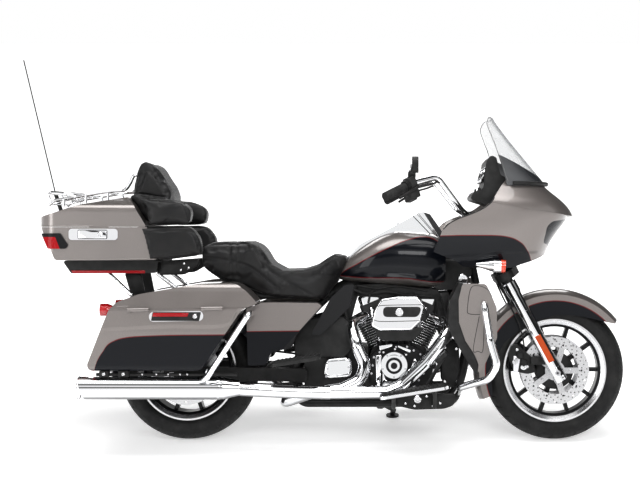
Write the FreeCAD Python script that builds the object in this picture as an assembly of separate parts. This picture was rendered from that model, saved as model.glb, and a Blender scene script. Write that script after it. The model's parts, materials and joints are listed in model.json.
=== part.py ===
import FreeCAD, Part
import math
import os

# Touring cruiser motorcycle with a frame-mounted fairing, hard panniers and a top case.
# Bike frame: X forward, Y to the rider's left, Z up, millimetres, with zero on the ground
# below the rear axle while the machine is upright. The finished pieces are then leaned onto
# the side stand, and the row frame's zero is the bottom centre of the whole machine.

V = FreeCAD.Vector
X_AXIS = V(1, 0, 0)
Y_AXIS = V(0, 1, 0)
Z_AXIS = V(0, 0, 1)

# Driving dimensions of the whole machine
WHEELBASE = 1625.0
LEAN_DEG = 10.0
STEERING_RAKE_DEG = 26.0
FORK_RAKE_DEG = 28.5
TRAIL = 170.0
RUNNING_CLEARANCE = 0.1
SEAT_GAP = 0.3
MOVING_GAP = 5.0
OVERRUN = 20.0
STRAIGHT_SHARE = 0.001
CRUMB_SHARE = 0.02

# Front wheel
FRONT_TYRE_RADIUS = 310.0
FRONT_TYRE_WIDTH = 130.0
FRONT_CROWN_RADIUS = 70.0
FRONT_RIM_RADIUS = 228.0
FRONT_RIM_WIDTH = 98.0
FRONT_HUB_RADIUS = 44.0
FRONT_HUB_WIDTH = 104.0
FRONT_AXLE_RADIUS = 12.5
FRONT_AXLE_BORE_RADIUS = 6.0
FRONT_AXLE_BORE_DEPTH = 40.0
FRONT_DISC_RADIUS = 150.0

# Rear wheel
REAR_TYRE_RADIUS = 309.0
REAR_TYRE_WIDTH = 178.0
REAR_CROWN_RADIUS = 105.0
REAR_RIM_RADIUS = 218.0
REAR_RIM_WIDTH = 140.0
REAR_HUB_RADIUS = 42.0
REAR_HUB_WIDTH = 188.0
REAR_AXLE_RADIUS = 12.5
REAR_DISC_RADIUS = 146.0
REAR_PULLEY_RADIUS = 112.0
REAR_PULLEY_WIDTH = 24.0

# Common wheel details
SPOKE_COUNT = 10
SPOKE_THICKNESS = 11.0
DISC_THICKNESS = 5.0
DISC_BAND = 46.0
DISC_ARM_COUNT = 5
DISC_ARM_WIDTH = 26.0
DISC_HOLE_RADIUS = 4.5
DISC_HOLE_COUNT = 20

# Fork
FORK_SPACING = 120.0
FORK_TUBE_RADIUS = 24.5
FORK_SLIDER_RADIUS = 29.0
FORK_SLIDER_LENGTH = 396.0
FORK_COVER_RADIUS = 33.0
FORK_COVER_LENGTH = 60.0
FORK_LENGTH = 712.0
FORK_TOE = 40.0
YOKE_THICKNESS = 34.0
YOKE_LOWER_HEIGHT = 505.0
YOKE_UPPER_HEIGHT = 700.0
YOKE_DEPTH = 74.0
STEM_RADIUS = 16.0
NECK_RADIUS = 34.0

# Handlebar
BAR_RADIUS = 12.7
BAR_BEND_RADIUS = 45.0
GRIP_RADIUS = 17.5
RISER_RADIUS = 17.0
BAR_CLAMP_Z = 990.0
BAR_CLAMP_X = 1243.0
BAR_CLAMP_HALF = 105.0
BAR_SHOULDER = (1204.0, 182.0, 1018.0)
BAR_CREST = (1098.0, 235.0, 1158.0)
BAR_GRIP_START = (986.0, 325.0, 1128.0)
BAR_GRIP_END = (884.0, 420.0, 1074.0)

# Side stand
STAND_PIVOT = (850.0, 140.0, 138.0)
STAND_FOOT = (905.0, 305.0)
STAND_AXIS_TILT_DEG = 30.0
STAND_LEG_RADIUS = 11.0
STAND_PIVOT_RADIUS = 17.0
STAND_PIVOT_LENGTH = 34.0
STAND_FOOT_RADIUS = 30.0
STAND_FOOT_THICKNESS = 8.0
STAND_PIN_RADIUS = 7.0

# Engine
CRANK_X = 932.0
CRANK_Z = 330.0
CYLINDER_ANGLE_DEG = 22.5
BARREL_RADIUS = 52.0
FIN_RADIUS = 70.0
FIN_COUNT = 11
FIN_THICKNESS = 4.0
BARREL_START = 118.0
BARREL_LENGTH = 132.0
HEAD_LENGTH = 58.0
HEAD_SIZE = 118.0
ROCKER_LENGTH = 42.0
ROCKER_WIDTH = 108.0
ROCKER_DEPTH = 128.0
CASE_HALF_WIDTH = 82.0
CAM_COVER_RADIUS = 58.0
CAM_COVER_DEPTH = 48.0

# Hinge pins of the lids and the fuel door
HINGE_PIN_RADIUS = 4.0
HINGE_KNUCKLE_RADIUS = 8.0
HINGE_KNUCKLE_LENGTH = 60.0
HINGE_EAR_LENGTH = 14.0

# Panniers
BAG_INNER_Y = 160.0
BAG_OUTER_Y = 338.0
BAG_WALL = 4.0
BAG_ORIGIN = (-380.0, 338.0)
BAG_LENGTH = 722.0
BAG_HEIGHT = 373.0
BAG_SPLIT_REAR = 594.0
BAG_SPLIT_FRONT = 608.0
BAG_EDGE_RADIUS = 26.0
# x, z and corner radius as shares of the length, height and height
BAG_OUTLINE_SHARES = [
    (0.000, 0.060, 0.08),
    (0.020, 0.000, 0.06),
    (0.660, 0.000, 0.10),
    (0.905, 0.700, 0.10),
    (1.000, 0.765, 0.03),
    (0.930, 0.905, 0.20),
    (0.860, 1.000, 0.30),
    (0.640, 0.985, 0.40),
    (0.300, 0.870, 0.30),
    (0.175, 0.780, 0.12),
    (0.130, 0.690, 0.06),
]

# Top case
CASE_REAR_X = -622.0
CASE_FRONT_X = -120.0
CASE_SPLIT_Z = 945.0
CASE_BOTTOM_Z = 803.0
CASE_TOP_Z = 1076.0
CASE_HALF_Y = 256.0
CASE_WALL = 4.0
CASE_BASE_BOTTOM_Z = 744.0
CASE_BASE_HALF_Y = 170.0

# Yokes, covers and controls of the steered part
LOWER_YOKE_Z = 745.0
UPPER_YOKE_Z = 925.0
NECK_LOW_Z = 772.0
NECK_HIGH_Z = 900.0
FORK_COVER_END = 446.0
RISER_SPACING = 42.0
RISER_LEAN = 62.0
GRIP_SHARE = 0.80
CONTROL_HALF = 26.0
CONTROL_RADIUS = 25.0
LEVER_REACH = 52.0
LEVER_RADIUS = 5.5
MIRROR_STEM = (26.0, 20.0, 84.0)
MIRROR_STEM_RADIUS = 5.0
MIRROR_SIZE = (26.0, 116.0, 76.0)
FENDER_WALL = 4.0
FENDER_CROWN = 22.0
FRONT_FENDER_RADIUS = 360.0
FRONT_FENDER_HALF = 84.0
FRONT_SKIRT_RADIUS = 215.0
# degrees around the axle and radius as a share of the fender's own
FRONT_SKIRT_SHARES = [
    (39.0, 0.925), (52.0, 0.800), (68.0, 0.735), (90.0, 0.690), (112.0, 0.665), (132.0, 0.675),
    (150.0, 0.720), (170.0, 0.760), (188.0, 0.790), (201.0, 0.830),
]
REAR_FENDER_RADIUS = 344.0
REAR_FENDER_HALF = 106.0
REAR_SKIRT_RADIUS = 250.0
REAR_SKIRT_SHARES = [
    (28.0, 0.90), (45.0, 0.84), (70.0, 0.82), (90.0, 0.80), (120.0, 0.80), (150.0, 0.80), (175.0, 0.82),
    (190.0, 0.88),
]
CALIPER_DEPTH = 44.0
CALIPER_SLOT = 15.8
CALIPER_INNER_REACH = 182.0
CALIPER_LUG_AT = (-110.0, 64.0, 30.0)
CALIPER_LUG_SIZE = (86.0, 34.0, 35.0)
FRONT_LOCK_DEG = 28.0

# Frame and rear suspension
BACKBONE_RADIUS = 34.0
CRADLE_RADIUS = 16.0
RAIL_RADIUS = 12.0
REAR_RAIL_Y = 124.0
REAR_RAIL_Z = 640.0
CROSSBAR_X = (600.0, 860.0, 1060.0)
REAR_CROSSBARS = ((470.0, 644.0), (-280.0, 603.0))
SWING_PIVOT = (505.0, 300.0)
ARM_END = 46.0
ARM_HEIGHT = 58.0
ARM_WIDTH = 22.0
ARM_INNER_Y = 124.0
ARM_CROSS_X = 362.0
SHOCK_LOW = (48.0, 139.0, 344.0)
SHOCK_HIGH = (120.0, 139.0, 622.0)
SHOCK_RADIUS = 16.0
BELT_WIDTH = 21.0
BELT_THICKNESS = 7.0
FRONT_PULLEY = (590.0, 300.0)
FRONT_PULLEY_RADIUS = 48.0
STAND_PLATE = 5.0
STRUT_RADIUS = 9.0
BAG_POST_X = (-190.0, 190.0)
BAG_POST_DROP = 80.0

# Engine trim
JUG_GAP = 1.0
CHEST_DEPTH = 34.0
CAM_COVER_AT = (913.0, 345.0)
ROD_SPACING = 30.0
ROD_RADIUS = 10.0
TAPPET_LENGTH = 42.0
PRIMARY_DEPTH = 66.0
DERBY_AT = (700.0, 315.0)
DERBY_RADIUS = 84.0
DERBY_DEPTH = 12.0
GEARBOX_HALF = 104.0
GEARBOX_COVER_ORIGIN = (600.0, 282.0)
GEARBOX_COVER_SIZE = (132.0, 100.0)
GEARBOX_COVER_DEPTH = 44.0
AIR_CLEANER_INNER = 150.0
AIR_CLEANER_OUTER = 236.0
AIR_CLEANER_EDGE = 9.0
INTAKE_RADIUS = 34.0

# Exhaust
PIPE_RADIUS = 27.0
PIPE_WALL = 3.0
PIPE_BEND = 70.0
MUFFLER_FRONT = (190.0, 280.0, 262.0)
MUFFLER_REAR = (-430.0, 290.0, 264.0)
MUFFLER_RADIUS = 48.0
MUFFLER_CONE = 70.0
MUFFLER_OUTLET_DEPTH = 160.0
MUFFLER_SLASH = 42.0

# Tank, console and seat
TANK_REAR_X = 668.0
TANK_LENGTH = 470.0
TANK_BOTTOM_Z = 676.0
TANK_HEIGHT = 258.0
TANK_HALF_WIDTH = 168.0
TANK_CORNER_POWER = 0.80
TANK_SECTION_POINTS = 16
TUNNEL_GAP = 6.0
TUNNEL_TOP = 150.0
# share of the length, low and high edge as shares of the height, half width share
TANK_SECTION_SHARES = [
    (0.000, 0.130, 0.300, 0.300), (0.120, 0.100, 0.560, 0.620), (0.300, 0.070, 0.800, 0.880),
    (0.520, 0.030, 0.970, 1.000), (0.750, 0.000, 0.960, 0.980), (0.920, 0.010, 0.900, 0.900),
    (1.000, 0.100, 0.780, 0.800),
]
CONSOLE_HALF = 62.0
DOOR_HINGE = (930.0, 963.0)
DOOR_SLOPE_DEG = 27.5
DOOR_LENGTH = 92.0
DOOR_HALF = 40.0
DOOR_THICKNESS = 4.0
DOOR_GAP = 1.2
DOOR_DEPTH = 10.0
DOOR_PIN_RADIUS = 2.0
DOOR_KNUCKLE_RADIUS = 4.0
DOOR_KNUCKLE_HALF = 12.0
DOOR_EAR = 8.0
SEAT_HALF = 172.0
SEAT_PLAN_SHARES = [
    (-0.050, -0.80, 0.20), (0.300, -0.82, 0.60), (0.500, -1.00, 0.60), (0.800, -0.98, 0.80),
    (0.920, -0.60, 0.40), (1.050, -0.36, 0.10),
]
SIDE_COVER_INNER_Y = 128.0
SIDE_COVER_OUTER_Y = 194.0
DEFLECTOR_INNER_Y = 118.0
DEFLECTOR_OUTER_Y = 176.0

# Seams and hinges
HINGE_GAP = 0.6
HINGE_REACH = 26.0
LID_GAP = 1.0
BAG_SIZE = (BAG_LENGTH, BAG_HEIGHT)
BAG_TUMBLE = 10.0
BAG_HINGE_X = (-160.0, 150.0)
CASE_HINGE_X = (-470.0, -240.0)
CASE_PLAN_SHARES = [
    (0.000, -0.58, 0.32), (0.060, -1.00, 0.30), (1.060, -1.00, 0.12),
]
# y and z shares of the half width and lid height, radius share of the half width
CASE_CROWN_SHARES = [
    (-1.00, -0.90, 0.00), (-1.00, 0.68, 0.14), (-0.60, 1.03, 0.30),
]
LAMP_PROUD = 7.0
CASE_LAMP_INNER_Y = 120.0
LATCH_ORIGIN = (-473.0, 890.0)
LATCH_SIZE = (209.0, 48.0)
LATCH_PROUD = 5.0
WING_INNER_Y = 190.0
WING_PROUD = 12.0
BACKREST_HALF = 130.0
RACK_RADIUS = 6.0
RACK_POST = 34.0
RACK_BAR_SHARES = (0.20, 0.50, 0.80)
ANTENNA_FOOT = (-600.0, 100.0, 1010.0)
ANTENNA_KNEE = (-629.0, 100.0, 1100.0)
ANTENNA_TIP = (-773.0, 100.0, 1704.0)
ANTENNA_BASE_RADIUS = 9.0
ANTENNA_RADIUS = 2.6
REFLECTOR_ORIGIN = (-114.0, 548.0)
REFLECTOR_SIZE = (227.0, 46.0)
BAG_GUARD_RADIUS = 12.7

# Fairing and windshield
FAIRING_REAR_X = 1080.0
FAIRING_LENGTH = 631.0
FAIRING_LOW_Z = 760.0
FAIRING_HEIGHT = 390.0
FAIRING_HALF = 300.0
FAIRING_WALL = 4.0
# height share, nose share, half width share and slope of the section
FAIRING_LOWER_SHARES = [
    (0.000, 0.770, 0.780, 0.000), (0.130, 0.795, 0.880, 0.020), (0.300, 0.840, 0.960, 0.060),
    (0.450, 0.905, 0.990, 0.100), (0.590, 0.955, 1.000, 0.150),
]
FAIRING_UPPER_SHARES = [
    (0.590, 1.000, 1.000, 0.150), (0.680, 0.968, 0.970, 0.110), (0.800, 0.890, 0.900, 0.060),
    (1.000, 0.765, 0.770, 0.000),
]
FAIRING_PLAN_SHARES = [
    (0.000, 1.000), (0.300, 1.000), (0.520, 0.960), (0.700, 0.860), (0.850, 0.700), (0.950, 0.430),
]
SHIELD_X = 1290.0
SHIELD_DEPTH = 310.0
SHIELD_LOW_Z = 1124.0
SHIELD_HEIGHT = 302.0
SHIELD_HALF = 235.0
SHIELD_WALL = 5.0
# height share, centre and edge as shares of the depth, half width share
SHIELD_SHARES = [
    (0.000, 0.980, 0.350, 0.960), (0.300, 0.740, 0.270, 1.000), (0.620, 0.480, 0.160, 0.970),
    (1.000, 0.200, 0.020, 0.880),
]
LAMP_HALF_Y = 214.0
LAMP_LOW_Z = 848.0
LAMP_HEIGHT = 140.0
# y share of the half width, height share and radius share of the height
HEADLAMP_SHARES = [
    (0.130, 0.060, 0.10), (0.740, 0.200, 0.30), (1.000, 0.860, 0.16), (0.130, 0.980, 0.10),
]
LENS_SUNK = 1.5
LENS_WALL = 3.0
DASH_HALF = 150.0
INNER_PANEL_X = 1352.0
FRONT_LAMP_NOSE = (1386.0, 268.0, 778.0)
FRONT_LAMP_TAIL = (1262.0, 268.0, 786.0)
FRONT_LAMP_STALK = (1330.0, 205.0, 782.0)
REAR_LAMP_NOSE = (-362.0, 150.0, 585.0)
REAR_LAMP_TAIL = (-285.0, 150.0, 585.0)
TURN_LAMP_RADIUS = 27.0
LOWER_INNER_Y = 272.0
LOWER_OUTER_Y = 334.0
SHROUD_INNER_Y = 160.0

# Guard and boards, pedals and the plate carrier
GUARD_RADIUS = 15.9
GUARD_BEND = 50.0
RIDER_BOARD_AT = (999.0, 306.0, 244.0)
RIDER_BOARD_LENGTH = 292.0
RIDER_BOARD_TILT_DEG = 9.2
PILLION_BOARD_AT = (500.0, 290.0, 372.0)
PILLION_BOARD_LENGTH = 206.0
PILLION_BOARD_TILT_DEG = 9.0
BOARD_WIDTH = 112.0
BOARD_THICKNESS = 16.0
STAY_RADIUS = 9.0
PEG_HALF = 22.0
PEG_RADIUS = 10.0
PEDAL_LENGTH = 62.0
PEDAL_WIDTH = 66.0
PEDAL_TILT_DEG = 42.0
PLATE_AT = (-366.0, 372.0)
PLATE_WIDTH = 178.0
PLATE_HEIGHT = 100.0
PLATE_THICKNESS = 4.0
PLATE_CORNER = 10.0
PLATE_STEM = 30.0
PLATE_HOLE_SPACING = 146.0
PLATE_HOLE_RADIUS = 3.5

# Outlines as shares of their own length and height, with the corner radius as a share of the height
CASE_SIDE_ORIGIN = (-603.0, 803.0)
CASE_SIDE_SIZE = (511.0, 143.0)
CASE_SIDE_SHARES = [
    (0.100, 0.315, 0.210), (0.137, 0.000, 0.126), (1.000, 0.014, 0.098), (0.902, 1.000, 0.042),
    (0.000, 1.000, 0.028),
]
CASE_LID_SIDE_ORIGIN = (-626.0, 945.0)
CASE_LID_SIDE_SIZE = (484.0, 131.0)
CASE_LID_SIDE_SHARES = [
    (0.000, 0.000, 0.076), (0.029, 0.305, 0.183), (0.178, 0.466, 0.458), (0.384, 0.725, 0.611),
    (0.674, 0.924, 0.458), (0.806, 1.000, 0.183), (0.880, 0.725, 0.153), (1.000, 0.000, 0.046),
]
CASE_BASE_SIDE_ORIGIN = (-525.0, 744.0)
CASE_BASE_SIDE_SIZE = (417.0, 56.0)
CASE_BASE_SIDE_SHARES = [
    (0.000, 1.000, 0.143), (0.094, 0.000, 0.250), (0.981, 0.036, 0.250), (1.000, 1.000, 0.107),
]
WING_SIDE_ORIGIN = (-208.0, 958.0)
WING_SIDE_SIZE = (258.0, 120.0)
WING_SIDE_SHARES = [
    (0.306, 0.000, 0.083), (0.256, 0.733, 0.167), (0.000, 1.000, 0.117), (0.225, 0.867, 0.250),
    (0.767, 0.792, 0.217), (0.946, 0.650, 0.200), (1.000, 0.425, 0.117), (0.973, 0.033, 0.117),
]
BACKREST_SIDE_ORIGIN = (-232.0, 1062.0)
BACKREST_SIDE_SIZE = (174.0, 175.0)
BACKREST_SIDE_SHARES = [
    (0.000, 0.114, 0.046), (0.207, 0.937, 0.114), (0.356, 1.000, 0.091), (0.529, 0.880, 0.149),
    (0.718, 0.589, 0.229), (0.908, 0.297, 0.171), (1.000, 0.000, 0.057),
]
SPEAKER_SIDE_ORIGIN = (-165.0, 806.0)
SPEAKER_SIDE_SIZE = (262.0, 142.0)
SPEAKER_SIDE_SHARES = [
    (0.000, 0.972, 0.042), (0.805, 1.000, 0.183), (0.943, 0.683, 0.113), (1.000, 0.169, 0.099),
    (0.302, 0.000, 0.056), (0.134, 0.000, 0.042),
]
SEAT_SIDE_ORIGIN = (70.0, 634.0)
SEAT_SIDE_SIZE = (636.0, 240.0)
SEAT_SIDE_SHARES = [
    (0.000, 0.975, 0.083), (0.102, 0.992, 0.125), (0.371, 1.000, 0.167), (0.425, 0.829, 0.167),
    (0.478, 0.604, 0.250), (0.566, 0.475, 0.250), (0.704, 0.492, 0.333), (0.802, 0.575, 0.250),
    (0.876, 0.717, 0.208), (0.931, 0.804, 0.125), (1.000, 0.800, 0.058), (0.991, 0.692, 0.125),
    (0.962, 0.512, 0.250), (0.920, 0.237, 0.250), (0.862, 0.000, 0.042), (0.607, 0.025, 0.083),
    (0.429, 0.067, 0.083), (0.126, 0.367, 0.125), (0.000, 0.608, 0.125),
]
SIDE_COVER_ORIGIN = (275.0, 347.0)
SIDE_COVER_SIZE = (330.0, 273.0)
SIDE_COVER_SHARES = [
    (0.000, 0.993, 0.022), (0.361, 1.000, 0.029), (0.939, 0.989, 0.037), (1.000, 0.930, 0.037),
    (0.661, 0.495, 0.073), (0.591, 0.286, 0.073), (0.321, 0.205, 0.110), (0.261, 0.011, 0.073),
    (0.021, 0.000, 0.029),
]
DEFLECTOR_ORIGIN = (552.0, 479.0)
DEFLECTOR_SIZE = (190.0, 219.0)
DEFLECTOR_SHARES = [
    (1.000, 1.000, 0.037), (0.895, 0.548, 0.091), (0.232, 0.000, 0.046), (0.000, 0.000, 0.037),
    (0.463, 0.735, 0.091), (0.779, 0.982, 0.046),
]
GEARBOX_ORIGIN = (520.0, 190.0)
GEARBOX_SIZE = (280.0, 250.0)
GEARBOX_SHARES = [
    (0.000, 0.840, 0.120), (0.286, 1.000, 0.120), (0.643, 0.968, 0.120), (1.000, 0.920, 0.040),
    (1.000, 0.040, 0.040), (0.357, 0.000, 0.120), (0.000, 0.160, 0.120),
]
CRANKCASE_ORIGIN = (790.0, 186.0)
CRANKCASE_SIZE = (296.0, 266.0)
CRANKCASE_SHARES = [
    (0.034, 0.090, 0.075), (0.000, 0.541, 0.075), (0.101, 0.880, 0.113), (0.473, 1.000, 0.113),
    (0.872, 0.880, 0.113), (1.000, 0.541, 0.113), (0.946, 0.128, 0.113), (0.709, 0.000, 0.113),
    (0.236, 0.000, 0.113),
]
PRIMARY_ORIGIN = (560.0, 205.0)
PRIMARY_SIZE = (550.0, 220.0)
PRIMARY_SHARES = [
    (0.000, 0.295, 0.318), (0.027, 0.886, 0.364), (0.364, 0.932, 0.273), (0.673, 1.000, 0.409),
    (0.964, 0.886, 0.500), (1.000, 0.386, 0.455), (0.909, 0.000, 0.364), (0.364, 0.045, 0.273),
    (0.073, 0.045, 0.273),
]
CAM_CHEST_ORIGIN = (800.0, 230.0)
CAM_CHEST_SIZE = (256.0, 202.0)
CAM_CHEST_SHARES = [
    (0.000, 0.347, 0.099), (0.047, 0.743, 0.149), (0.266, 0.990, 0.149), (0.684, 1.000, 0.149),
    (0.938, 0.817, 0.198), (1.000, 0.347, 0.149), (0.820, 0.025, 0.198), (0.234, 0.000, 0.149),
]
AIR_CLEANER_ORIGIN = (814.0, 500.0)
AIR_CLEANER_SIZE = (231.0, 148.0)
AIR_CLEANER_SHARES = [
    (0.000, 0.142, 0.095), (0.069, 0.622, 0.162), (0.186, 0.926, 0.176), (0.502, 1.000, 0.270),
    (0.870, 1.000, 0.135), (1.000, 0.723, 0.108), (0.918, 0.270, 0.162), (0.745, 0.014, 0.135),
    (0.169, 0.000, 0.162),
]
TANK_FRONT_ORIGIN = (1081.0, 676.0)
TANK_FRONT_SIZE = (53.0, 234.0)
TANK_FRONT_SHARES = [
    (0.887, 1.000, 0.051), (1.000, 0.714, 0.085), (0.000, 0.000, 0.051),
]
CONSOLE_ORIGIN = (690.0, 790.0)
CONSOLE_SIZE = (436.0, 223.0)
CONSOLE_SHARES = [
    (0.000, 0.000, 0.027), (0.037, 0.099, 0.072), (0.161, 0.350, 0.269), (0.571, 0.771, 0.269),
    (0.787, 1.000, 0.108), (0.876, 0.951, 0.063), (1.000, 0.605, 0.036), (0.963, 0.404, 0.018),
    (0.557, 0.493, 0.135), (0.252, 0.269, 0.135),
]
LOWER_OUTER_ORIGIN = (1184.0, 316.0)
LOWER_OUTER_SIZE = (162.0, 392.0)
LOWER_OUTER_SHARES = [
    (0.099, 1.000, 0.036), (0.716, 0.995, 0.041), (0.877, 0.852, 0.051), (0.988, 0.742, 0.041),
    (1.000, 0.418, 0.077), (0.716, 0.163, 0.077), (0.481, 0.000, 0.020), (0.519, 0.138, 0.051),
    (0.395, 0.253, 0.061), (0.179, 0.385, 0.077), (0.012, 0.584, 0.102), (0.000, 0.827, 0.051),
]
LOWER_INNER_ORIGIN = (1141.0, 320.0)
LOWER_INNER_SIZE = (125.0, 388.0)
LOWER_INNER_SHARES = [
    (0.360, 1.000, 0.021), (0.072, 0.825, 0.077), (0.000, 0.619, 0.052), (0.056, 0.479, 0.052),
    (0.360, 0.304, 0.052), (0.792, 0.077, 0.052), (0.968, 0.000, 0.010), (1.000, 0.134, 0.036),
    (0.840, 0.253, 0.052), (0.648, 0.379, 0.077), (0.568, 0.580, 0.103), (0.600, 0.825, 0.052),
    (0.648, 0.990, 0.015),
]
FAIRING_REAR_ORIGIN = (1080.0, 770.0)
FAIRING_REAR_SIZE = (660.0, 378.0)
FAIRING_REAR_SHARES = [
    (0.000, 0.185, 0.011), (0.141, 0.085, 0.079), (0.192, 0.019, 0.037), (0.267, 0.005, 0.079),
    (0.520, 0.000, 0.106), (0.564, 0.032, 0.026), (0.653, 0.077, 0.026), (0.727, 0.122, 0.053),
    (1.000, 0.344, 0.011), (1.000, 0.635, 0.011), (0.767, 0.992, 0.011), (0.474, 1.000, 0.037),
    (0.444, 0.937, 0.053), (0.406, 0.839, 0.053), (0.370, 0.746, 0.053), (0.309, 0.669, 0.053),
    (0.233, 0.611, 0.053), (0.159, 0.563, 0.053), (0.092, 0.497, 0.053), (0.059, 0.434, 0.037),
]
DASH_SIDE_ORIGIN = (1240.0, 960.0)
DASH_SIDE_SIZE = (230.0, 298.0)
DASH_SIDE_SHARES = [
    (0.400, 0.084, 0.034), (0.374, 0.268, 0.034), (0.000, 0.356, 0.047), (0.096, 0.470, 0.067),
    (0.261, 0.503, 0.067), (0.322, 0.913, 0.047), (0.417, 1.000, 0.047), (0.513, 0.966, 0.047),
    (0.591, 0.711, 0.067), (0.957, 0.577, 0.034), (1.000, 0.084, 0.034),
]
DASH_STAY_ORIGIN = (1385.0, 815.0)
DASH_STAY_SIZE = (105.0, 185.0)
DASH_STAY_SHARES = [
    (0.000, 0.000, 0.020), (1.000, 0.000, 0.060), (1.000, 1.000, 0.020), (0.670, 1.000, 0.020),
    (0.670, 0.190, 0.040), (0.000, 0.190, 0.020),
]
CALIPER_ORIGIN = (-208.0, -12.0)
CALIPER_SIZE = (120.0, 134.0)
CALIPER_SHARES = [
    (1.000, 0.043, 0.086), (0.905, 0.514, 0.214), (0.286, 1.000, 0.143), (0.110, 0.900, 0.100),
    (0.000, 0.586, 0.214), (0.190, 0.086, 0.214), (0.667, 0.000, 0.143),
]
CASE_LAMP_ORIGIN = (-640.0, 853.0)
CASE_LAMP_SIZE = (166.0, 66.0)
CASE_LAMP_SHARES = [
    (0.000, 0.970, 0.152), (0.783, 1.000, 0.152), (1.000, 0.197, 0.152), (0.916, 0.000, 0.091),
    (0.000, 0.000, 0.091),
]
LUMBAR_ORIGIN = (-240.0, 965.0)
LUMBAR_SIZE = (178.0, 119.0)
LUMBAR_SHARES = [
    (0.000, 0.983, 0.050), (0.180, 1.000, 0.084), (1.000, 0.815, 0.084), (1.000, 0.630, 0.050),
    (0.843, 0.000, 0.050), (0.551, 0.000, 0.050),
]

# Tube routes as shares of their own length, width and height
BACKBONE_PATH_ORIGIN = (640.0, 0.0, 650.0)
BACKBONE_PATH_SIZE = (732.0, 0.0, 162.0)
BACKBONE_PATH_SHARES = [
    (1.000, 0.000, 1.000), (0.355, 0.000, 0.753), (0.000, 0.000, 0.000),
]
CRADLE_PATH_ORIGIN = (466.0, 24.0, 172.0)
CRADLE_PATH_SIZE = (922.0, 88.0, 600.0)
CRADLE_PATH_SHARES = [
    (0.859, 0.000, 1.030), (0.893, 0.114, 0.780), (0.812, 0.773, 0.213), (0.770, 0.886, 0.000),
    (0.037, 0.955, 0.000), (0.000, 1.000, 0.163), (0.080, 1.000, 0.647), (0.189, 0.182, 0.805),
]
REAR_RAIL_PATH_ORIGIN = (-300.0, 60.0, 600.0)
REAR_RAIL_PATH_SIZE = (920.0, 64.0, 46.0)
REAR_RAIL_PATH_SHARES = [
    (1.000, 0.000, 0.870), (0.918, 1.000, 1.000), (0.457, 1.000, 0.870), (0.000, 1.000, 0.000),
]
GUARD_PATH_ORIGIN = (1186.0, 36.0, 216.0)
GUARD_PATH_SIZE = (158.0, 352.0, 424.0)
GUARD_PATH_SHARES = [
    (0.665, 0.000, 1.000), (0.696, 0.381, 1.000), (0.658, 0.898, 0.958), (0.797, 0.994, 0.611),
    (0.987, 1.000, 0.368), (0.772, 0.977, 0.226), (0.063, 0.608, 0.108), (0.000, 0.193, 0.000),
]
BAR_PATH_ORIGIN = (884.0, 0.0, 990.0)
BAR_PATH_SIZE = (359.0, 420.0, 168.0)
BAR_PATH_SHARES = [
    (1.000, 0.000, 0.000), (1.000, 0.250, 0.000), (0.891, 0.433, 0.167), (0.596, 0.560, 1.000),
    (0.284, 0.774, 0.821), (0.000, 1.000, 0.500),
]
FRONT_PIPE_PATH_ORIGIN = (632.0, -240.0, 237.0)
FRONT_PIPE_PATH_SIZE = (518.0, 200.0, 308.0)
FRONT_PIPE_PATH_SHARES = [
    (0.865, 1.000, 1.000), (1.000, 0.750, 0.912), (1.000, 0.340, 0.815), (0.809, 0.240, 0.409),
    (0.600, 0.175, 0.081), (0.479, 0.090, 0.003), (0.000, 0.000, 0.000),
]
REAR_PIPE_PATH_ORIGIN = (600.0, -240.0, 240.0)
REAR_PIPE_PATH_SIZE = (190.0, 190.0, 310.0)
REAR_PIPE_PATH_SHARES = [
    (0.974, 1.000, 1.000), (0.653, 0.684, 0.903), (0.779, 0.305, 0.645), (1.000, 0.242, 0.355),
    (0.884, 0.179, 0.145), (0.474, 0.074, 0.032), (0.000, 0.000, 0.000),
]
MAIN_PIPE_PATH_ORIGIN = (190.0, -280.0, 238.0)
MAIN_PIPE_PATH_SIZE = (450.0, 40.0, 24.0)
MAIN_PIPE_PATH_SHARES = [
    (1.000, 1.000, 0.000), (0.511, 0.450, 0.417), (0.000, 0.000, 1.000),
]
CROSS_PIPE_PATH_ORIGIN = (190.0, -244.0, 184.0)
CROSS_PIPE_PATH_SIZE = (370.0, 524.0, 78.0)
CROSS_PIPE_PATH_SHARES = [
    (1.000, 0.000, 0.667), (0.676, 0.179, 0.000), (0.649, 0.695, 0.000), (0.378, 0.943, 0.795),
    (0.000, 1.000, 1.000),
]
BAG_GUARD_PATH_ORIGIN = (96.0, 150.0, 296.0)
BAG_GUARD_PATH_SIZE = (210.0, 204.0, 284.0)
BAG_GUARD_PATH_SHARES = [
    (1.000, 0.000, 1.000), (1.000, 1.000, 1.000), (0.905, 1.000, 0.901), (0.133, 1.000, 0.035),
    (0.000, 0.784, 0.000), (0.000, 0.049, 0.077),
]
RACK_RAIL_PATH_ORIGIN = (-587.0, 150.0, 1040.0)
RACK_RAIL_PATH_SIZE = (319.0, 0.0, 64.0)
RACK_RAIL_PATH_SHARES = [
    (0.000, 0.000, 0.000), (0.085, 0.000, 0.344), (0.821, 0.000, 0.938), (1.000, 0.000, 1.000),
]
RACK_HOOP_PATH_ORIGIN = (-590.0, 0.0, 1074.0)
RACK_HOOP_PATH_SIZE = (120.0, 150.0, 22.0)
RACK_HOOP_PATH_SHARES = [
    (0.000, 0.000, 1.000), (0.000, 0.733, 1.000), (0.583, 1.000, 0.727), (1.000, 1.000, 0.000),
]
REAR_STRUT_PATH_ORIGIN = (-330.0, 124.0, 628.0)
REAR_STRUT_PATH_SIZE = (115.0, 18.0, 116.0)
REAR_STRUT_PATH_SHARES = [
    (1.000, 0.000, 0.000), (0.852, 1.000, 0.190), (0.000, 1.000, 1.000),
]
FRONT_STRUT_PATH_ORIGIN = (-119.0, 124.0, 640.0)
FRONT_STRUT_PATH_SIZE = (139.0, 18.0, 104.0)
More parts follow.
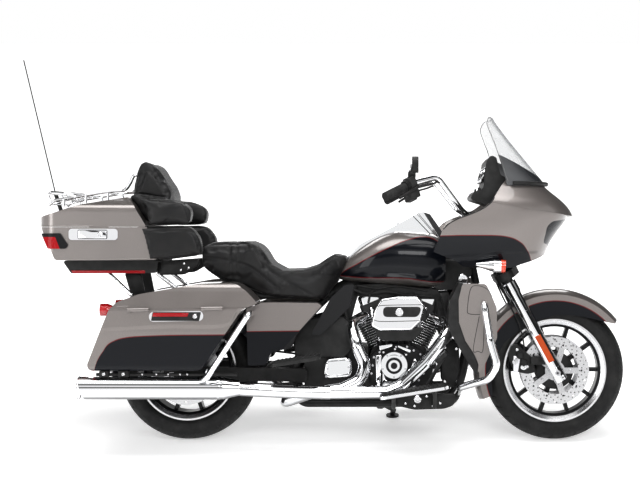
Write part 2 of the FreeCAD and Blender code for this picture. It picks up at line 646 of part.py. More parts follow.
FRONT_STRUT_PATH_SHARES = [
    (1.000, 0.000, 0.000), (0.784, 1.000, 0.192), (0.000, 1.000, 1.000),
]
MIRROR_STEM_PATH_ORIGIN = (975.0, 350.0, 1120.0)
MIRROR_STEM_PATH_SIZE = (25.0, 35.0, 70.0)
MIRROR_STEM_PATH_SHARES = [
    (0.000, 0.000, 0.000), (0.400, 0.286, 0.429), (1.000, 1.000, 1.000),
]
BRAKE_ARM_PATH_ORIGIN = (1000.0, -300.0, 220.0)
BRAKE_ARM_PATH_SIZE = (118.0, 160.0, 170.0)
BRAKE_ARM_PATH_SHARES = [
    (0.000, 1.000, 0.000), (0.339, 0.312, 0.118), (1.000, 0.000, 1.000),
]
SHIFT_ARM_PATH_ORIGIN = (850.0, 300.0, 300.0)
SHIFT_ARM_PATH_SIZE = (270.0, 0.0, 98.0)
SHIFT_ARM_PATH_SHARES = [
    (0.000, 0.000, 0.408), (0.556, 0.000, 0.000), (1.000, 0.000, 1.000),
]


def placed(u, v, w=0.0):
    return V(u, w, v)


def rounded_edges(points, place):
    """Edges of a closed outline of (u, v, corner radius) points, set in space by place(u, v)."""
    flat = [V(u, v, 0) for u, v, _ in points]
    count = len(points)
    starts, ends, arcs = [], [], []
    for i, (u, v, radius) in enumerate(points):
        here = flat[i]
        to_last = flat[i - 1] - here
        to_next = flat[(i + 1) % count] - here
        half = to_last.getAngle(to_next) / 2
        reach = min(to_last.Length, to_next.Length) * 0.49
        cut = min(radius / math.tan(half), reach) if radius > 0 else 0.0
        if cut < 1e-6:
            starts.append(here)
            ends.append(here)
            arcs.append(None)
            continue
        real = cut * math.tan(half)
        one = here + to_last.normalize() * cut
        two = here + to_next.normalize() * cut
        inward = (one + two) * 0.5 - here
        inward.normalize()
        centre = here + inward * (real / math.sin(half))
        starts.append(one)
        ends.append(two)
        arcs.append(centre - inward * real)
    edges = []
    for i in range(count):
        if arcs[i] is not None:
            trio = [place(p.x, p.y) for p in (starts[i], arcs[i], ends[i])]
            edges.append(Part.Arc(*trio).toShape())
        a, b = ends[i], starts[(i + 1) % count]
        if (b - a).Length > 1e-6:
            edges.append(Part.LineSegment(place(a.x, a.y), place(b.x, b.y)).toShape())
    return edges


def rounded_wire(points, place):
    return Part.Wire(Part.__sortEdges__(rounded_edges(points, place)))


def inset(points, distance):
    """The same outline moved inward by a distance, corner radii made smaller to match."""
    count = len(points)
    area = sum(points[i][0] * points[(i + 1) % count][1] - points[(i + 1) % count][0] * points[i][1]
               for i in range(count))
    side = 1.0 if area > 0 else -1.0
    lines = []
    for i in range(count):
        a = V(points[i][0], points[i][1], 0)
        b = V(points[(i + 1) % count][0], points[(i + 1) % count][1], 0)
        along = (b - a).normalize()
        normal = V(-along.y, along.x, 0) * side
        lines.append((a + normal * distance, along))
    result = []
    for i in range(count):
        (p, d), (q, e) = lines[i - 1], lines[i]
        cross = d.x * e.y - d.y * e.x
        gap = q - p
        t = (gap.x * e.y - gap.y * e.x) / cross
        meet = p + d * t
        result.append((meet.x, meet.y, max(points[i][2] - distance, 0.0)))
    return result


def prism_y(points, y_from, y_to):
    """Side outline of (x, z, radius) points, extruded across the machine."""
    face = Part.Face(rounded_wire(points, lambda u, v: V(u, y_from, v)))
    return face.extrude(V(0, y_to - y_from, 0))


def prism_x(points, x_from, x_to):
    """Cross section of (y, z, radius) points, extruded along the machine."""
    face = Part.Face(rounded_wire(points, lambda u, v: V(x_from, u, v)))
    return face.extrude(V(x_to - x_from, 0, 0))


def prism_z(points, z_from, z_to):
    """Plan outline of (x, y, radius) points, extruded upward."""
    face = Part.Face(rounded_wire(points, lambda u, v: V(u, v, z_from)))
    return face.extrude(V(0, 0, z_to - z_from))


def loft(wires, ruled=False):
    return Part.makeLoft(wires, True, ruled)


def cylinder(start, end, radius):
    axis = V(*end) - V(*start)
    return Part.makeCylinder(radius, axis.Length, V(*start), axis)


def tube(points, radius, bend):
    """A round bar or pipe along straight runs joined by tangent arcs of a bend radius."""
    nodes = [V(*p) for p in points]
    edges = []
    last = nodes[0]
    for i in range(1, len(nodes) - 1):
        here = nodes[i]
        to_last = (nodes[i - 1] - here)
        to_next = (nodes[i + 1] - here)
        half = to_last.getAngle(to_next) / 2
        if math.cos(half) < STRAIGHT_SHARE:
            continue
        cut = min(bend / math.tan(half), 0.48 * min(to_last.Length, to_next.Length))
        real = cut * math.tan(half)
        one = here + to_last.normalize() * cut
        two = here + to_next.normalize() * cut
        inward = ((one + two) * 0.5 - here).normalize()
        middle = here + inward * (real / math.sin(half) - real)
        if (one - last).Length > 1e-6:
            edges.append(Part.LineSegment(last, one).toShape())
        edges.append(Part.Arc(one, middle, two).toShape())
        last = two
    edges.append(Part.LineSegment(last, nodes[-1]).toShape())
    path = Part.Wire(edges)
    ring = Part.Wire([Part.makeCircle(radius, nodes[0], nodes[1] - nodes[0])])
    return path.makePipeShell([ring], True, False)


def fused(shapes):
    first, rest = shapes[0], shapes[1:]
    return first.fuse(rest).removeSplitter() if rest else first


def mirrored(shape):
    return shape.mirror(V(0, 0, 0), Y_AXIS)


def both_sides(shape):
    return Part.makeCompound([shape, mirrored(shape)])


def turned(shape, axis_point, axis, degrees):
    copy = shape.copy()
    copy.rotate(axis_point, axis, degrees)
    return copy


def moved(shape, x, y, z):
    copy = shape.copy()
    copy.translate(V(x, y, z))
    return copy


def shares_to_points(shares, origin, length, height):
    """Outline points from shares: x of the length, z of the height, radius of the height."""
    return [(origin[0] + u * length, origin[1] + v * height, r * height) for u, v, r in shares]


# Wheels. A wheel is drawn about the Y axis at zero and then set on its axle.

AXLE_LIFT = (REAR_CROWN_RADIUS - FRONT_CROWN_RADIUS) * (1 / math.cos(math.radians(LEAN_DEG)) - 1)
FRONT_AXLE = V(WHEELBASE, 0, FRONT_TYRE_RADIUS)
REAR_AXLE = V(0, 0, REAR_TYRE_RADIUS + AXLE_LIFT)


def ring_solid(profile):
    """Revolves a closed (radius, y) profile made of edges about the wheel's own axis."""
    return Part.Face(Part.Wire(profile)).revolve(V(0, 0, 0), Y_AXIS, 360)


def radial(radius, y):
    return V(radius, y, 0)


def tyre(radius, width, crown_radius, rim_radius, rim_width):
    shoulder_y = width * 0.42
    shoulder_r = radius - crown_radius + math.sqrt(crown_radius ** 2 - shoulder_y ** 2)
    wall_r = rim_radius + (shoulder_r - rim_radius) * 0.5
    bead_y = rim_width / 2
    crown = Part.Arc(radial(shoulder_r, -shoulder_y), radial(radius, 0), radial(shoulder_r, shoulder_y))
    left = Part.Arc(radial(shoulder_r, shoulder_y), radial(wall_r, width / 2), radial(rim_radius, bead_y))
    base = Part.LineSegment(radial(rim_radius, bead_y), radial(rim_radius, -bead_y))
    right = Part.Arc(radial(rim_radius, -bead_y), radial(wall_r, -width / 2), radial(shoulder_r, -shoulder_y))
    return ring_solid([g.toShape() for g in (crown, left, base, right)])


RIM_LIP_SHARE = 0.035
RIM_STEP_SHARE = 0.10
RIM_WELL_SHARE = 0.155


def rim(rim_radius, rim_width, hub_radius, hub_width, axle_radius):
    """Cast rim: lipped barrel, hub and paddle spokes."""
    lip = rim_radius * (1 - RIM_LIP_SHARE)
    step = rim_radius * (1 - RIM_STEP_SHARE)
    well = rim_radius * (1 - RIM_WELL_SHARE)
    half = rim_width / 2
    corners = [(rim_radius, -half), (rim_radius, half), (lip, half), (step, half * 0.80),
               (well, half * 0.62), (well, -half * 0.62), (step, -half * 0.80), (lip, -half)]
    edges = [Part.LineSegment(radial(*corners[i]), radial(*corners[(i + 1) % len(corners)])).toShape()
             for i in range(len(corners))]
    barrel = ring_solid(edges)
    hub = cylinder((0, -hub_width / 2, 0), (0, hub_width / 2, 0), hub_radius)
    paddle = spoke(hub_radius * 0.8, well + (step - well) * 0.5, half * 0.50, half * 0.40)
    spokes = [turned(paddle, V(0, 0, 0), Y_AXIS, i * 360.0 / SPOKE_COUNT) for i in range(SPOKE_COUNT)]
    whole = fused([barrel, hub] + spokes)
    bore = cylinder((0, -hub_width, 0), (0, hub_width, 0), axle_radius + RUNNING_CLEARANCE)
    return whole.cut(bore)


def spoke(r_from, r_to, half_root, half_tip):
    """One blade, deep across the wheel and thin around it, thicker at its root."""
    root, tip = SPOKE_THICKNESS, SPOKE_THICKNESS * 0.75
    wires = []
    for r, half_y, thick in ((r_from, half_root, root), (r_to, half_tip, tip)):
        points = [(-half_y, -thick, thick * 0.6), (half_y, -thick, thick * 0.6),
                  (half_y, thick, thick * 0.6), (-half_y, thick, thick * 0.6)]
        wires.append(rounded_wire(points, lambda u, v, r=r: V(r, u, v)))
    return loft(wires, True)


def disc(radius, hub_radius, y_face):
    """Drilled brake ring on a five-armed carrier, its inner face at y_face."""
    outer = cylinder((0, y_face, 0), (0, y_face + DISC_THICKNESS, 0), radius)
    inner = cylinder((0, y_face - OVERRUN, 0), (0, y_face + DISC_THICKNESS + OVERRUN, 0), radius - DISC_BAND)
    band = outer.cut(inner)
    hole_r = radius - DISC_BAND / 2
    holes = []
    for i in range(DISC_HOLE_COUNT):
        angle = 2 * math.pi * i / DISC_HOLE_COUNT
        offset = DISC_BAND * (0.22 if i % 2 else -0.22)
        x, z = (hole_r + offset) * math.cos(angle), (hole_r + offset) * math.sin(angle)
        holes.append(cylinder((x, y_face - OVERRUN, z), (x, y_face + OVERRUN, z), DISC_HOLE_RADIUS))
    band = band.cut(holes)
    ring = cylinder((0, y_face, 0), (0, y_face + DISC_THICKNESS, 0), hub_radius)
    arm = Part.makeBox(radius - DISC_BAND * 0.8, DISC_THICKNESS, DISC_ARM_WIDTH,
                       V(0, y_face, -DISC_ARM_WIDTH / 2))
    arms = [turned(arm, V(0, 0, 0), Y_AXIS, 360.0 * i / DISC_ARM_COUNT) for i in range(DISC_ARM_COUNT)]
    return fused([band, ring] + arms)


def on_axle(shape, axle):
    return moved(shape, axle.x, axle.y, axle.z)


def front_wheel():
    bore = cylinder((0, -FRONT_HUB_WIDTH * 2, 0), (0, FRONT_HUB_WIDTH * 2, 0),
                    FRONT_AXLE_RADIUS + RUNNING_CLEARANCE)
    left = disc(FRONT_DISC_RADIUS, FRONT_HUB_RADIUS, FRONT_HUB_WIDTH / 2).cut(bore)
    return {
        "front_tyre": tyre(FRONT_TYRE_RADIUS, FRONT_TYRE_WIDTH, FRONT_CROWN_RADIUS,
                           FRONT_RIM_RADIUS, FRONT_RIM_WIDTH),
        "front_rim": rim(FRONT_RIM_RADIUS, FRONT_RIM_WIDTH, FRONT_HUB_RADIUS,
                         FRONT_HUB_WIDTH, FRONT_AXLE_RADIUS),
        "front_discs": both_sides(left),
    }


def rear_wheel():
    bore = cylinder((0, -REAR_HUB_WIDTH * 2, 0), (0, REAR_HUB_WIDTH * 2, 0),
                    REAR_AXLE_RADIUS + RUNNING_CLEARANCE)
    right = mirrored(disc(REAR_DISC_RADIUS, REAR_HUB_RADIUS, REAR_HUB_WIDTH / 2)).cut(bore)
    y_pulley = REAR_HUB_WIDTH / 2
    pulley = cylinder((0, y_pulley, 0), (0, y_pulley + REAR_PULLEY_WIDTH, 0), REAR_PULLEY_RADIUS)
    return {
        "rear_tyre": tyre(REAR_TYRE_RADIUS, REAR_TYRE_WIDTH, REAR_CROWN_RADIUS,
                          REAR_RIM_RADIUS, REAR_RIM_WIDTH),
        "rear_rim": rim(REAR_RIM_RADIUS, REAR_RIM_WIDTH, REAR_HUB_RADIUS,
                        REAR_HUB_WIDTH, REAR_AXLE_RADIUS),
        "rear_disc_and_pulley": Part.makeCompound([right, pulley.cut(bore)]),
    }


def outline(shares, origin, size, shrink=0.0):
    """Corner points (x, z, radius) from shares of an outline's own length and height."""
    points = [(origin[0] + u * size[0], origin[1] + v * size[1], r * size[1]) for u, v, r in shares]
    return inset(points, shrink) if shrink else points


def route(shares, origin, size):
    """Points along a tube from shares of its own length, width and height."""
    return [tuple(o + s * q for o, s, q in zip(origin, point, size)) for point in shares]


def hollow_tray(shares, origin, size, y_in, y_out, wall):
    """A panel with a rim, open toward the middle of the machine."""
    outer = prism_y(outline(shares, origin, size), y_in, y_out)
    inner = prism_y(outline(shares, origin, size, wall), y_in - OVERRUN, y_out - wall)
    return outer.cut(inner)


# Steering geometry

RAKE = math.radians(STEERING_RAKE_DEG)
STEER_AXIS = V(-math.sin(RAKE), 0, math.cos(RAKE))
FORK_AXIS = V(-math.sin(math.radians(FORK_RAKE_DEG)), 0, math.cos(math.radians(FORK_RAKE_DEG)))


def steer_point(z):
    return V(WHEELBASE + TRAIL - z * math.tan(RAKE), 0, z)


def along_fork(length, y=0.0):
    point = FRONT_AXLE + FORK_AXIS * length
    return V(point.x, y, point.z)


def in_steering_frame(shape, z):
    """Sets a piece drawn about a vertical axis at zero onto the raked steering axis."""
    copy = turned(shape, V(0, 0, 0), Y_AXIS, -STEERING_RAKE_DEG)
    point = steer_point(z)
    return moved(copy, point.x, point.y, point.z)


def yoke(z):
    fork_x = along_fork((z - FRONT_AXLE.z) / FORK_AXIS.z).x - steer_point(z).x
    half = FORK_SPACING + FORK_COVER_RADIUS
    points = [(fork_x - YOKE_DEPTH / 2, -half, YOKE_DEPTH / 2), (fork_x - YOKE_DEPTH / 2, half, YOKE_DEPTH / 2),
              (fork_x + YOKE_DEPTH / 2, half, YOKE_DEPTH / 2), (NECK_RADIUS, NECK_RADIUS, NECK_RADIUS / 2),
              (NECK_RADIUS, -NECK_RADIUS, NECK_RADIUS / 2), (fork_x + YOKE_DEPTH / 2, -half, YOKE_DEPTH / 2)]
    plate = prism_z(points, -YOKE_THICKNESS / 2, YOKE_THICKNESS / 2)
    return in_steering_frame(plate, z)


def fork():
    stem = cylinder(steer_point(LOWER_YOKE_Z), steer_point(UPPER_YOKE_Z), STEM_RADIUS)
    yokes = [yoke(LOWER_YOKE_Z), yoke(UPPER_YOKE_Z)]
    tubes, sliders = [], []
    for side in (-1, 1):
        y = side * FORK_SPACING
        tubes.append(cylinder(along_fork(FORK_SLIDER_LENGTH, y), along_fork(FORK_LENGTH, y), FORK_TUBE_RADIUS))
        slider = cylinder(along_fork(-FORK_TOE, y), along_fork(FORK_SLIDER_LENGTH, y), FORK_SLIDER_RADIUS)
        cover = cylinder(along_fork(FORK_SLIDER_LENGTH, y), along_fork(FORK_COVER_END, y), FORK_COVER_RADIUS)
        sliders.append(slider.fuse(cover).removeSplitter())
    reach = FORK_SPACING + FORK_SLIDER_RADIUS
    axle = cylinder((WHEELBASE, -reach, FRONT_AXLE.z), (WHEELBASE, reach, FRONT_AXLE.z), FRONT_AXLE_RADIUS)
    end_bore = cylinder((WHEELBASE, -reach - OVERRUN, FRONT_AXLE.z),
                        (WHEELBASE, -reach + FRONT_AXLE_BORE_DEPTH, FRONT_AXLE.z), FRONT_AXLE_BORE_RADIUS)
    return {
        "front_axle": axle.cut(end_bore),
        "fork_legs": Part.makeCompound(sliders),
        "fork_yokes": fused(yokes + [stem]),
        "fork_tubes": Part.makeCompound(tubes),
    }


def polar(axle, radius, degrees):
    angle = math.radians(degrees)
    return (axle.x + radius * math.cos(angle), axle.z + radius * math.sin(angle))


def fender(axle, radius, half_width, wall, skirt_radius, skirt, crown):
    """A rolled mudguard about an axle; skirt lists (degrees, radius) along its lower edge."""
    shell = []
    for shrink in (0.0, wall):
        r, half = radius - shrink, half_width - shrink
        edge = r - crown
        arc = Part.Arc(radial(edge, -half), radial(r, 0), radial(edge, half)).toShape()
        low = skirt_radius - (OVERRUN if shrink else 0.0)
        sides = [Part.LineSegment(radial(edge, half), radial(low, half)).toShape(),
                 Part.LineSegment(radial(low, half), radial(low, -half)).toShape(),
                 Part.LineSegment(radial(low, -half), radial(edge, -half)).toShape()]
        shell.append(ring_solid([arc] + sides))
    band = on_axle(shell[0].cut(shell[1]), axle)
    far = radius + OVERRUN
    first, last = skirt[0][0], skirt[-1][0]
    count = len(skirt) * 2
    outer = [polar(axle, far, last + (first - last) * i / count) for i in range(count + 1)]
    points = [polar(axle, r, a) for a, r in skirt] + outer
    window = prism_y([(x, z, 0) for x, z in points], -half_width - OVERRUN, half_width + OVERRUN)
    return band.common(window)


def caliper(axle, y_mid):
    points = outline(CALIPER_SHARES, CALIPER_ORIGIN, CALIPER_SIZE)
    shifted = [(axle.x + x, axle.z + z, r) for x, z, r in points]
    body = prism_y(shifted, y_mid - CALIPER_DEPTH / 2, y_mid + CALIPER_DEPTH / 2)
    slot = cylinder((axle.x, y_mid - CALIPER_SLOT / 2, axle.z), (axle.x, y_mid + CALIPER_SLOT / 2, axle.z),
                    FRONT_DISC_RADIUS + MOVING_GAP)
    y_rim = FRONT_RIM_WIDTH / 2 + MOVING_GAP
    wide = cylinder((axle.x, 0, axle.z), (axle.x, y_rim, axle.z), FRONT_TYRE_RADIUS)
    narrow = cylinder((axle.x, -OVERRUN, axle.z), (axle.x, y_rim + OVERRUN, axle.z), CALIPER_INNER_REACH)
    lug = Part.makeBox(*CALIPER_LUG_SIZE, V(axle.x + CALIPER_LUG_AT[0], CALIPER_LUG_AT[1], axle.z + CALIPER_LUG_AT[2]))
    return body.cut(slot).cut(wide.cut(narrow)).fuse(lug).removeSplitter()


def front_end():
    pieces = fork()
    y_disc = FRONT_HUB_WIDTH / 2 + DISC_THICKNESS / 2
    pieces["front_calipers"] = both_sides(caliper(FRONT_AXLE, y_disc))
    pieces["front_fender"] = fender(FRONT_AXLE, FRONT_FENDER_RADIUS, FRONT_FENDER_HALF, FENDER_WALL,
                                    FRONT_SKIRT_RADIUS, front_skirt(), FENDER_CROWN)
    bar = route(BAR_PATH_SHARES, BAR_PATH_ORIGIN, BAR_PATH_SIZE)
    other = [(x, -y, z) for x, y, z in bar[:0:-1]]
    pieces["handlebar"] = tube(other + bar, BAR_RADIUS, BAR_BEND_RADIUS)
    riser_top = V(*bar[0])
    risers = []
    for side in (-1, 1):
        top = V(riser_top.x, side * RISER_SPACING, riser_top.z)
        foot = V(riser_top.x + RISER_LEAN, side * RISER_SPACING, UPPER_YOKE_Z)
        post = cylinder(foot, top, RISER_RADIUS)
        clamp = cylinder(top - Y_AXIS * RISER_RADIUS, top + Y_AXIS * RISER_RADIUS, RISER_RADIUS * 1.4)
        risers.append(post.fuse(clamp).removeSplitter())
    pieces["bar_risers"] = Part.makeCompound(risers)
    end, start = V(*bar[-1]), V(*bar[-2])
    axis = (end - start).normalize()
    length = (end - start).Length
    sleeve = cylinder(end - axis * (length * GRIP_SHARE), end + axis * BAR_RADIUS, GRIP_RADIUS)
    pieces["grips"] = both_sides(sleeve)
    pod_mid = start + axis * (length * (1 - GRIP_SHARE) / 2)
    pod = cylinder(pod_mid - axis * CONTROL_HALF, pod_mid + axis * CONTROL_HALF, CONTROL_RADIUS)
    lever_tip = end + V(LEVER_REACH, 0, -GRIP_RADIUS / 2)
    lever = tube([pod_mid, pod_mid + V(LEVER_REACH, 0, 0), lever_tip], LEVER_RADIUS, BAR_BEND_RADIUS)
    pieces["hand_controls"] = both_sides(fused([pod, lever, mirror(pod_mid)]))
    return pieces


def mirror(foot):
    """Teardrop head on a curved stem, its glass facing the rider."""
    top = foot + V(MIRROR_STEM[0], MIRROR_STEM[1], MIRROR_STEM[2])
    knee = foot + V(0, 0, MIRROR_STEM[2] * 0.6)
    stem = tube([foot, knee, top], MIRROR_STEM_RADIUS, MIRROR_STEM_RADIUS * 3)
    w, h = MIRROR_SIZE[1] / 2, MIRROR_SIZE[2] / 2
    points = [(top.y - w, top.z - h * 0.6, h * 0.5), (top.y + w * 0.7, top.z - h, h * 0.5),
              (top.y + w, top.z + h * 0.7, h * 0.6), (top.y - w * 0.7, top.z + h, h * 0.6)]
    head = prism_x(points, top.x - MIRROR_SIZE[0] / 2, top.x + MIRROR_SIZE[0] / 2)
    return fused([stem, head])


def front_skirt():
    return [(a, r * FRONT_FENDER_RADIUS) for a, r in FRONT_SKIRT_SHARES]


def rear_skirt():
    return [(a, r * REAR_FENDER_RADIUS) for a, r in REAR_SKIRT_SHARES]


# Frame

def frame():
    backbone = tube(route(BACKBONE_PATH_SHARES, BACKBONE_PATH_ORIGIN, BACKBONE_PATH_SIZE), BACKBONE_RADIUS,
                    BACKBONE_RADIUS * 3)
    cradle = tube(route(CRADLE_PATH_SHARES, CRADLE_PATH_ORIGIN, CRADLE_PATH_SIZE), CRADLE_RADIUS,
                  CRADLE_RADIUS * 3.5)
    rail = tube(route(REAR_RAIL_PATH_SHARES, REAR_RAIL_PATH_ORIGIN, REAR_RAIL_PATH_SIZE), RAIL_RADIUS,
                RAIL_RADIUS * 5)
    neck = cylinder(steer_point(NECK_LOW_Z), steer_point(NECK_HIGH_Z), NECK_RADIUS)
    stay = prism_y(outline(DASH_STAY_SHARES, DASH_STAY_ORIGIN, DASH_STAY_SIZE), -NECK_RADIUS / 2, NECK_RADIUS / 2)
    cradle_bars, rail_bars = [], []
    low = CRADLE_PATH_ORIGIN[2]
    half = CRADLE_PATH_ORIGIN[1] + CRADLE_PATH_SIZE[1] - CRADLE_RADIUS / 2
    for x in CROSSBAR_X:
        cradle_bars.append(cylinder((x, -half, low), (x, half, low), CRADLE_RADIUS * 0.9))
    for x, z in REAR_CROSSBARS:
        rail_bars.append(cylinder((x, -REAR_RAIL_Y, z), (x, REAR_RAIL_Y, z), RAIL_RADIUS))
    for x in BAG_POST_X:
        post = cylinder((x, REAR_RAIL_Y, REAR_RAIL_Z), (x, BAG_INNER_Y, REAR_RAIL_Z - BAG_POST_DROP), STRUT_RADIUS)
        rail_bars += [post, mirrored(post)]
    bore = cylinder(steer_point(LOWER_YOKE_Z - OVERRUN), steer_point(UPPER_YOKE_Z + OVERRUN),
                    STEM_RADIUS + RUNNING_CLEARANCE * 3)
    return {
        "frame_backbone": fused([neck, backbone, stay]).cut(bore),
        "frame_cradle": fused([cradle, mirrored(cradle), side_stand()[1]] + cradle_bars),
        "frame_rear": fused([rail, mirrored(rail)] + rail_bars),
    }


def swingarm():
    z = REAR_AXLE.z
    arm_points = [(-ARM_END, z - ARM_HEIGHT / 2, ARM_HEIGHT / 3), (-ARM_END, z + ARM_HEIGHT / 2, ARM_HEIGHT / 3),
                  (SWING_PIVOT[0] + ARM_HEIGHT / 2, SWING_PIVOT[1] + ARM_HEIGHT / 2, ARM_HEIGHT / 3),
                  (SWING_PIVOT[0] + ARM_HEIGHT / 2, SWING_PIVOT[1] - ARM_HEIGHT / 2, ARM_HEIGHT / 3)]
    arm = prism_y(arm_points, ARM_INNER_Y, ARM_INNER_Y + ARM_WIDTH)
    cross = cylinder((ARM_CROSS_X, -ARM_INNER_Y - ARM_WIDTH / 2, z), (ARM_CROSS_X, ARM_INNER_Y + ARM_WIDTH / 2, z),
                     ARM_HEIGHT * 0.4)
    pivot = cylinder((SWING_PIVOT[0], -ARM_INNER_Y - ARM_WIDTH / 2, SWING_PIVOT[1]),
                     (SWING_PIVOT[0], ARM_INNER_Y + ARM_WIDTH / 2, SWING_PIVOT[1]), ARM_HEIGHT * 0.3)
    return fused([arm, mirrored(arm), cross, pivot])


def rear_shock():
    low, high = V(*SHOCK_LOW), V(*SHOCK_HIGH)
    axis = (high - low).normalize()
    body = cylinder(low, high, SHOCK_RADIUS * 0.6)
    can = cylinder(low + axis * (SHOCK_RADIUS * 2), high - axis * (SHOCK_RADIUS * 1.5), SHOCK_RADIUS)
    lower_pin = cylinder(low - Y_AXIS * SHOCK_RADIUS, low + Y_AXIS * (SHOCK_RADIUS * 0.8), SHOCK_RADIUS * 0.7)
    upper_pin = cylinder(high - Y_AXIS * SHOCK_RADIUS, high + Y_AXIS * (SHOCK_RADIUS * 0.8), SHOCK_RADIUS * 0.7)
    return fused([body, can, lower_pin, upper_pin])


def drive_belt():
    """Flat belt around the rear pulley and the gearbox pulley, on the left side."""
    y_low = REAR_HUB_WIDTH / 2 + (REAR_PULLEY_WIDTH - BELT_WIDTH) / 2
    big, small = REAR_PULLEY_RADIUS + RUNNING_CLEARANCE * 3, FRONT_PULLEY_RADIUS
    rear, front = V(REAR_AXLE.x, 0, REAR_AXLE.z), V(FRONT_PULLEY[0], 0, FRONT_PULLEY[1])
    line = front - rear
    tilt = math.atan2(line.z, line.x)
    open_angle = math.acos((big - small) / line.Length)
    faces = []
    for grow in (0.0, BELT_THICKNESS):
        at = []
        for centre, r in ((rear, big + grow), (front, small + grow)):
            for side in (1, -1):
                a = tilt + side * open_angle
                at.append(V(centre.x + r * math.cos(a), 0, centre.z + r * math.sin(a)))
        back = V(rear.x - (big + grow) * math.cos(tilt), 0, rear.z - (big + grow) * math.sin(tilt))
        nose = V(front.x + (small + grow) * math.cos(tilt), 0, front.z + (small + grow) * math.sin(tilt))
        edges = [Part.LineSegment(at[0], at[2]).toShape(), Part.Arc(at[2], nose, at[3]).toShape(),
                 Part.LineSegment(at[3], at[1]).toShape(), Part.Arc(at[1], back, at[0]).toShape()]
        faces.append(Part.Face(Part.Wire(edges)))
    ring = faces[1].cut(faces[0])
    belt = ring.extrude(V(0, BELT_WIDTH, 0))
    return moved(belt, 0, y_low, 0)


def side_stand():
    axis = V(0, math.sin(math.radians(STAND_AXIS_TILT_DEG)), math.cos(math.radians(STAND_AXIS_TILT_DEG)))
    pivot = V(*STAND_PIVOT)
    half = STAND_PIVOT_LENGTH / 2
    barrel = cylinder(pivot - axis * half, pivot + axis * half, STAND_PIVOT_RADIUS)
    bore = cylinder(pivot - axis * (half + OVERRUN), pivot + axis * (half + OVERRUN),
                    STAND_PIN_RADIUS + RUNNING_CLEARANCE)
    foot = floor_point(*STAND_FOOT)
    up = floor_normal()
    ankle = foot + up * (STAND_FOOT_THICKNESS + STAND_LEG_RADIUS)
    knee = pivot + (ankle - pivot) * 0.75
    knee = V(knee.x + STAND_LEG_RADIUS * 2, knee.y, knee.z)
    leg = tube([pivot, knee, ankle], STAND_LEG_RADIUS, STAND_LEG_RADIUS * 3)
    pad = Part.makeCylinder(STAND_FOOT_RADIUS, STAND_FOOT_THICKNESS, foot, up)
    boss = Part.makeCylinder(STAND_LEG_RADIUS, STAND_LEG_RADIUS + STAND_FOOT_THICKNESS, foot, up)
    whole = fused([barrel, leg, pad, boss]).cut(bore)
    pin = cylinder(pivot - axis * (half + STAND_PLATE + RUNNING_CLEARANCE),
                   pivot + axis * (half + STAND_PLATE + RUNNING_CLEARANCE), STAND_PIN_RADIUS)
    rail = V(pivot.x, CRADLE_PATH_ORIGIN[1] + CRADLE_PATH_SIZE[1], CRADLE_PATH_ORIGIN[2])
    plates = []
    for side in (-1, 1):
        base = pivot + axis * (side * (half + RUNNING_CLEARANCE))
        plate = Part.makeCylinder(STAND_PIVOT_RADIUS, STAND_PLATE, base, axis * side)
        reach = rail - pivot
        reach = reach - axis * reach.dot(axis)
        box = Part.makeBox(reach.Length, STAND_PIVOT_RADIUS * 2, STAND_PLATE, V(0, 0, 0))
        box = moved(box, 0, -STAND_PIVOT_RADIUS, 0)
        x_dir = V(reach.x, reach.y, reach.z).normalize()
        z_dir = axis * side
        y_dir = z_dir.cross(x_dir)
        matrix = FreeCAD.Matrix(x_dir.x, y_dir.x, z_dir.x, base.x, x_dir.y, y_dir.y, z_dir.y, base.y,
                                x_dir.z, y_dir.z, z_dir.z, base.z, 0, 0, 0, 1)
        box = box.transformGeometry(matrix)
        plates.append(plate.fuse(box))
    bracket = fused([pin] + plates)
    return whole, bracket


# Leaning the machine onto its stand

LEAN = math.radians(LEAN_DEG)
FLOOR_SHIFT = FRONT_CROWN_RADIUS * (1 - math.cos(LEAN))


def floor_point(x, y):
    """Point of the floor below a place of the bike frame once the machine leans."""
    return V(x, y, (y * math.sin(LEAN) - FLOOR_SHIFT) / math.cos(LEAN))


def floor_normal():
    return V(0, -math.sin(LEAN), math.cos(LEAN))


# Engine

def cylinder_axis(side):
    angle = math.radians(CYLINDER_ANGLE_DEG)
    return V(side * math.sin(angle), 0, math.cos(angle))


def jug(side):
    """Finned barrel and head on the half plane of its own side."""
    axis = cylinder_axis(side)
    crank = V(CRANK_X, 0, CRANK_Z)
    barrel = cylinder(crank + axis * BARREL_START, crank + axis * (BARREL_START + BARREL_LENGTH), BARREL_RADIUS)
    shapes = [barrel]
    step = BARREL_LENGTH / FIN_COUNT
    for i in range(FIN_COUNT):
        base = crank + axis * (BARREL_START + step * (i + 0.3))
        shapes.append(Part.makeCylinder(FIN_RADIUS, FIN_THICKNESS, base, axis))
    head_base = BARREL_START + BARREL_LENGTH
    head = boxed(HEAD_SIZE, HEAD_SIZE, HEAD_LENGTH, HEAD_SIZE * 0.12)
    shapes.append(head)
    head = turned(head, V(0, 0, 0), Y_AXIS, side * CYLINDER_ANGLE_DEG)
    at = crank + axis * head_base
    shapes[-1] = moved(head, at.x, at.y, at.z)
    whole = fused(shapes)
    reach = HEAD_SIZE * 5
    x_low = CRANK_X + JUG_GAP if side > 0 else CRANK_X - JUG_GAP - reach
    half_space = Part.makeBox(reach, reach, reach, V(x_low, -reach / 2, CRANK_Z))
    return whole.common(half_space)


def boxed(length, width, height, radius):
    """Upright block about the Z axis, standing on zero, with rounded corners in plan."""
    x, y = length / 2, width / 2
    return prism_z([(-x, -y, radius), (x, -y, radius), (x, y, radius), (-x, y, radius)], 0.0, height)


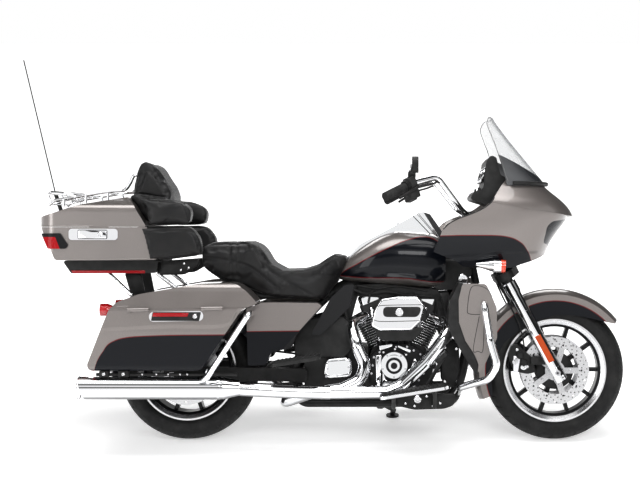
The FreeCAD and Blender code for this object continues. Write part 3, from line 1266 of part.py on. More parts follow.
def rocker_cover(side):
    axis = cylinder_axis(side)
    base = boxed(ROCKER_WIDTH, ROCKER_DEPTH, ROCKER_LENGTH, ROCKER_WIDTH * 0.2)
    edges = [e for e in base.Edges if e.BoundBox.ZMin > ROCKER_LENGTH * 0.9]
    base = base.makeFillet(ROCKER_LENGTH * 0.3, edges)
    base = turned(base, V(0, 0, 0), Y_AXIS, side * CYLINDER_ANGLE_DEG)
    at = V(CRANK_X, 0, CRANK_Z) + axis * (BARREL_START + BARREL_LENGTH + HEAD_LENGTH)
    return moved(base, at.x, at.y, at.z)


def engine():
    case = prism_y(outline(CRANKCASE_SHARES, CRANKCASE_ORIGIN, CRANKCASE_SIZE), -CASE_HALF_WIDTH, CASE_HALF_WIDTH)
    decks = []
    for side in (-1, 1):
        axis = cylinder_axis(side)
        crank = V(CRANK_X, 0, CRANK_Z)
        decks.append(cylinder(crank, crank + axis * BARREL_START, FIN_RADIUS * 0.93))
    case = fused([case] + decks)
    chest = prism_y(outline(CAM_CHEST_SHARES, CAM_CHEST_ORIGIN, CAM_CHEST_SIZE),
                    -CASE_HALF_WIDTH - CHEST_DEPTH, -CASE_HALF_WIDTH)
    cam_at = (CAM_COVER_AT[0], -CASE_HALF_WIDTH - CHEST_DEPTH, CAM_COVER_AT[1])
    cam = Part.makeCylinder(CAM_COVER_RADIUS, CAM_COVER_DEPTH, V(*cam_at), V(0, -1, 0))
    rim_ring = Part.makeCylinder(CAM_COVER_RADIUS * 0.78, CAM_COVER_DEPTH * 0.3,
                                 V(cam_at[0], cam_at[1] - CAM_COVER_DEPTH, cam_at[2]), V(0, -1, 0))
    dish = Part.makeCylinder(CAM_COVER_RADIUS * 0.62, CAM_COVER_DEPTH * 0.5,
                             V(cam_at[0], cam_at[1] - CAM_COVER_DEPTH * 1.3 - OVERRUN, cam_at[2]),
                             V(0, 1, 0) )
    knob = Part.makeCylinder(CAM_COVER_RADIUS * 0.42, CAM_COVER_DEPTH * 0.34,
                             V(cam_at[0], cam_at[1] - CAM_COVER_DEPTH, cam_at[2]), V(0, -1, 0))
    cam = cam.fuse(rim_ring).cut(dish).fuse(knob).removeSplitter()
    rods = []
    for side in (-1, 1):
        axis = cylinder_axis(side)
        for k in (0, 1):
            foot = V(CAM_COVER_AT[0] + side * (ROD_SPACING * (k + 0.6)), -CASE_HALF_WIDTH - CHEST_DEPTH / 2,
                     CAM_CHEST_ORIGIN[1] + CAM_CHEST_SIZE[1] * 0.86)
            top = V(CRANK_X, 0, CRANK_Z) + axis * (BARREL_START + BARREL_LENGTH + HEAD_LENGTH * 0.5)
            top = V(top.x + (k - 0.5) * ROD_SPACING * side, -HEAD_SIZE / 2 - ROD_RADIUS * 0.2, top.z)
            rods.append(cylinder(foot, top, ROD_RADIUS))
            block_top = foot + (top - foot).normalize() * TAPPET_LENGTH
            rods.append(cylinder(foot, block_top, ROD_RADIUS * 1.7))
    primary = prism_y(outline(PRIMARY_SHARES, PRIMARY_ORIGIN, PRIMARY_SIZE), CASE_HALF_WIDTH,
                      CASE_HALF_WIDTH + PRIMARY_DEPTH)
    edges = [e for e in primary.Edges if e.BoundBox.YMin > CASE_HALF_WIDTH + PRIMARY_DEPTH * 0.9]
    primary = primary.makeFillet(PRIMARY_DEPTH * 0.3, edges)
    derby = cylinder((DERBY_AT[0], CASE_HALF_WIDTH + PRIMARY_DEPTH, DERBY_AT[1]),
                     (DERBY_AT[0], CASE_HALF_WIDTH + PRIMARY_DEPTH + DERBY_DEPTH, DERBY_AT[1]), DERBY_RADIUS)
    gearbox = prism_y(outline(GEARBOX_SHARES, GEARBOX_ORIGIN, GEARBOX_SIZE), -GEARBOX_HALF, CASE_HALF_WIDTH)
    x0, z0 = GEARBOX_COVER_ORIGIN
    w, h = GEARBOX_COVER_SIZE
    cover_points = [(x0, z0, h * 0.3), (x0 + w, z0 + h * 0.1, h * 0.3), (x0 + w, z0 + h, h * 0.3),
                    (x0 + w * 0.1, z0 + h * 0.9, h * 0.3)]
    cover = prism_y(cover_points, -GEARBOX_HALF - GEARBOX_COVER_DEPTH, -GEARBOX_HALF)
    edges = [e for e in cover.Edges if e.BoundBox.YMax < -GEARBOX_HALF - GEARBOX_COVER_DEPTH * 0.9]
    cover = cover.makeFillet(GEARBOX_COVER_DEPTH * 0.35, edges)
    cleaner = prism_y(outline(AIR_CLEANER_SHARES, AIR_CLEANER_ORIGIN, AIR_CLEANER_SIZE),
                      -AIR_CLEANER_OUTER, -AIR_CLEANER_INNER)
    edges = [e for e in cleaner.Edges if e.BoundBox.YMax < -AIR_CLEANER_OUTER + AIR_CLEANER_INNER * 0.1]
    cleaner = cleaner.makeFillet(AIR_CLEANER_EDGE, edges)
    elbow_z = AIR_CLEANER_ORIGIN[1] + AIR_CLEANER_SIZE[1] / 2
    elbow = cylinder((CRANK_X, 0, elbow_z), (CRANK_X, -AIR_CLEANER_INNER, elbow_z), INTAKE_RADIUS)
    return {
        "crankcase": case,
        "cylinders": Part.makeCompound([jug(-1), jug(1)]),
        "rocker_covers": Part.makeCompound([rocker_cover(-1), rocker_cover(1)]),
        "intake": elbow,
        "air_cleaner": cleaner,
        "cam_cover": fused([chest, cam]),
        "pushrod_tubes": fused(rods),
        "primary_cover": fused([primary, derby]),
        "gearbox": gearbox,
        "gearbox_cover": cover,
    }


def pipe(shares, origin, size, radius, bend):
    return tube(route(shares, origin, size), radius, bend)


def exhaust():
    front = pipe(FRONT_PIPE_PATH_SHARES, FRONT_PIPE_PATH_ORIGIN, FRONT_PIPE_PATH_SIZE, PIPE_RADIUS, PIPE_BEND)
    rear = pipe(REAR_PIPE_PATH_SHARES, REAR_PIPE_PATH_ORIGIN, REAR_PIPE_PATH_SIZE, PIPE_RADIUS, PIPE_BEND)
    main = pipe(MAIN_PIPE_PATH_SHARES, MAIN_PIPE_PATH_ORIGIN, MAIN_PIPE_PATH_SIZE, PIPE_RADIUS * 1.1, PIPE_BEND)
    cross = pipe(CROSS_PIPE_PATH_SHARES, CROSS_PIPE_PATH_ORIGIN, CROSS_PIPE_PATH_SIZE, PIPE_RADIUS * 0.9,
                 PIPE_BEND)
    start, end = V(*MUFFLER_FRONT), V(*MUFFLER_REAR)
    axis = (end - start).normalize()
    can = cylinder(start, end, MUFFLER_RADIUS)
    cone_end = start - axis * MUFFLER_CONE
    cone = Part.makeCone(PIPE_RADIUS * 1.15, MUFFLER_RADIUS, MUFFLER_CONE, cone_end, axis)
    outlet = cylinder(end - axis * MUFFLER_OUTLET_DEPTH, end + axis * OVERRUN, MUFFLER_RADIUS - PIPE_WALL)
    slash = [(end.x - OVERRUN, end.z - MUFFLER_RADIUS - OVERRUN, 0), (end.x - OVERRUN, end.z + MUFFLER_RADIUS + OVERRUN, 0),
             (end.x, end.z + MUFFLER_RADIUS + OVERRUN, 0), (end.x + MUFFLER_SLASH, end.z - MUFFLER_RADIUS - OVERRUN, 0)]
    wedge = prism_y(slash, end.y - MUFFLER_RADIUS * 2, end.y + MUFFLER_RADIUS * 2)
    muffler = can.fuse(cone).cut(outlet).cut(wedge)
    return {"mufflers": both_sides(muffler), "exhaust_pipes": fused([front, rear, main, cross])}


# Tank, console and seat

def oval(x, z_low, z_high, half, square):
    """Smooth closed cross section of the tank at x; square sets how full its corners are."""
    mid, h = (z_low + z_high) / 2, (z_high - z_low) / 2
    points = []
    for i in range(TANK_SECTION_POINTS):
        a = 2 * math.pi * i / TANK_SECTION_POINTS
        c, s = math.cos(a), math.sin(a)
        y = half * math.copysign(abs(c) ** square, c)
        points.append(V(x, y, mid + h * math.copysign(abs(s) ** square, s)))
    curve = Part.BSplineCurve()
    curve.interpolate(points, PeriodicFlag=True)
    return Part.Wire(curve.toShape())


def fuel_tank():
    sections = []
    for u, low, high, half in TANK_SECTION_SHARES:
        sections.append(oval(TANK_REAR_X + u * TANK_LENGTH, TANK_BOTTOM_Z + low * TANK_HEIGHT,
                             TANK_BOTTOM_Z + high * TANK_HEIGHT, half * TANK_HALF_WIDTH, TANK_CORNER_POWER))
    body = loft(sections)
    tunnel_half = BACKBONE_RADIUS + TUNNEL_GAP
    tunnel = Part.makeBox(TANK_LENGTH * 2, tunnel_half * 2, TANK_HEIGHT, V(TANK_REAR_X - TANK_LENGTH / 2, -tunnel_half,
                          TANK_BOTTOM_Z + TUNNEL_TOP - TANK_HEIGHT))
    return body.cut(tunnel)


def console():
    points = outline(CONSOLE_SHARES, CONSOLE_ORIGIN, CONSOLE_SIZE)
    whole = prism_y(points, -CONSOLE_HALF, CONSOLE_HALF)
    plan = [(CONSOLE_ORIGIN[0] - OVERRUN, -CONSOLE_HALF * 0.4, CONSOLE_HALF * 0.2),
            (CONSOLE_ORIGIN[0] + CONSOLE_SIZE[0] * 0.5, -CONSOLE_HALF, CONSOLE_HALF),
            (CONSOLE_ORIGIN[0] + CONSOLE_SIZE[0] + OVERRUN, -CONSOLE_HALF * 0.8, CONSOLE_HALF * 0.2),
            (CONSOLE_ORIGIN[0] + CONSOLE_SIZE[0] + OVERRUN, CONSOLE_HALF * 0.8, CONSOLE_HALF * 0.2),
            (CONSOLE_ORIGIN[0] + CONSOLE_SIZE[0] * 0.5, CONSOLE_HALF, CONSOLE_HALF),
            (CONSOLE_ORIGIN[0] - OVERRUN, CONSOLE_HALF * 0.4, CONSOLE_HALF * 0.2)]
    top = CONSOLE_ORIGIN[1] + CONSOLE_SIZE[1]
    whole = whole.common(prism_z(plan, CONSOLE_ORIGIN[1] - OVERRUN, top + OVERRUN))
    hinge = V(DOOR_HINGE[0], 0, DOOR_HINGE[1])
    slope = math.radians(DOOR_SLOPE_DEG)
    down = V(-math.cos(slope), 0, -math.sin(slope))
    up = V(-math.sin(slope), 0, math.cos(slope))
    slab = boxed(DOOR_LENGTH, DOOR_HALF * 2, DOOR_THICKNESS * 6, DOOR_HALF * 0.5)
    well = boxed(DOOR_LENGTH + DOOR_GAP * 2, (DOOR_HALF + DOOR_GAP) * 2, DOOR_THICKNESS * 6, DOOR_HALF * 0.5)
    centre = hinge + down * (DOOR_LENGTH / 2 + DOOR_KNUCKLE_RADIUS + DOOR_GAP * 2)
    low = centre - up * DOOR_DEPTH
    door_cut = moved(turned(slab, V(0, 0, 0), Y_AXIS, -DOOR_SLOPE_DEG), low.x, 0, low.z)
    well_low = low - up * DOOR_GAP
    well_cut = moved(turned(well, V(0, 0, 0), Y_AXIS, -DOOR_SLOPE_DEG), well_low.x, 0, well_low.z)
    door = whole.common(door_cut)
    body = whole.cut(well_cut)
    knuckle = cylinder(hinge - Y_AXIS * DOOR_KNUCKLE_HALF, hinge + Y_AXIS * DOOR_KNUCKLE_HALF, DOOR_KNUCKLE_RADIUS)
    arm = Part.makeBox(DOOR_DEPTH, DOOR_KNUCKLE_HALF * 2, DOOR_DEPTH * 0.8, V(-DOOR_DEPTH, -DOOR_KNUCKLE_HALF, -DOOR_DEPTH * 0.8))
    arm = moved(turned(arm, V(0, 0, 0), Y_AXIS, -DOOR_SLOPE_DEG), hinge.x, 0, hinge.z)
    pin_half = DOOR_KNUCKLE_HALF + DOOR_EAR + HINGE_GAP
    bore = cylinder(hinge - Y_AXIS * pin_half, hinge + Y_AXIS * pin_half, DOOR_PIN_RADIUS + RUNNING_CLEARANCE)
    pin = cylinder(hinge - Y_AXIS * pin_half, hinge + Y_AXIS * pin_half, DOOR_PIN_RADIUS)
    room = cylinder(hinge - Y_AXIS * (DOOR_KNUCKLE_HALF + HINGE_GAP), hinge + Y_AXIS * (DOOR_KNUCKLE_HALF + HINGE_GAP),
                    DOOR_DEPTH + DOOR_GAP)
    body = body.cut(room)
    for side in (-1, 1):
        near = hinge + Y_AXIS * (side * (DOOR_KNUCKLE_HALF + HINGE_GAP))
        ear = cylinder(near, near + Y_AXIS * (side * DOOR_EAR), DOOR_KNUCKLE_RADIUS)
        foot = Part.makeBox(DOOR_KNUCKLE_RADIUS * 2, DOOR_EAR, DOOR_DEPTH, V(-DOOR_KNUCKLE_RADIUS, 0, -DOOR_DEPTH))
        low_y = min(near.y, near.y + side * DOOR_EAR)
        body = body.fuse(ear).fuse(moved(foot, hinge.x + DOOR_KNUCKLE_RADIUS, low_y, hinge.z))
    body = body.fuse(pin).removeSplitter()
    return body, door.fuse(arm).fuse(knuckle).removeSplitter().cut(bore), hinge, up


def seat():
    side = prism_y(outline(SEAT_SIDE_SHARES, SEAT_SIDE_ORIGIN, SEAT_SIDE_SIZE), -SEAT_HALF, SEAT_HALF)
    plan = []
    for u, v, r in SEAT_PLAN_SHARES:
        plan.append((SEAT_SIDE_ORIGIN[0] + u * SEAT_SIDE_SIZE[0], v * SEAT_HALF, r * SEAT_HALF))
    plan += [(x, -y, r) for x, y, r in reversed(plan)]
    low = SEAT_SIDE_ORIGIN[1] - OVERRUN
    return side.common(prism_z(plan, low, low + SEAT_SIDE_SIZE[1] + OVERRUN * 2))


# Panniers and top case

def bag_shell():
    """Whole left pannier, hollow, before its lid is parted off."""
    points = outline(BAG_OUTLINE_SHARES, BAG_ORIGIN, BAG_SIZE)
    outer = rounded_bag(points, BAG_INNER_Y, BAG_OUTER_Y, 0.0)
    inner = rounded_bag(inset(points, BAG_WALL), BAG_INNER_Y + BAG_WALL, BAG_OUTER_Y - BAG_WALL, BAG_WALL)
    return outer, inner


def rounded_bag(points, y_in, y_out, shrink):
    body = prism_y(points, y_in, y_out)
    z_low, z_high = BAG_ORIGIN[1] + shrink, BAG_ORIGIN[1] + BAG_SIZE[1] - shrink
    r = BAG_EDGE_RADIUS - shrink
    section = [(y_in, z_low, r * 0.5), (y_out - BAG_TUMBLE, z_low, r), (y_out, z_low + BAG_SIZE[1] * 0.45, r * 3),
               (y_out, z_low + BAG_SIZE[1] * 0.7, r * 3), (y_out - BAG_TUMBLE * 1.6, z_high, r * 1.6), (y_in, z_high, r * 0.5)]
    clip = prism_x(section, BAG_ORIGIN[0] - OVERRUN, BAG_ORIGIN[0] + BAG_SIZE[0] + OVERRUN)
    return body.common(clip)


def bag_split(z_shift):
    """Half space above the seam between pannier and lid, raised by z_shift."""
    x0, x1 = BAG_ORIGIN[0] - OVERRUN, BAG_ORIGIN[0] + BAG_SIZE[0] + OVERRUN
    slope = (BAG_SPLIT_FRONT - BAG_SPLIT_REAR) / BAG_SIZE[0]
    z0 = BAG_SPLIT_REAR - slope * OVERRUN + z_shift
    z1 = BAG_SPLIT_FRONT + slope * OVERRUN + z_shift
    top = BAG_ORIGIN[1] + BAG_SIZE[1] + OVERRUN * 2
    return prism_y([(x0, z0, 0), (x1, z1, 0), (x1, top, 0), (x0, top, 0)], BAG_INNER_Y - OVERRUN, BAG_OUTER_Y + OVERRUN * 2)


def seam_z(x):
    return BAG_SPLIT_REAR + (BAG_SPLIT_FRONT - BAG_SPLIT_REAR) * (x - BAG_ORIGIN[0]) / BAG_SIZE[0]


def hinge_parts(centre_x, y, z_of, z_gap):
    """Pin with two ears and their arms on the fixed side, a knuckle and its arm on the lid side."""
    half = HINGE_KNUCKLE_LENGTH / 2
    a = V(centre_x - half, y, z_of(centre_x - half))
    b = V(centre_x + half, y, z_of(centre_x + half))
    axis = (b - a).normalize()
    ear = HINGE_EAR_LENGTH
    knuckle = cylinder(a, b, HINGE_KNUCKLE_RADIUS)
    bore = cylinder(a - axis * OVERRUN, b + axis * OVERRUN, HINGE_PIN_RADIUS + RUNNING_CLEARANCE)
    pin = cylinder(a - axis * (ear + HINGE_GAP), b + axis * (ear + HINGE_GAP), HINGE_PIN_RADIUS)
    fixed = [pin]
    for start in (a - axis * (ear + HINGE_GAP), b + axis * HINGE_GAP):
        fixed.append(cylinder(start, start + axis * ear, HINGE_KNUCKLE_RADIUS))
        low_z = min(start.z, (start + axis * ear).z)
        fixed.append(Part.makeBox(ear, HINGE_REACH, HINGE_REACH / 2, V(start.x, y - HINGE_REACH, low_z - HINGE_REACH / 2)))
    high_z = max(a.z, b.z) + z_gap
    lid_arm = Part.makeBox(HINGE_KNUCKLE_LENGTH, HINGE_REACH, HINGE_KNUCKLE_RADIUS * 0.8, V(a.x, y - HINGE_REACH, high_z))
    return fused(fixed), knuckle.fuse(lid_arm).cut(bore)


def pannier():
    outer, cavity = bag_shell()
    shell = outer.cut(cavity)
    lid = shell.common(bag_split(LID_GAP))
    body = shell.cut(bag_split(0.0))
    y = BAG_OUTER_Y + HINGE_KNUCKLE_RADIUS + HINGE_GAP
    for x in BAG_HINGE_X:
        fixed, moving = hinge_parts(x, y, seam_z, LID_GAP)
        body = body.fuse(fixed.cut(cavity))
        lid = lid.fuse(moving.cut(cavity))
    return body, lid


def case_plan(shrink):
    points = []
    for u, v, r in CASE_PLAN_SHARES:
        points.append((CASE_REAR_X + u * (CASE_FRONT_X - CASE_REAR_X), v * CASE_HALF_Y, r * CASE_HALF_Y))
    points += [(x, -y, r) for x, y, r in reversed(points)]
    return prism_z(inset(points, shrink) if shrink else points, CASE_BASE_BOTTOM_Z - OVERRUN, CASE_TOP_Z + OVERRUN * 2)


def case_body_form(shrink):
    side = prism_y(outline(CASE_SIDE_SHARES, CASE_SIDE_ORIGIN, CASE_SIDE_SIZE, shrink), -CASE_HALF_Y * 2, CASE_HALF_Y * 2)
    return side.common(case_plan(shrink))


def case_lid_form(shrink):
    side = prism_y(outline(CASE_LID_SIDE_SHARES, CASE_LID_SIDE_ORIGIN, CASE_LID_SIDE_SIZE, shrink),
                   -CASE_HALF_Y * 2, CASE_HALF_Y * 2)
    section = [(v * CASE_HALF_Y, CASE_SPLIT_Z + w * (CASE_TOP_Z - CASE_SPLIT_Z), r * CASE_HALF_Y)
               for v, w, r in CASE_CROWN_SHARES]
    section += [(-y, z, r) for y, z, r in reversed(section)]
    crown = prism_x(inset(section, shrink) if shrink else section, CASE_REAR_X - OVERRUN, CASE_FRONT_X + OVERRUN * 2)
    return side.common(case_plan(shrink)).common(crown)


def case_layer(z_from, z_to):
    span = CASE_HALF_Y * 4
    return Part.makeBox(span, span, z_to - z_from, V(CASE_REAR_X - span / 4, -span / 2, z_from))


def top_case():
    below = case_layer(CASE_BASE_BOTTOM_Z, CASE_SPLIT_Z)
    above = case_layer(CASE_SPLIT_Z + LID_GAP, CASE_TOP_Z + OVERRUN)
    body_outer, body_inner = case_body_form(0.0), case_body_form(CASE_WALL)
    lid_outer, lid_inner = case_lid_form(0.0), case_lid_form(CASE_WALL)
    body = body_outer.cut(body_inner).common(below)
    lid = lid_outer.cut(lid_inner).common(above)
    y = CASE_HALF_Y + HINGE_KNUCKLE_RADIUS + HINGE_GAP
    for x in CASE_HINGE_X:
        fixed, moving = hinge_parts(x, y, lambda q: CASE_SPLIT_Z, LID_GAP)
        body = body.fuse(fixed.cut(body_inner))
        lid = lid.fuse(moving.cut(lid_inner))
    base = prism_y(outline(CASE_BASE_SIDE_SHARES, CASE_BASE_SIDE_ORIGIN, CASE_BASE_SIDE_SIZE),
                   -CASE_BASE_HALF_Y, CASE_BASE_HALF_Y)
    return body, lid, base, body_outer


def case_trim(body_outer):
    """Wrap-around lamps on the rear corners and the latch plate on the right."""
    swollen = case_body_form(-LAMP_PROUD)
    window = prism_y(outline(CASE_LAMP_SHARES, CASE_LAMP_ORIGIN, CASE_LAMP_SIZE), CASE_LAMP_INNER_Y, CASE_HALF_Y * 1.5)
    lamp = swollen.common(window).cut(body_outer)
    x0, z0 = LATCH_ORIGIN
    w, h = LATCH_SIZE
    plate = prism_y([(x0, z0, h * 0.3), (x0 + w, z0, h * 0.3), (x0 + w, z0 + h, h * 0.3), (x0, z0 + h, h * 0.3)],
                    -CASE_HALF_Y - LATCH_PROUD, -CASE_HALF_Y)
    handle = prism_y([(x0 + w * 0.3, z0 + h * 0.3, h * 0.1), (x0 + w * 0.7, z0 + h * 0.3, h * 0.1),
                      (x0 + w * 0.7, z0 + h * 0.7, h * 0.1), (x0 + w * 0.3, z0 + h * 0.7, h * 0.1)],
                     -CASE_HALF_Y - LATCH_PROUD * 2, -CASE_HALF_Y)
    return both_sides(lamp), plate.fuse(handle).removeSplitter()


def lid_furniture():
    wing = prism_y(outline(WING_SIDE_SHARES, WING_SIDE_ORIGIN, WING_SIDE_SIZE), WING_INNER_Y, CASE_HALF_Y + WING_PROUD)
    pad = prism_y(outline(BACKREST_SIDE_SHARES, BACKREST_SIDE_ORIGIN, BACKREST_SIDE_SIZE), -BACKREST_HALF, BACKREST_HALF)
    edges = [e for e in pad.Edges if abs(abs(e.BoundBox.YMin) - BACKREST_HALF) < RUNNING_CLEARANCE
             and abs(e.BoundBox.YMax - e.BoundBox.YMin) < RUNNING_CLEARANCE]
    lumbar = prism_y(outline(LUMBAR_SHARES, LUMBAR_ORIGIN, LUMBAR_SIZE), -WING_INNER_Y, WING_INNER_Y)
    backrest = fused([pad, lumbar, wing, mirrored(wing)])
    rail = tube(route(RACK_RAIL_PATH_SHARES, RACK_RAIL_PATH_ORIGIN, RACK_RAIL_PATH_SIZE), RACK_RADIUS, RACK_RADIUS * 4)
    hoop = route(RACK_HOOP_PATH_SHARES, RACK_HOOP_PATH_ORIGIN, RACK_HOOP_PATH_SIZE)
    far = [(x, -y, z) for x, y, z in hoop[:0:-1]]
    hoop = tube(far + hoop, RACK_RADIUS * 1.3, RACK_RADIUS * 6)
    bars = [rail, mirrored(rail), hoop]
    for u in RACK_BAR_SHARES:
        x = RACK_RAIL_PATH_ORIGIN[0] + u * RACK_RAIL_PATH_SIZE[0]
        z = RACK_RAIL_PATH_ORIGIN[2] + RACK_RAIL_PATH_SIZE[2] * (0.3 + 0.65 * u)
        half = RACK_RAIL_PATH_ORIGIN[1] + RACK_RAIL_PATH_SIZE[1]
        bars.append(cylinder((x, -half, z), (x, half, z), RACK_RADIUS * 0.8))
        for side in (-1, 1):
            bars.append(cylinder((x, side * half, z), (x, side * half, z - RACK_POST), RACK_RADIUS))
    foot, knee, tip = V(*ANTENNA_FOOT), V(*ANTENNA_KNEE), V(*ANTENNA_TIP)
    base = cylinder(foot, knee, ANTENNA_BASE_RADIUS)
    bracket = cylinder(foot, foot + V(OVERRUN * 2, 0, 0), ANTENNA_BASE_RADIUS)
    whip = cylinder(knee, tip, ANTENNA_RADIUS)
    return backrest, fused(bars), fused([base, bracket, whip])


def speaker_pods(case_outer):
    pod = prism_y(outline(SPEAKER_SIDE_SHARES, SPEAKER_SIDE_ORIGIN, SPEAKER_SIDE_SIZE), WING_INNER_Y, CASE_HALF_Y + WING_PROUD)
    return both_sides(largest_parts(pod.cut([case_outer, case_lid_form(-MOVING_GAP * 1.1)])))


# Fairing, windshield and lamps

def fairing_section(z_share, nose_share, width_share, tilt_share, shrink):
    x_nose = FAIRING_REAR_X + FAIRING_LENGTH * nose_share - shrink
    half = FAIRING_HALF * width_share - shrink
    z0 = FAIRING_LOW_Z + FAIRING_HEIGHT * z_share
    x_end = FAIRING_REAR_X + FAIRING_LENGTH
    right = []
    for u, v in FAIRING_PLAN_SHARES:
        right.append((FAIRING_REAR_X + (x_nose - FAIRING_REAR_X) * u, half * v))
    flat = [(x, -y) for x, y in right] + [(x_nose, 0.0)] + [(x, y) for x, y in reversed(right)]
    points = [V(x, y, z0 + tilt_share * (x_end - x)) for x, y in flat]
    curve = Part.BSplineCurve()
    curve.interpolate(points)
    return Part.Wire([curve.toShape(), Part.LineSegment(points[-1], points[0]).toShape()])


def fairing_form(shrink):
    lower = loft([fairing_section(*row, shrink) for row in FAIRING_LOWER_SHARES])
    upper = loft([fairing_section(*row, shrink) for row in FAIRING_UPPER_SHARES])
    return lower.fuse(upper)


def crescent(z, centre_x, edge_x, half, wall):
    outer = Part.Arc(V(edge_x, -half, z), V(centre_x, 0, z), V(edge_x, half, z)).toShape()
    inner = Part.Arc(V(edge_x - wall * 0.3, half - wall, z), V(centre_x - wall, 0, z),
                     V(edge_x - wall * 0.3, -half + wall, z)).toShape()
    ends = [Part.LineSegment(V(edge_x, half, z), V(edge_x - wall * 0.3, half - wall, z)).toShape(),
            Part.LineSegment(V(edge_x - wall * 0.3, -half + wall, z), V(edge_x, -half, z)).toShape()]
    return Part.Wire([outer, ends[0], inner, ends[1]])


def windshield():
    wires = []
    for w, centre, edge, half in SHIELD_SHARES:
        wires.append(crescent(SHIELD_LOW_Z + w * SHIELD_HEIGHT, SHIELD_X + centre * SHIELD_DEPTH,
                              SHIELD_X + edge * SHIELD_DEPTH, half * SHIELD_HALF, SHIELD_WALL))
    sheet = loft(wires)
    top = SHIELD_LOW_Z + SHIELD_HEIGHT
    r = SHIELD_HALF * 0.45
    clip = [(-SHIELD_HALF * 1.2, SHIELD_LOW_Z, 0), (SHIELD_HALF * 1.2, SHIELD_LOW_Z, 0),
            (SHIELD_HALF * 0.92, top, r), (-SHIELD_HALF * 0.92, top, r)]
    return sheet.common(prism_x(clip, SHIELD_X - SHIELD_DEPTH, SHIELD_X + SHIELD_DEPTH * 2))


def lamp_window(grow):
    points = [(y * LAMP_HALF_Y, LAMP_LOW_Z + z * LAMP_HEIGHT, r * LAMP_HEIGHT) for y, z, r in HEADLAMP_SHARES]
    points = inset(points, -grow) if grow else points
    return prism_x(points, FAIRING_REAR_X + FAIRING_LENGTH * 0.5, FAIRING_REAR_X + FAIRING_LENGTH * 1.2)


def fairing():
    profile = prism_y(outline(FAIRING_REAR_SHARES, FAIRING_REAR_ORIGIN, FAIRING_REAR_SIZE), -FAIRING_HALF * 2, FAIRING_HALF * 2)
    outer = fairing_form(0.0)
    middle = fairing_form(FAIRING_WALL)
    windows = lamp_window(0.0)
    windows = windows.fuse(mirrored(windows))
    shell = outer.cut(middle).common(profile).cut(windows)
    lens = fairing_form(LENS_SUNK).cut(fairing_form(LENS_SUNK + LENS_WALL)).common(windows).common(profile)
    behind = lamp_window(LENS_WALL * 2)
    behind = behind.fuse(mirrored(behind))
    backing = middle.cut(fairing_form(FAIRING_WALL * 4)).common(behind).common(profile)
    dash = prism_y(outline(DASH_SIDE_SHARES, DASH_SIDE_ORIGIN, DASH_SIDE_SIZE), -DASH_HALF, DASH_HALF)
    low = DASH_SIDE_ORIGIN[1] + DASH_SIDE_SIZE[1] * DASH_SIDE_SHARES[0][1]
    panel = Part.makeBox(FAIRING_WALL, FAIRING_HALF * 2, FAIRING_HEIGHT, V(INNER_PANEL_X, -FAIRING_HALF, low))
    panel = largest_parts(panel.common(middle).common(profile))
    return shell, lens, backing, dash.fuse(panel).removeSplitter()


def bullet(nose, tail, radius):
    """Turn lamp: a cone behind, a drum with a lens in front."""
    axis = (tail - nose).normalize()
    length = (tail - nose).Length
    drum = cylinder(nose, nose + axis * (length * 0.4), radius)
    cone = Part.makeCone(radius, radius * 0.3, length * 0.6, nose + axis * (length * 0.4), axis)
    return drum.fuse(cone).removeSplitter()


def turn_lamps():
    front = bullet(V(*FRONT_LAMP_NOSE), V(*FRONT_LAMP_TAIL), TURN_LAMP_RADIUS)
    stalk = cylinder(FRONT_LAMP_STALK, (FRONT_LAMP_STALK[0], FRONT_LAMP_NOSE[1], FRONT_LAMP_NOSE[2]), TURN_LAMP_RADIUS * 0.3)
    front = front.fuse(stalk).removeSplitter()
    rear = bullet(V(*REAR_LAMP_NOSE), V(*REAR_LAMP_TAIL), TURN_LAMP_RADIUS)
    mid = (REAR_LAMP_NOSE[0] + REAR_LAMP_TAIL[0]) / 2
    bar = cylinder((mid, -REAR_LAMP_NOSE[1], REAR_LAMP_NOSE[2]), (mid, REAR_LAMP_NOSE[1], REAR_LAMP_NOSE[2]),
                   TURN_LAMP_RADIUS * 0.35)
    return both_sides(front), fused([rear, mirrored(rear), bar])


def lower_fairings():
    outer = hollow_tray(LOWER_OUTER_SHARES, LOWER_OUTER_ORIGIN, LOWER_OUTER_SIZE, LOWER_INNER_Y, LOWER_OUTER_Y, BAG_WALL)
    inner = hollow_tray(LOWER_INNER_SHARES, LOWER_INNER_ORIGIN, LOWER_INNER_SIZE, SHROUD_INNER_Y, LOWER_OUTER_Y - BAG_WALL * 2, BAG_WALL)
    return both_sides(outer), both_sides(inner)


# Boards, pedals, guards and brackets

def board(centre, length, width, thickness, tilt):
    plate = boxed(length, width, thickness, width * 0.3)
    plate = turned(plate, V(0, 0, 0), Y_AXIS, -tilt)
    return moved(plate, centre[0], centre[1], centre[2])


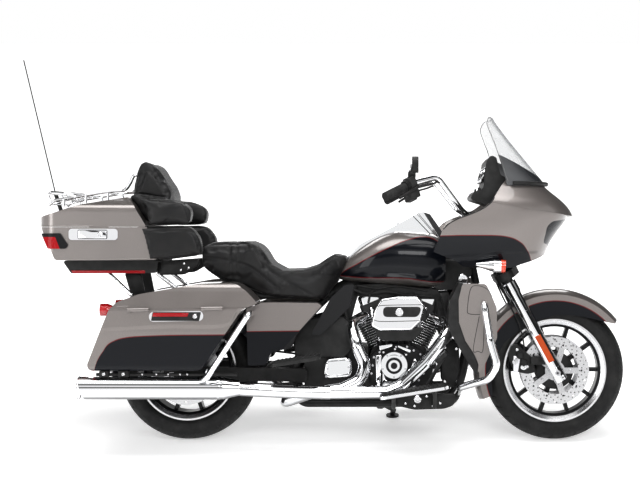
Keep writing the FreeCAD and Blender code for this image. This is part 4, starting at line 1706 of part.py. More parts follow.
def foot_gear():
    rider = board(RIDER_BOARD_AT, RIDER_BOARD_LENGTH, BOARD_WIDTH, BOARD_THICKNESS, RIDER_BOARD_TILT_DEG)
    rail_y = CRADLE_PATH_ORIGIN[1] + CRADLE_PATH_SIZE[1]
    rail_z = CRADLE_PATH_ORIGIN[2]
    stays = []
    for side in (-1, 1):
        x = RIDER_BOARD_AT[0] + side * RIDER_BOARD_LENGTH * 0.3
        z = RIDER_BOARD_AT[2] + side * RIDER_BOARD_LENGTH * 0.3 * math.tan(math.radians(RIDER_BOARD_TILT_DEG))
        stays.append(tube([(x, rail_y, rail_z), (x, RIDER_BOARD_AT[1] * 0.75, rail_z), (x, RIDER_BOARD_AT[1], z)],
                          STAY_RADIUS, STAY_RADIUS * 3))
    rider = fused([rider] + stays)
    pillion = board(PILLION_BOARD_AT, PILLION_BOARD_LENGTH, BOARD_WIDTH * 0.85, BOARD_THICKNESS, PILLION_BOARD_TILT_DEG)
    arm = cylinder((PILLION_BOARD_AT[0], REAR_RAIL_Y, PILLION_BOARD_AT[2]), PILLION_BOARD_AT, STAY_RADIUS)
    pillion = fused([pillion, arm])
    brake = pedal(BRAKE_ARM_PATH_SHARES, BRAKE_ARM_PATH_ORIGIN, BRAKE_ARM_PATH_SIZE)
    shift = tube(route(SHIFT_ARM_PATH_SHARES, SHIFT_ARM_PATH_ORIGIN, SHIFT_ARM_PATH_SIZE), STAY_RADIUS * 0.8, STAY_RADIUS * 2)
    ends = route(SHIFT_ARM_PATH_SHARES, SHIFT_ARM_PATH_ORIGIN, SHIFT_ARM_PATH_SIZE)
    pegs = [cylinder(V(*p) - Y_AXIS * PEG_HALF, V(*p) + Y_AXIS * PEG_HALF, PEG_RADIUS) for p in (ends[0], ends[2])]
    shaft = cylinder((ends[1][0], CASE_HALF_WIDTH, ends[1][2]), ends[1], STAY_RADIUS)
    return both_sides(rider), both_sides(pillion), brake, fused([shift, shaft] + pegs)


def pedal(shares, origin, size):
    points = route(shares, origin, size)
    arm = tube(points, STAY_RADIUS * 0.9, STAY_RADIUS * 2)
    pad = boxed(PEDAL_LENGTH, PEDAL_WIDTH, BOARD_THICKNESS, PEDAL_LENGTH * 0.2)
    pad = turned(pad, V(0, 0, 0), Y_AXIS, -PEDAL_TILT_DEG)
    end = points[-1]
    return fused([arm, moved(pad, end[0], end[1], end[2])])


def plate_bracket():
    x, z = PLATE_AT
    plate = prism_x([(-PLATE_WIDTH / 2, z, PLATE_CORNER), (PLATE_WIDTH / 2, z, PLATE_CORNER),
                     (PLATE_WIDTH / 2, z + PLATE_HEIGHT, PLATE_CORNER), (-PLATE_WIDTH / 2, z + PLATE_HEIGHT, PLATE_CORNER)],
                    x, x + PLATE_THICKNESS)
    stem = Part.makeBox(PLATE_STEM, PLATE_WIDTH / 4, PLATE_HEIGHT / 3, V(x + PLATE_THICKNESS, -PLATE_WIDTH / 8, z + PLATE_HEIGHT / 2))
    holes = [cylinder((x - OVERRUN, side * PLATE_HOLE_SPACING / 2, z + PLATE_HEIGHT * 0.6),
                      (x + PLATE_THICKNESS + OVERRUN, side * PLATE_HOLE_SPACING / 2, z + PLATE_HEIGHT * 0.6), PLATE_HOLE_RADIUS)
             for side in (-1, 1)]
    return plate.fuse(stem).removeSplitter().cut(holes)


def bag_furniture():
    guard = tube(route(BAG_GUARD_PATH_SHARES, BAG_GUARD_PATH_ORIGIN, BAG_GUARD_PATH_SIZE), BAG_GUARD_RADIUS, BAG_GUARD_RADIUS * 3)
    x0, z0 = REFLECTOR_ORIGIN
    w, h = REFLECTOR_SIZE
    bezel = prism_y([(x0, z0, h * 0.4), (x0 + w, z0 + h * 0.1, h * 0.4), (x0 + w, z0 + h, h * 0.4), (x0, z0 + h * 0.9, h * 0.4)],
                    BAG_OUTER_Y, BAG_OUTER_Y + LATCH_PROUD)
    struts = []
    for shares, origin, size in ((REAR_STRUT_PATH_SHARES, REAR_STRUT_PATH_ORIGIN, REAR_STRUT_PATH_SIZE),
                                 (FRONT_STRUT_PATH_SHARES, FRONT_STRUT_PATH_ORIGIN, FRONT_STRUT_PATH_SIZE)):
        struts.append(tube(route(shares, origin, size), STRUT_RADIUS, STRUT_RADIUS * 2))
    return both_sides(guard), both_sides(bezel), both_sides(Part.makeCompound(struts))


# Assembly: every body lists its pieces in the order in which they keep their full form

def overlaps(a, b):
    return a.BoundBox.intersect(b.BoundBox)


def give_way(pieces):
    """Each piece yields to those listed before it, so that no two share any space."""
    names = list(pieces)
    for i, name in enumerate(names):
        cutters = [pieces[other] for other in names[:i] if overlaps(pieces[other], pieces[name])]
        if cutters:
            pieces[name] = largest_parts(pieces[name].cut(cutters))
    return pieces


def largest_parts(shape):
    """Drops the crumbs that a cut leaves behind."""
    solids = shape.Solids
    top = max(s.Volume for s in solids)
    kept = [s for s in solids if s.Volume > top * CRUMB_SHARE]
    return kept[0] if len(kept) == 1 else Part.makeCompound(kept)


def placed_on(pieces, axle):
    return {name: on_axle(shape, axle) for name, shape in pieces.items()}


def build_fork():
    front = front_end()
    front["fork_yokes"] = fused([front["fork_yokes"].cut(front["fork_legs"]), front.pop("bar_risers")]
                                + front.pop("fork_tubes").Solids)
    order = ("front_axle", "handlebar", "fork_legs", "fork_yokes", "grips", "hand_controls", "front_calipers",
             "front_fender")
    return give_way({name: front[name] for name in order})


def build_engine():
    parts = engine()
    parts["engine_case"] = parts.pop("crankcase").fuse(parts.pop("gearbox")).removeSplitter()
    parts["cylinders"] = fused([parts.pop("intake")] + parts["cylinders"].Solids)
    names = ("engine_case", "primary_cover", "cylinders", "rocker_covers", "cam_cover", "pushrod_tubes",
             "air_cleaner", "gearbox_cover")
    parts = give_way({name: parts[name] for name in names})
    covers = [parts.pop(name) for name in ("rocker_covers", "cam_cover", "pushrod_tubes", "gearbox_cover")]
    parts["engine_covers"] = gathered(covers)
    return parts


def gathered(shapes):
    """One node of several pieces: those that touch are joined, the others stay apart."""
    whole = shapes[0].fuse(shapes[1:])
    return Part.makeCompound(whole.removeSplitter().Solids)


def build_chassis(engine_parts):
    pipes = exhaust()
    bag_body = pannier()[0]
    case, _, case_base, case_outer = top_case()
    case_lamps, latch = case_trim(case_outer)
    shell, lens, backing, dash = fairing()
    front_lamps, rear_lamps = turn_lamps()
    lower_outer, lower_inner = lower_fairings()
    rider_boards, pillion_boards, brake, shift = foot_gear()
    bag_guard, reflectors, struts = bag_furniture()
    guard = tube(route(GUARD_PATH_SHARES, GUARD_PATH_ORIGIN, GUARD_PATH_SIZE), GUARD_RADIUS, GUARD_BEND)
    reach = ARM_INNER_Y + ARM_WIDTH + REAR_AXLE_RADIUS
    axle = cylinder((REAR_AXLE.x, -reach, REAR_AXLE.z), (REAR_AXLE.x, reach, REAR_AXLE.z), REAR_AXLE_RADIUS)
    pieces = frame()
    pieces.update({"swingarm": swingarm().fuse(axle).removeSplitter(), "rear_shocks": both_sides(rear_shock())})
    pieces.update(engine_parts)
    pieces.update({
        "drive_belt": drive_belt(),
        "mufflers": pipes["mufflers"],
        "exhaust_pipes": pipes["exhaust_pipes"],
        "engine_guard": both_sides(guard),
        "foot_gear": gathered([rider_boards, brake, shift]),
        "saddlebag_left": bag_body,
        "saddlebag_right": mirrored(bag_body),
        "bag_guards": gathered([struts, bag_guard]),
        "top_case": case,
        "case_base": case_base,
        "case_lamps": case_lamps,
        "bezels_and_latch": gathered([reflectors, latch]),
        "speaker_pods": speaker_pods(case_outer),
        "rear_fender": fender(REAR_AXLE, REAR_FENDER_RADIUS, REAR_FENDER_HALF, FENDER_WALL, REAR_SKIRT_RADIUS,
                              rear_skirt(), FENDER_CROWN),
        "fuel_tank": fuel_tank(),
        "console": console()[0],
        "side_covers": side_covers(),
        "pillion_footboards": pillion_boards,
        "seat": seat(),
        "dash": dash,
        "windshield": windshield(),
        "fairing": shell,
        "headlamp_lenses": lens,
        "headlamp_housings": backing,
        "turn_lamps": gathered([front_lamps, rear_lamps]),
        "plate_bracket": plate_bracket(),
        "lower_fairings": lower_outer,
        "radiator_shrouds": lower_inner,
    })
    return give_way(pieces)


def side_covers():
    cover = hollow_tray(SIDE_COVER_SHARES, SIDE_COVER_ORIGIN, SIDE_COVER_SIZE, SIDE_COVER_INNER_Y,
                        SIDE_COVER_OUTER_Y, BAG_WALL)
    deflector = hollow_tray(DEFLECTOR_SHARES, DEFLECTOR_ORIGIN, DEFLECTOR_SIZE, DEFLECTOR_INNER_Y,
                            DEFLECTOR_OUTER_Y, BAG_WALL)
    room_gap = MOVING_GAP * 1.1
    points = inset(outline(BAG_OUTLINE_SHARES, BAG_ORIGIN, BAG_SIZE), -room_gap)
    room = rounded_bag(points, BAG_INNER_Y - room_gap, BAG_OUTER_Y, -room_gap)
    return both_sides(largest_parts(fused([cover, deflector]).cut(room)))


def build_all():
    bag_lid = pannier()[1]
    case_lid = top_case()[1]
    backrest, rack, antenna = lid_furniture()
    return {
        "chassis": build_chassis(build_engine()),
        "fork": build_fork(),
        "front_wheel": give_way(placed_on(front_wheel(), FRONT_AXLE)),
        "rear_wheel": give_way(placed_on(rear_wheel(), REAR_AXLE)),
        "side_stand": {"side_stand": side_stand()[0]},
        "top_case_lid": give_way({"top_case_lid": case_lid, "luggage_rack": rack, "antenna": antenna,
                                  "backrest": backrest}),
        "bag_lid_left": {"bag_lid_left": bag_lid},
        "bag_lid_right": {"bag_lid_right": mirrored(bag_lid)},
        "fuel_door": {"fuel_door": console()[1]},
    }


def lean(shape):
    copy = shape.copy()
    copy.rotate(V(0, 0, 0), X_AXIS, -LEAN_DEG)
    copy.translate(V(0, 0, FLOOR_SHIFT))
    return copy


def main():
    bodies = build_all()
    leaned = {}
    for pieces in bodies.values():
        for name, shape in pieces.items():
            leaned[name] = lean(shape)
    boxes = [shape.optimalBoundingBox(False) for shape in leaned.values()]
    x_mid = (min(b.XMin for b in boxes) + max(b.XMax for b in boxes)) / 2
    y_mid = (min(b.YMin for b in boxes) + max(b.YMax for b in boxes)) / 2
    z_low = min(b.ZMin for b in boxes)
    os.makedirs("parts", exist_ok=True)
    for name, shape in leaned.items():
        shape.translate(V(-x_mid, -y_mid, -z_low))
        shape.exportStep("parts/" + name + ".step")
    return bodies, (x_mid, y_mid, z_low)


BODIES, ORIGIN_SHIFT = main()
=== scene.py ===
import json
import math

import bmesh
import bpy
from mathutils import Matrix, Vector
from mathutils.bvhtree import BVHTree
from mathutils.kdtree import KDTree


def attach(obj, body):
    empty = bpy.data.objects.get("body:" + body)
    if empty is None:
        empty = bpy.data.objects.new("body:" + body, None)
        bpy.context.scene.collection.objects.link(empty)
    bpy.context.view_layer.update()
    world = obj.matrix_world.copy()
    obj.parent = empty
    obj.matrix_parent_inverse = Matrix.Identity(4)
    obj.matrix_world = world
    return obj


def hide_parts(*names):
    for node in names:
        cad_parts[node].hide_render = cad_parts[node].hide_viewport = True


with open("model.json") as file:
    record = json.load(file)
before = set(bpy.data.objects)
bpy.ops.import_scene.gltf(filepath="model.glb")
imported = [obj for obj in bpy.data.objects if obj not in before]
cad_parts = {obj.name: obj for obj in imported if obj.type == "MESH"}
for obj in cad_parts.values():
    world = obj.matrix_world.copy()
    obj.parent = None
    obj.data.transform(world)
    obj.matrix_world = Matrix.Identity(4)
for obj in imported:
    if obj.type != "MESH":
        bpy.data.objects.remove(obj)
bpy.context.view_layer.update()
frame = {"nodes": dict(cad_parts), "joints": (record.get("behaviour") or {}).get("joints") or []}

# Driving dimensions in millimetres, of the upright machine: X forward of the rear axle, Y to the left, Z up

MM = 0.001
LEAN = math.radians(10.0)
WHEELBASE = 1625.0
REAR_AXLE_Z = 309.54
FRONT_AXLE_Z = 310.0
FRONT_AXLE, REAR_AXLE = (WHEELBASE, FRONT_AXLE_Z), (0.0, REAR_AXLE_Z)
FORK_RAKE = math.radians(28.5)
BOTH, LEFT, RIGHT = (-1, 1), (1,), (-1,)

FRONT_TYRE = {"radius": 310.0, "width": 130.0, "crown": 70.0, "rim": 228.0, "rim_width": 98.0}
REAR_TYRE = {"radius": 309.0, "width": 178.0, "crown": 105.0, "rim": 218.0, "rim_width": 140.0}

REAR_WHEEL_AT = Vector(next(j["pos_m"] for j in frame["joints"] if j["name"] == "rear_wheel_spin"))
TO_ROW = (Matrix.Translation(REAR_WHEEL_AT) @ Matrix.Rotation(-LEAN, 4, "X")
          @ Matrix.Scale(MM, 4) @ Matrix.Translation((0, 0, -REAR_AXLE_Z)))
TO_MACHINE = TO_ROW.inverted()
ROW_TO_MACHINE = (Matrix.Translation((0, 0, REAR_AXLE_Z * MM)) @ Matrix.Rotation(LEAN, 4, "X")
                  @ Matrix.Translation(-REAR_WHEEL_AT))

# Camera, floor and light

PHOTO_WIDTH, PHOTO_HEIGHT = 640, 480
CAMERA_AT = Vector((917.0, -5500.0, 954.0))
PRINCIPAL_PIXEL = (395.0, 225.0)
FRAME_WIDTH_AT_MACHINE = 2861.0
SENSOR = 36.0
CLIP_END = 200.0


def link(obj):
    bpy.context.scene.collection.objects.link(obj)
    return obj


def build_camera():
    data = bpy.data.cameras.new("camera")
    data.sensor_width = SENSOR
    data.lens = SENSOR * abs(CAMERA_AT.y) / FRAME_WIDTH_AT_MACHINE
    data.shift_x = (PHOTO_WIDTH / 2 - PRINCIPAL_PIXEL[0]) / PHOTO_WIDTH
    data.shift_y = (PRINCIPAL_PIXEL[1] - PHOTO_HEIGHT / 2) / PHOTO_WIDTH
    data.clip_end = CLIP_END
    camera = link(bpy.data.objects.new("camera", data))
    facing = Matrix.Rotation(-LEAN, 4, "X") @ Matrix.Rotation(math.radians(90), 4, "X")
    camera.matrix_world = Matrix.Translation(TO_ROW @ CAMERA_AT) @ facing
    bpy.context.scene.camera = camera


# Each lamp's place, aim, width and height in metres, and its power in watts
LAMPS = {"overhead": ((0.0, -0.4, 4.2), (0.0, 0.0, 0.6), (4.6, 2.4), 150.0),
         "key": ((1.8, -4.6, 3.4), (0.2, 0.0, 0.6), (3.4, 1.2), 110.0),
         "fill": ((-3.6, -3.6, 1.8), (-0.4, 0.0, 0.7), (1.6, 2.6), 55.0),
         "far": ((0.0, 4.6, 2.8), (0.0, 0.0, 0.8), (4.6, 1.4), 70.0)}


def build_lamps():
    for name, (at, aim, size, power) in LAMPS.items():
        data = bpy.data.lights.new(name, "AREA")
        data.shape = "RECTANGLE"
        data.size, data.size_y = size
        data.energy = power
        lamp = link(bpy.data.objects.new(name, data))
        lamp.location = at
        lamp.rotation_euler = (Vector(aim) - Vector(at)).to_track_quat("-Z", "Y").to_euler()


# Brightness of the studio by height, from straight down to straight up,
# and by the turn from ahead to the far side
HEIGHT_LEVELS = ((0.50, 1.0), (0.615, 1.0), (0.64, 0.03), (0.70, 0.03), (0.73, 0.9), (0.82, 0.9), (0.86, 0.12),
                 (0.90, 0.12), (0.93, 1.0))
AROUND_LEVELS = ((0.0, 1.0), (0.20, 1.0), (0.22, 0.04), (0.28, 0.04), (0.30, 0.95), (0.55, 0.95), (0.60, 0.05))
VIEW_GAMMA = 0.9


def build_world():
    """Bright studio whose dark bands and dark far side give polished metal its edges. What the camera sees
    past the machine stays white."""
    world = bpy.data.worlds.new("studio")
    world.use_nodes = True
    graph = Nodes(world.node_tree)
    way = graph.split(graph.node("TexCoord").outputs["Generated"])
    height = graph.maths("ADD", graph.maths("MULTIPLY", way["Z"], 0.5), 0.5)
    turn = graph.maths("ARCTAN2", way["X"], graph.maths("MULTIPLY", way["Y"], -1.0))
    around = graph.maths("DIVIDE", graph.maths("ABSOLUTE", turn), math.pi)
    light = graph.maths("MULTIPLY", graph.level(height, HEIGHT_LEVELS), graph.level(around, AROUND_LEVELS))
    path = graph.node("LightPath").outputs
    seen = graph.maths("MAXIMUM", path["Is Camera Ray"], path["Is Transmission Ray"])
    background = graph.node("Background", graph.maths("MAXIMUM", light, seen))
    graph.node("OutputWorld", background.outputs[0])
    scene = bpy.context.scene
    scene.world = world
    scene.view_settings.view_transform = "Standard"
    scene.view_settings.gamma = VIEW_GAMMA


FLOOR_REACH = 60.0
FLOOR_GLOW = (0.45, 0.95)
FLOOR_GLOW_REACH = (1.5, 4.5)
FLOOR_GLOW_SQUEEZE = 0.75


def build_floor():
    """White floor that glows more with distance, so that it meets the white ground of the photo."""
    mesh = bpy.data.meshes.new("floor")
    corners = [(-1, -1), (1, -1), (1, 1), (-1, 1)]
    mesh.from_pydata([(x * FLOOR_REACH, y * FLOOR_REACH, 0) for x, y in corners], [], [(0, 1, 2, 3)])
    floor = link(bpy.data.objects.new("floor", mesh))
    graph = Graph("floor", color=(0.92, 0.92, 0.92, 1), glow=(1, 1, 1, 1), rough=0.75, specular=0.15)
    at = graph.split(graph.row)
    distance = graph.length(graph.maths("MULTIPLY", at["X"], FLOOR_GLOW_SQUEEZE), at["Y"])
    graph.set(glow_strength=graph.spread(distance, *FLOOR_GLOW_REACH, *FLOOR_GLOW))
    graph.bump(graph.noise(40.0, 2.0), 0.02, 0.0005)
    mesh.materials.append(graph.material)


# Shader nodes

SOCKETS = {"color": "Base Color", "metallic": "Metallic", "rough": "Roughness", "specular": "Specular IOR Level",
           "coat": "Coat Weight", "coat_rough": "Coat Roughness", "coat_ior": "Coat IOR", "ior": "IOR",
           "alpha": "Alpha", "anisotropic": "Anisotropic", "sheen": "Sheen Weight",
           "sheen_rough": "Sheen Roughness", "glow": "Emission Color", "glow_strength": "Emission Strength"}


class Nodes:
    """Short ways to add nodes to an emptied tree."""

    def __init__(self, tree):
        self.tree = tree
        tree.nodes.clear()

    def plug(self, socket, value):
        if isinstance(value, bpy.types.NodeSocket):
            self.tree.links.new(value, socket)
        else:
            socket.default_value = value

    def node(self, kind, *values, **settings):
        """New node with its settings made, and its first inputs plugged with the values."""
        made = self.tree.nodes.new("ShaderNode" + kind)
        for name, setting in settings.items():
            setattr(made, name, setting)
        for socket, value in zip(made.inputs, values):
            self.plug(socket, value)
        return made

    def split(self, vector):
        return self.node("SeparateXYZ", vector).outputs

    def maths(self, operation, a, b=0.0):
        return self.node("Math", a, b, operation=operation).outputs[0]

    def length(self, a, b):
        square = self.maths("ADD", self.maths("MULTIPLY", a, a), self.maths("MULTIPLY", b, b))
        return self.maths("SQRT", square)

    def level(self, share, stops):
        """Grey level at a share, between stops of (share, level)."""
        ramp = self.node("ValToRGB", share)
        elements = ramp.color_ramp.elements
        while len(elements) > 1:
            elements.remove(elements[-1])
        first, *others = [(at, (bright, bright, bright, 1)) for at, bright in stops]
        elements[0].position, elements[0].color = first
        for at, colour in others:
            elements.new(at).color = colour
        return ramp.outputs[0]


class Graph(Nodes):
    """One principled material. Distances in it are in metres, edges and centres are given in millimetres."""

    def __init__(self, name, **values):
        self.material = bpy.data.materials.new(name)
        self.material.use_nodes = True
        super().__init__(self.material.node_tree)
        self.shader = self.node("BsdfPrincipled")
        self.node("OutputMaterial", self.shader.outputs[0])
        self.row = self.node("TexCoord").outputs["Object"]
        self.machine_point = None
        self.set(**values)

    def set(self, **values):
        for name, value in values.items():
            self.plug(self.shader.inputs[SOCKETS[name]], value)

    def machine(self):
        """X, Y and Z in the upright machine's own frame."""
        if self.machine_point is None:
            turned_back = self.node("Mapping", self.row, ROW_TO_MACHINE.to_translation(), (LEAN, 0, 0))
            self.machine_point = self.split(turned_back.outputs[0])
        return self.machine_point

    def texture(self, node, vector, **inputs):
        self.plug(node.inputs["Vector"], vector)
        for name, value in inputs.items():
            node.inputs[name].default_value = value
        return node

    def noise(self, scale, detail=3.0, stretch=None):
        vector = self.row
        if stretch:
            vector = self.node("Mapping", self.row, (0, 0, 0), (0, 0, 0), stretch).outputs[0]
        return self.texture(self.node("TexNoise"), vector, Scale=scale, Detail=detail).outputs[0]

    def tooling(self, radius, scale):
        """Fine turned rings, from noise over the radius."""
        node = self.node("TexNoise", noise_dimensions="1D")
        node.inputs["Scale"].default_value = scale
        self.plug(node.inputs["W"], radius)
        return node.outputs[0]

    def cells(self, scale, feature="F1", output="Distance"):
        return self.texture(self.node("TexVoronoi", feature=feature), self.row, Scale=scale).outputs[output]

    def spread(self, value, low, high, to_low=0.0, to_high=1.0, smooth=True):
        """Moves a value from one range to another, eased at both ends unless smooth is off."""
        ease = "SMOOTHSTEP" if smooth else "LINEAR"
        node = self.node("MapRange", value, low, high, to_low, to_high, interpolation_type=ease)
        return node.outputs["Result"]

    def shift(self, share, first, second):
        return self.spread(share, 0.0, 1.0, first, second)

    def under(self, value, edge, soft):
        """One below an edge, zero from the edge plus soft."""
        return self.spread(value, edge, edge + soft, 1.0, 0.0)

    def window(self, value, low, high, soft):
        """One between low and high, fading out just inside both."""
        return self.maths("MULTIPLY", self.spread(value, low, low + soft), self.under(value, high - soft, soft))

    def blend(self, share, first, second):
        node = self.node("Mix", data_type="RGBA")
        for socket, value in ((0, share), (6, first), (7, second)):
            self.plug(node.inputs[socket], value)
        return node.outputs[2]

    def bump(self, height, strength, distance):
        """Adds a relief over those already there."""
        node = self.node("Bump")
        for name, value in (("Strength", strength), ("Distance", distance), ("Height", height)):
            self.plug(node.inputs[name], value)
        normal = self.shader.inputs["Normal"]
        if normal.is_linked:
            self.plug(node.inputs["Normal"], normal.links[0].from_socket)
        self.plug(normal, node.outputs[0])

    def line(self, points):
        """Height of a line through points (x, z), over the machine's X."""
        xs, zs = zip(*points)
        low, high = min(zs), max(zs)
        node = self.node("FloatCurve")
        curve = node.mapping.curves[0]
        shares = [((x - xs[0]) / (xs[-1] - xs[0]), (z - low) / (high - low)) for x, z in points]
        curve.points[0].location, curve.points[1].location = shares[0], shares[-1]
        for at in shares[1:-1]:
            curve.points.new(*at)
        node.mapping.update()
        self.plug(node.inputs["Value"], self.spread(self.machine()["X"], xs[0] * MM, xs[-1] * MM, smooth=False))
        return self.spread(node.outputs[0], 0.0, 1.0, low * MM, high * MM, smooth=False)

    def below(self, points):
        """Depth under a line through points (x, z)."""
        return self.maths("SUBTRACT", self.line(points), self.machine()["Z"])

    def above(self, points):
        return self.maths("SUBTRACT", self.machine()["Z"], self.line(points))

    def offset(self, centre):
        """X and Z from a centre (x, z)."""
        at = self.machine()
        return [self.maths("SUBTRACT", at[axis], value * MM) for axis, value in zip("XZ", centre)]

    def radius(self, centre):
        """Distance from an axis across the machine."""
        return self.length(*self.offset(centre))

    def past(self, edge):
        """Distance over a straight line through two points (x, z)."""
        start, end = edge
        way = (Vector(end) - Vector(start)).normalized()
        x, z = self.offset(start)
        return self.maths("SUBTRACT", self.maths("MULTIPLY", z, way[0]), self.maths("MULTIPLY", x, way[1]))


# Paint

SILVER, SILVER_FLAKE = (0.205, 0.185, 0.176, 1), (0.315, 0.29, 0.276, 1)
FLAKE_SCALE = 2600.0
INK = (0.0032, 0.004, 0.0065, 1)
PINSTRIPE = (0.16, 0.012, 0.014, 1)
DEEP_BLACK = (0.012, 0.012, 0.013, 1)
PALE_CHROME = (0.87, 0.88, 0.89, 1)
STRIPE_WIDTH = 0.0032
EDGE_SOFT = 0.0008
CUT_SOFT = 0.0006

BAG_CREASE = [(-560, 500), (-180, 521), (-60, 527), (198, 531), (262, 598), (420, 640)]
FAIRING_CREASE = [(1060, 818), (1150, 821), (1371, 835), (1480, 836), (1760, 838)]
BAG_TONE = [(-349, 342), (-312, 421), (-264, 468), (-211, 483), (-135, 489), (207, 495), (620, 500)]
FAIRING_TONE = [(1070, 908), (1129, 910), (1326, 912), (1398, 905), (1447, 886), (1485, 847),
                (1505, 803), (1512, 760)]
TANK_TONE = [(655, 700), (682, 742), (760, 790), (877, 851), (981, 893), (1050, 904), (1106, 883), (1140, 850)]
TANK_SILL = [(655, 730), (703, 726), (808, 721), (939, 721), (1026, 711), (1080, 703)]
FENDER_TONE_RADIUS = 312.0
DEFLECTOR_EDGE = ((560.0, 560.0), (700.0, 716.0))


def silver_colour(graph):
    flake = graph.node("RGBToBW", graph.cells(FLAKE_SCALE, output="Color")).outputs[0]
    return graph.blend(graph.maths("MULTIPLY", graph.spread(flake, 0.45, 0.95), 0.55), SILVER, SILVER_FLAKE)


def gloss(graph, coat=1.0):
    """Clear lacquer with the faint orange peel of sprayed paint."""
    graph.set(coat=coat, coat_rough=0.03, coat_ior=1.5)
    graph.bump(graph.noise(420.0, 1.0), 0.035, 0.0004)
    return graph.material


def toned(graph, depth):
    """Share of ink black and the colour, with a pinstripe where the black starts."""
    dark = graph.spread(depth, -EDGE_SOFT, EDGE_SOFT)
    stripe = graph.maths("MULTIPLY", dark, graph.under(depth, STRIPE_WIDTH - EDGE_SOFT, 2 * EDGE_SOFT))
    return dark, graph.blend(stripe, graph.blend(dark, silver_colour(graph), INK), PINSTRIPE)


def two_tone(name, depth_of, crease=None):
    """Silver and ink black, with a dark red pinstripe between them, and a pressed crease."""
    graph = Graph(name, specular=0.1)
    dark, colour = toned(graph, depth_of(graph))
    graph.set(color=colour, metallic=graph.shift(dark, 0.62, 0.0), rough=graph.shift(dark, 0.33, 0.3))
    gloss(graph, graph.shift(dark, 0.8, 0.35))
    if crease:
        graph.bump(graph.spread(graph.above(crease), -0.009, 0.009), 0.5, 0.012)
    return graph.material


def tank_panel(graph):
    """Depth inside the dark panel on the tank's side."""
    return graph.maths("MINIMUM", graph.below(TANK_TONE), graph.above(TANK_SILL))


def fender_band(graph):
    """Depth inside a circle about the front axle."""
    return graph.maths("SUBTRACT", FENDER_TONE_RADIUS * MM, graph.radius(FRONT_AXLE))


def cover_paint():
    """Silver side cover with an ink black foot and a satin black air deflector at its front."""
    graph = Graph("side cover paint", specular=0.15)
    dark, colour = toned(graph, graph.below(BAG_TONE))
    ahead = graph.under(graph.past(DEFLECTOR_EDGE), -CUT_SOFT, 2 * CUT_SOFT)
    painted = graph.maths("MAXIMUM", dark, ahead)
    graph.set(color=graph.blend(ahead, colour, DEEP_BLACK), metallic=graph.shift(painted, 0.62, 0.0),
              rough=graph.shift(ahead, 0.32, 0.45))
    return gloss(graph, graph.shift(painted, 0.8, 0.2))


def silver_paint():
    graph = Graph("paint silver", metallic=0.62)
    graph.set(color=silver_colour(graph), rough=graph.spread(graph.noise(9.0), 0.2, 0.8, 0.30, 0.36))
    return gloss(graph)


def ink_paint():
    graph = Graph("paint ink black", color=INK, specular=0.1)
    graph.set(rough=graph.spread(graph.noise(9.0), 0.2, 0.8, 0.24, 0.32))
    return gloss(graph, 0.35)


# Metal, rubber and leather

def chrome():
    """Polished chrome, with painted shade that darkens it where it faces the ground."""
    graph = Graph("chrome", metallic=1.0)
    chrome_tone = graph.blend(graph.noise(6.0), (0.84, 0.85, 0.87, 1), (0.9, 0.9, 0.91, 1))
    # Painted shade: the colour darkens on surfaces that face down, standing in for the shade under round parts
    up = graph.split(graph.node("NewGeometry").outputs["Normal"])["Z"]
    painted_underside_shade = graph.spread(up, -0.95, -0.30, 1.0, 0.0)
    graph.set(color=graph.blend(painted_underside_shade, chrome_tone, (0.14, 0.14, 0.145, 1)),
              rough=graph.spread(graph.noise(30.0, 5.0), 0.3, 0.8, 0.035, 0.085))
    graph.bump(graph.noise(260.0, 1.0), 0.02, 0.0003)
    return graph.material


def grained(name, shade=0.012, rough=(0.36, 0.5), grain=900.0, depth=0.25):
    """Dark painted metal, moulding or rubber with a fine grain."""
    graph = Graph(name, specular=0.24)
    level = graph.spread(graph.noise(22.0, 4.0), 0.3, 0.7, shade, shade * 1.7)
    graph.set(color=graph.node("CombineColor", level, level, level).outputs[0],
              rough=graph.spread(graph.noise(60.0, 4.0), 0.3, 0.7, *rough))
    graph.bump(graph.noise(grain, 2.0), depth, 0.0006)
    return graph.material


def rubber(name, shade=0.018):
    return grained(name, shade, (0.55, 0.72), 1400.0, 0.18)


def brushed(name, colour, rough, stretch):
    graph = Graph(name, metallic=1.0, anisotropic=0.35)
    grain = graph.noise(300.0, 2.0, stretch)
    graph.set(color=graph.blend(grain, tuple(c * 0.86 for c in colour) + (1,), colour + (1,)),
              rough=graph.spread(grain, 0.2, 0.8, *rough))
    graph.bump(grain, 0.05, 0.0002)
    return graph.material


def leather():
    graph = Graph("leather", specular=0.3, sheen=0.06, sheen_rough=0.4)
    shade = graph.spread(graph.noise(14.0, 5.0), 0.3, 0.75)
    creases = graph.spread(graph.cells(620.0, "DISTANCE_TO_EDGE"), 0.0, 0.12)
    graph.set(color=graph.blend(shade, (0.006, 0.006, 0.0065, 1), (0.0125, 0.012, 0.012, 1)),
              rough=graph.shift(creases, 0.58, 0.38))
    graph.bump(creases, 0.22, 0.00035)
    graph.bump(graph.noise(55.0, 4.0), 0.18, 0.0012)
    return graph.material


def tyre_rubber():
    graph = Graph("tyre", specular=0.25)
    dust = graph.spread(graph.noise(18.0, 5.0), 0.35, 0.8)
    graph.set(color=graph.blend(dust, (0.0095, 0.0095, 0.0098, 1), (0.019, 0.019, 0.0185, 1)),
              rough=graph.spread(graph.noise(70.0, 4.0), 0.3, 0.7, 0.5, 0.68))
    graph.bump(graph.noise(1600.0, 2.0), 0.12, 0.0004)
    return graph.material


CHEST_BLACK = (790.0, 1070.0, 225.0, 446.0)
CHEST_ROUND, CHEST_ROUND_RADIUS = (913.0, 345.0), 57.0
ROUND_GROOVE = (24.3, 35.7)
ROUND_EYE = 14.0


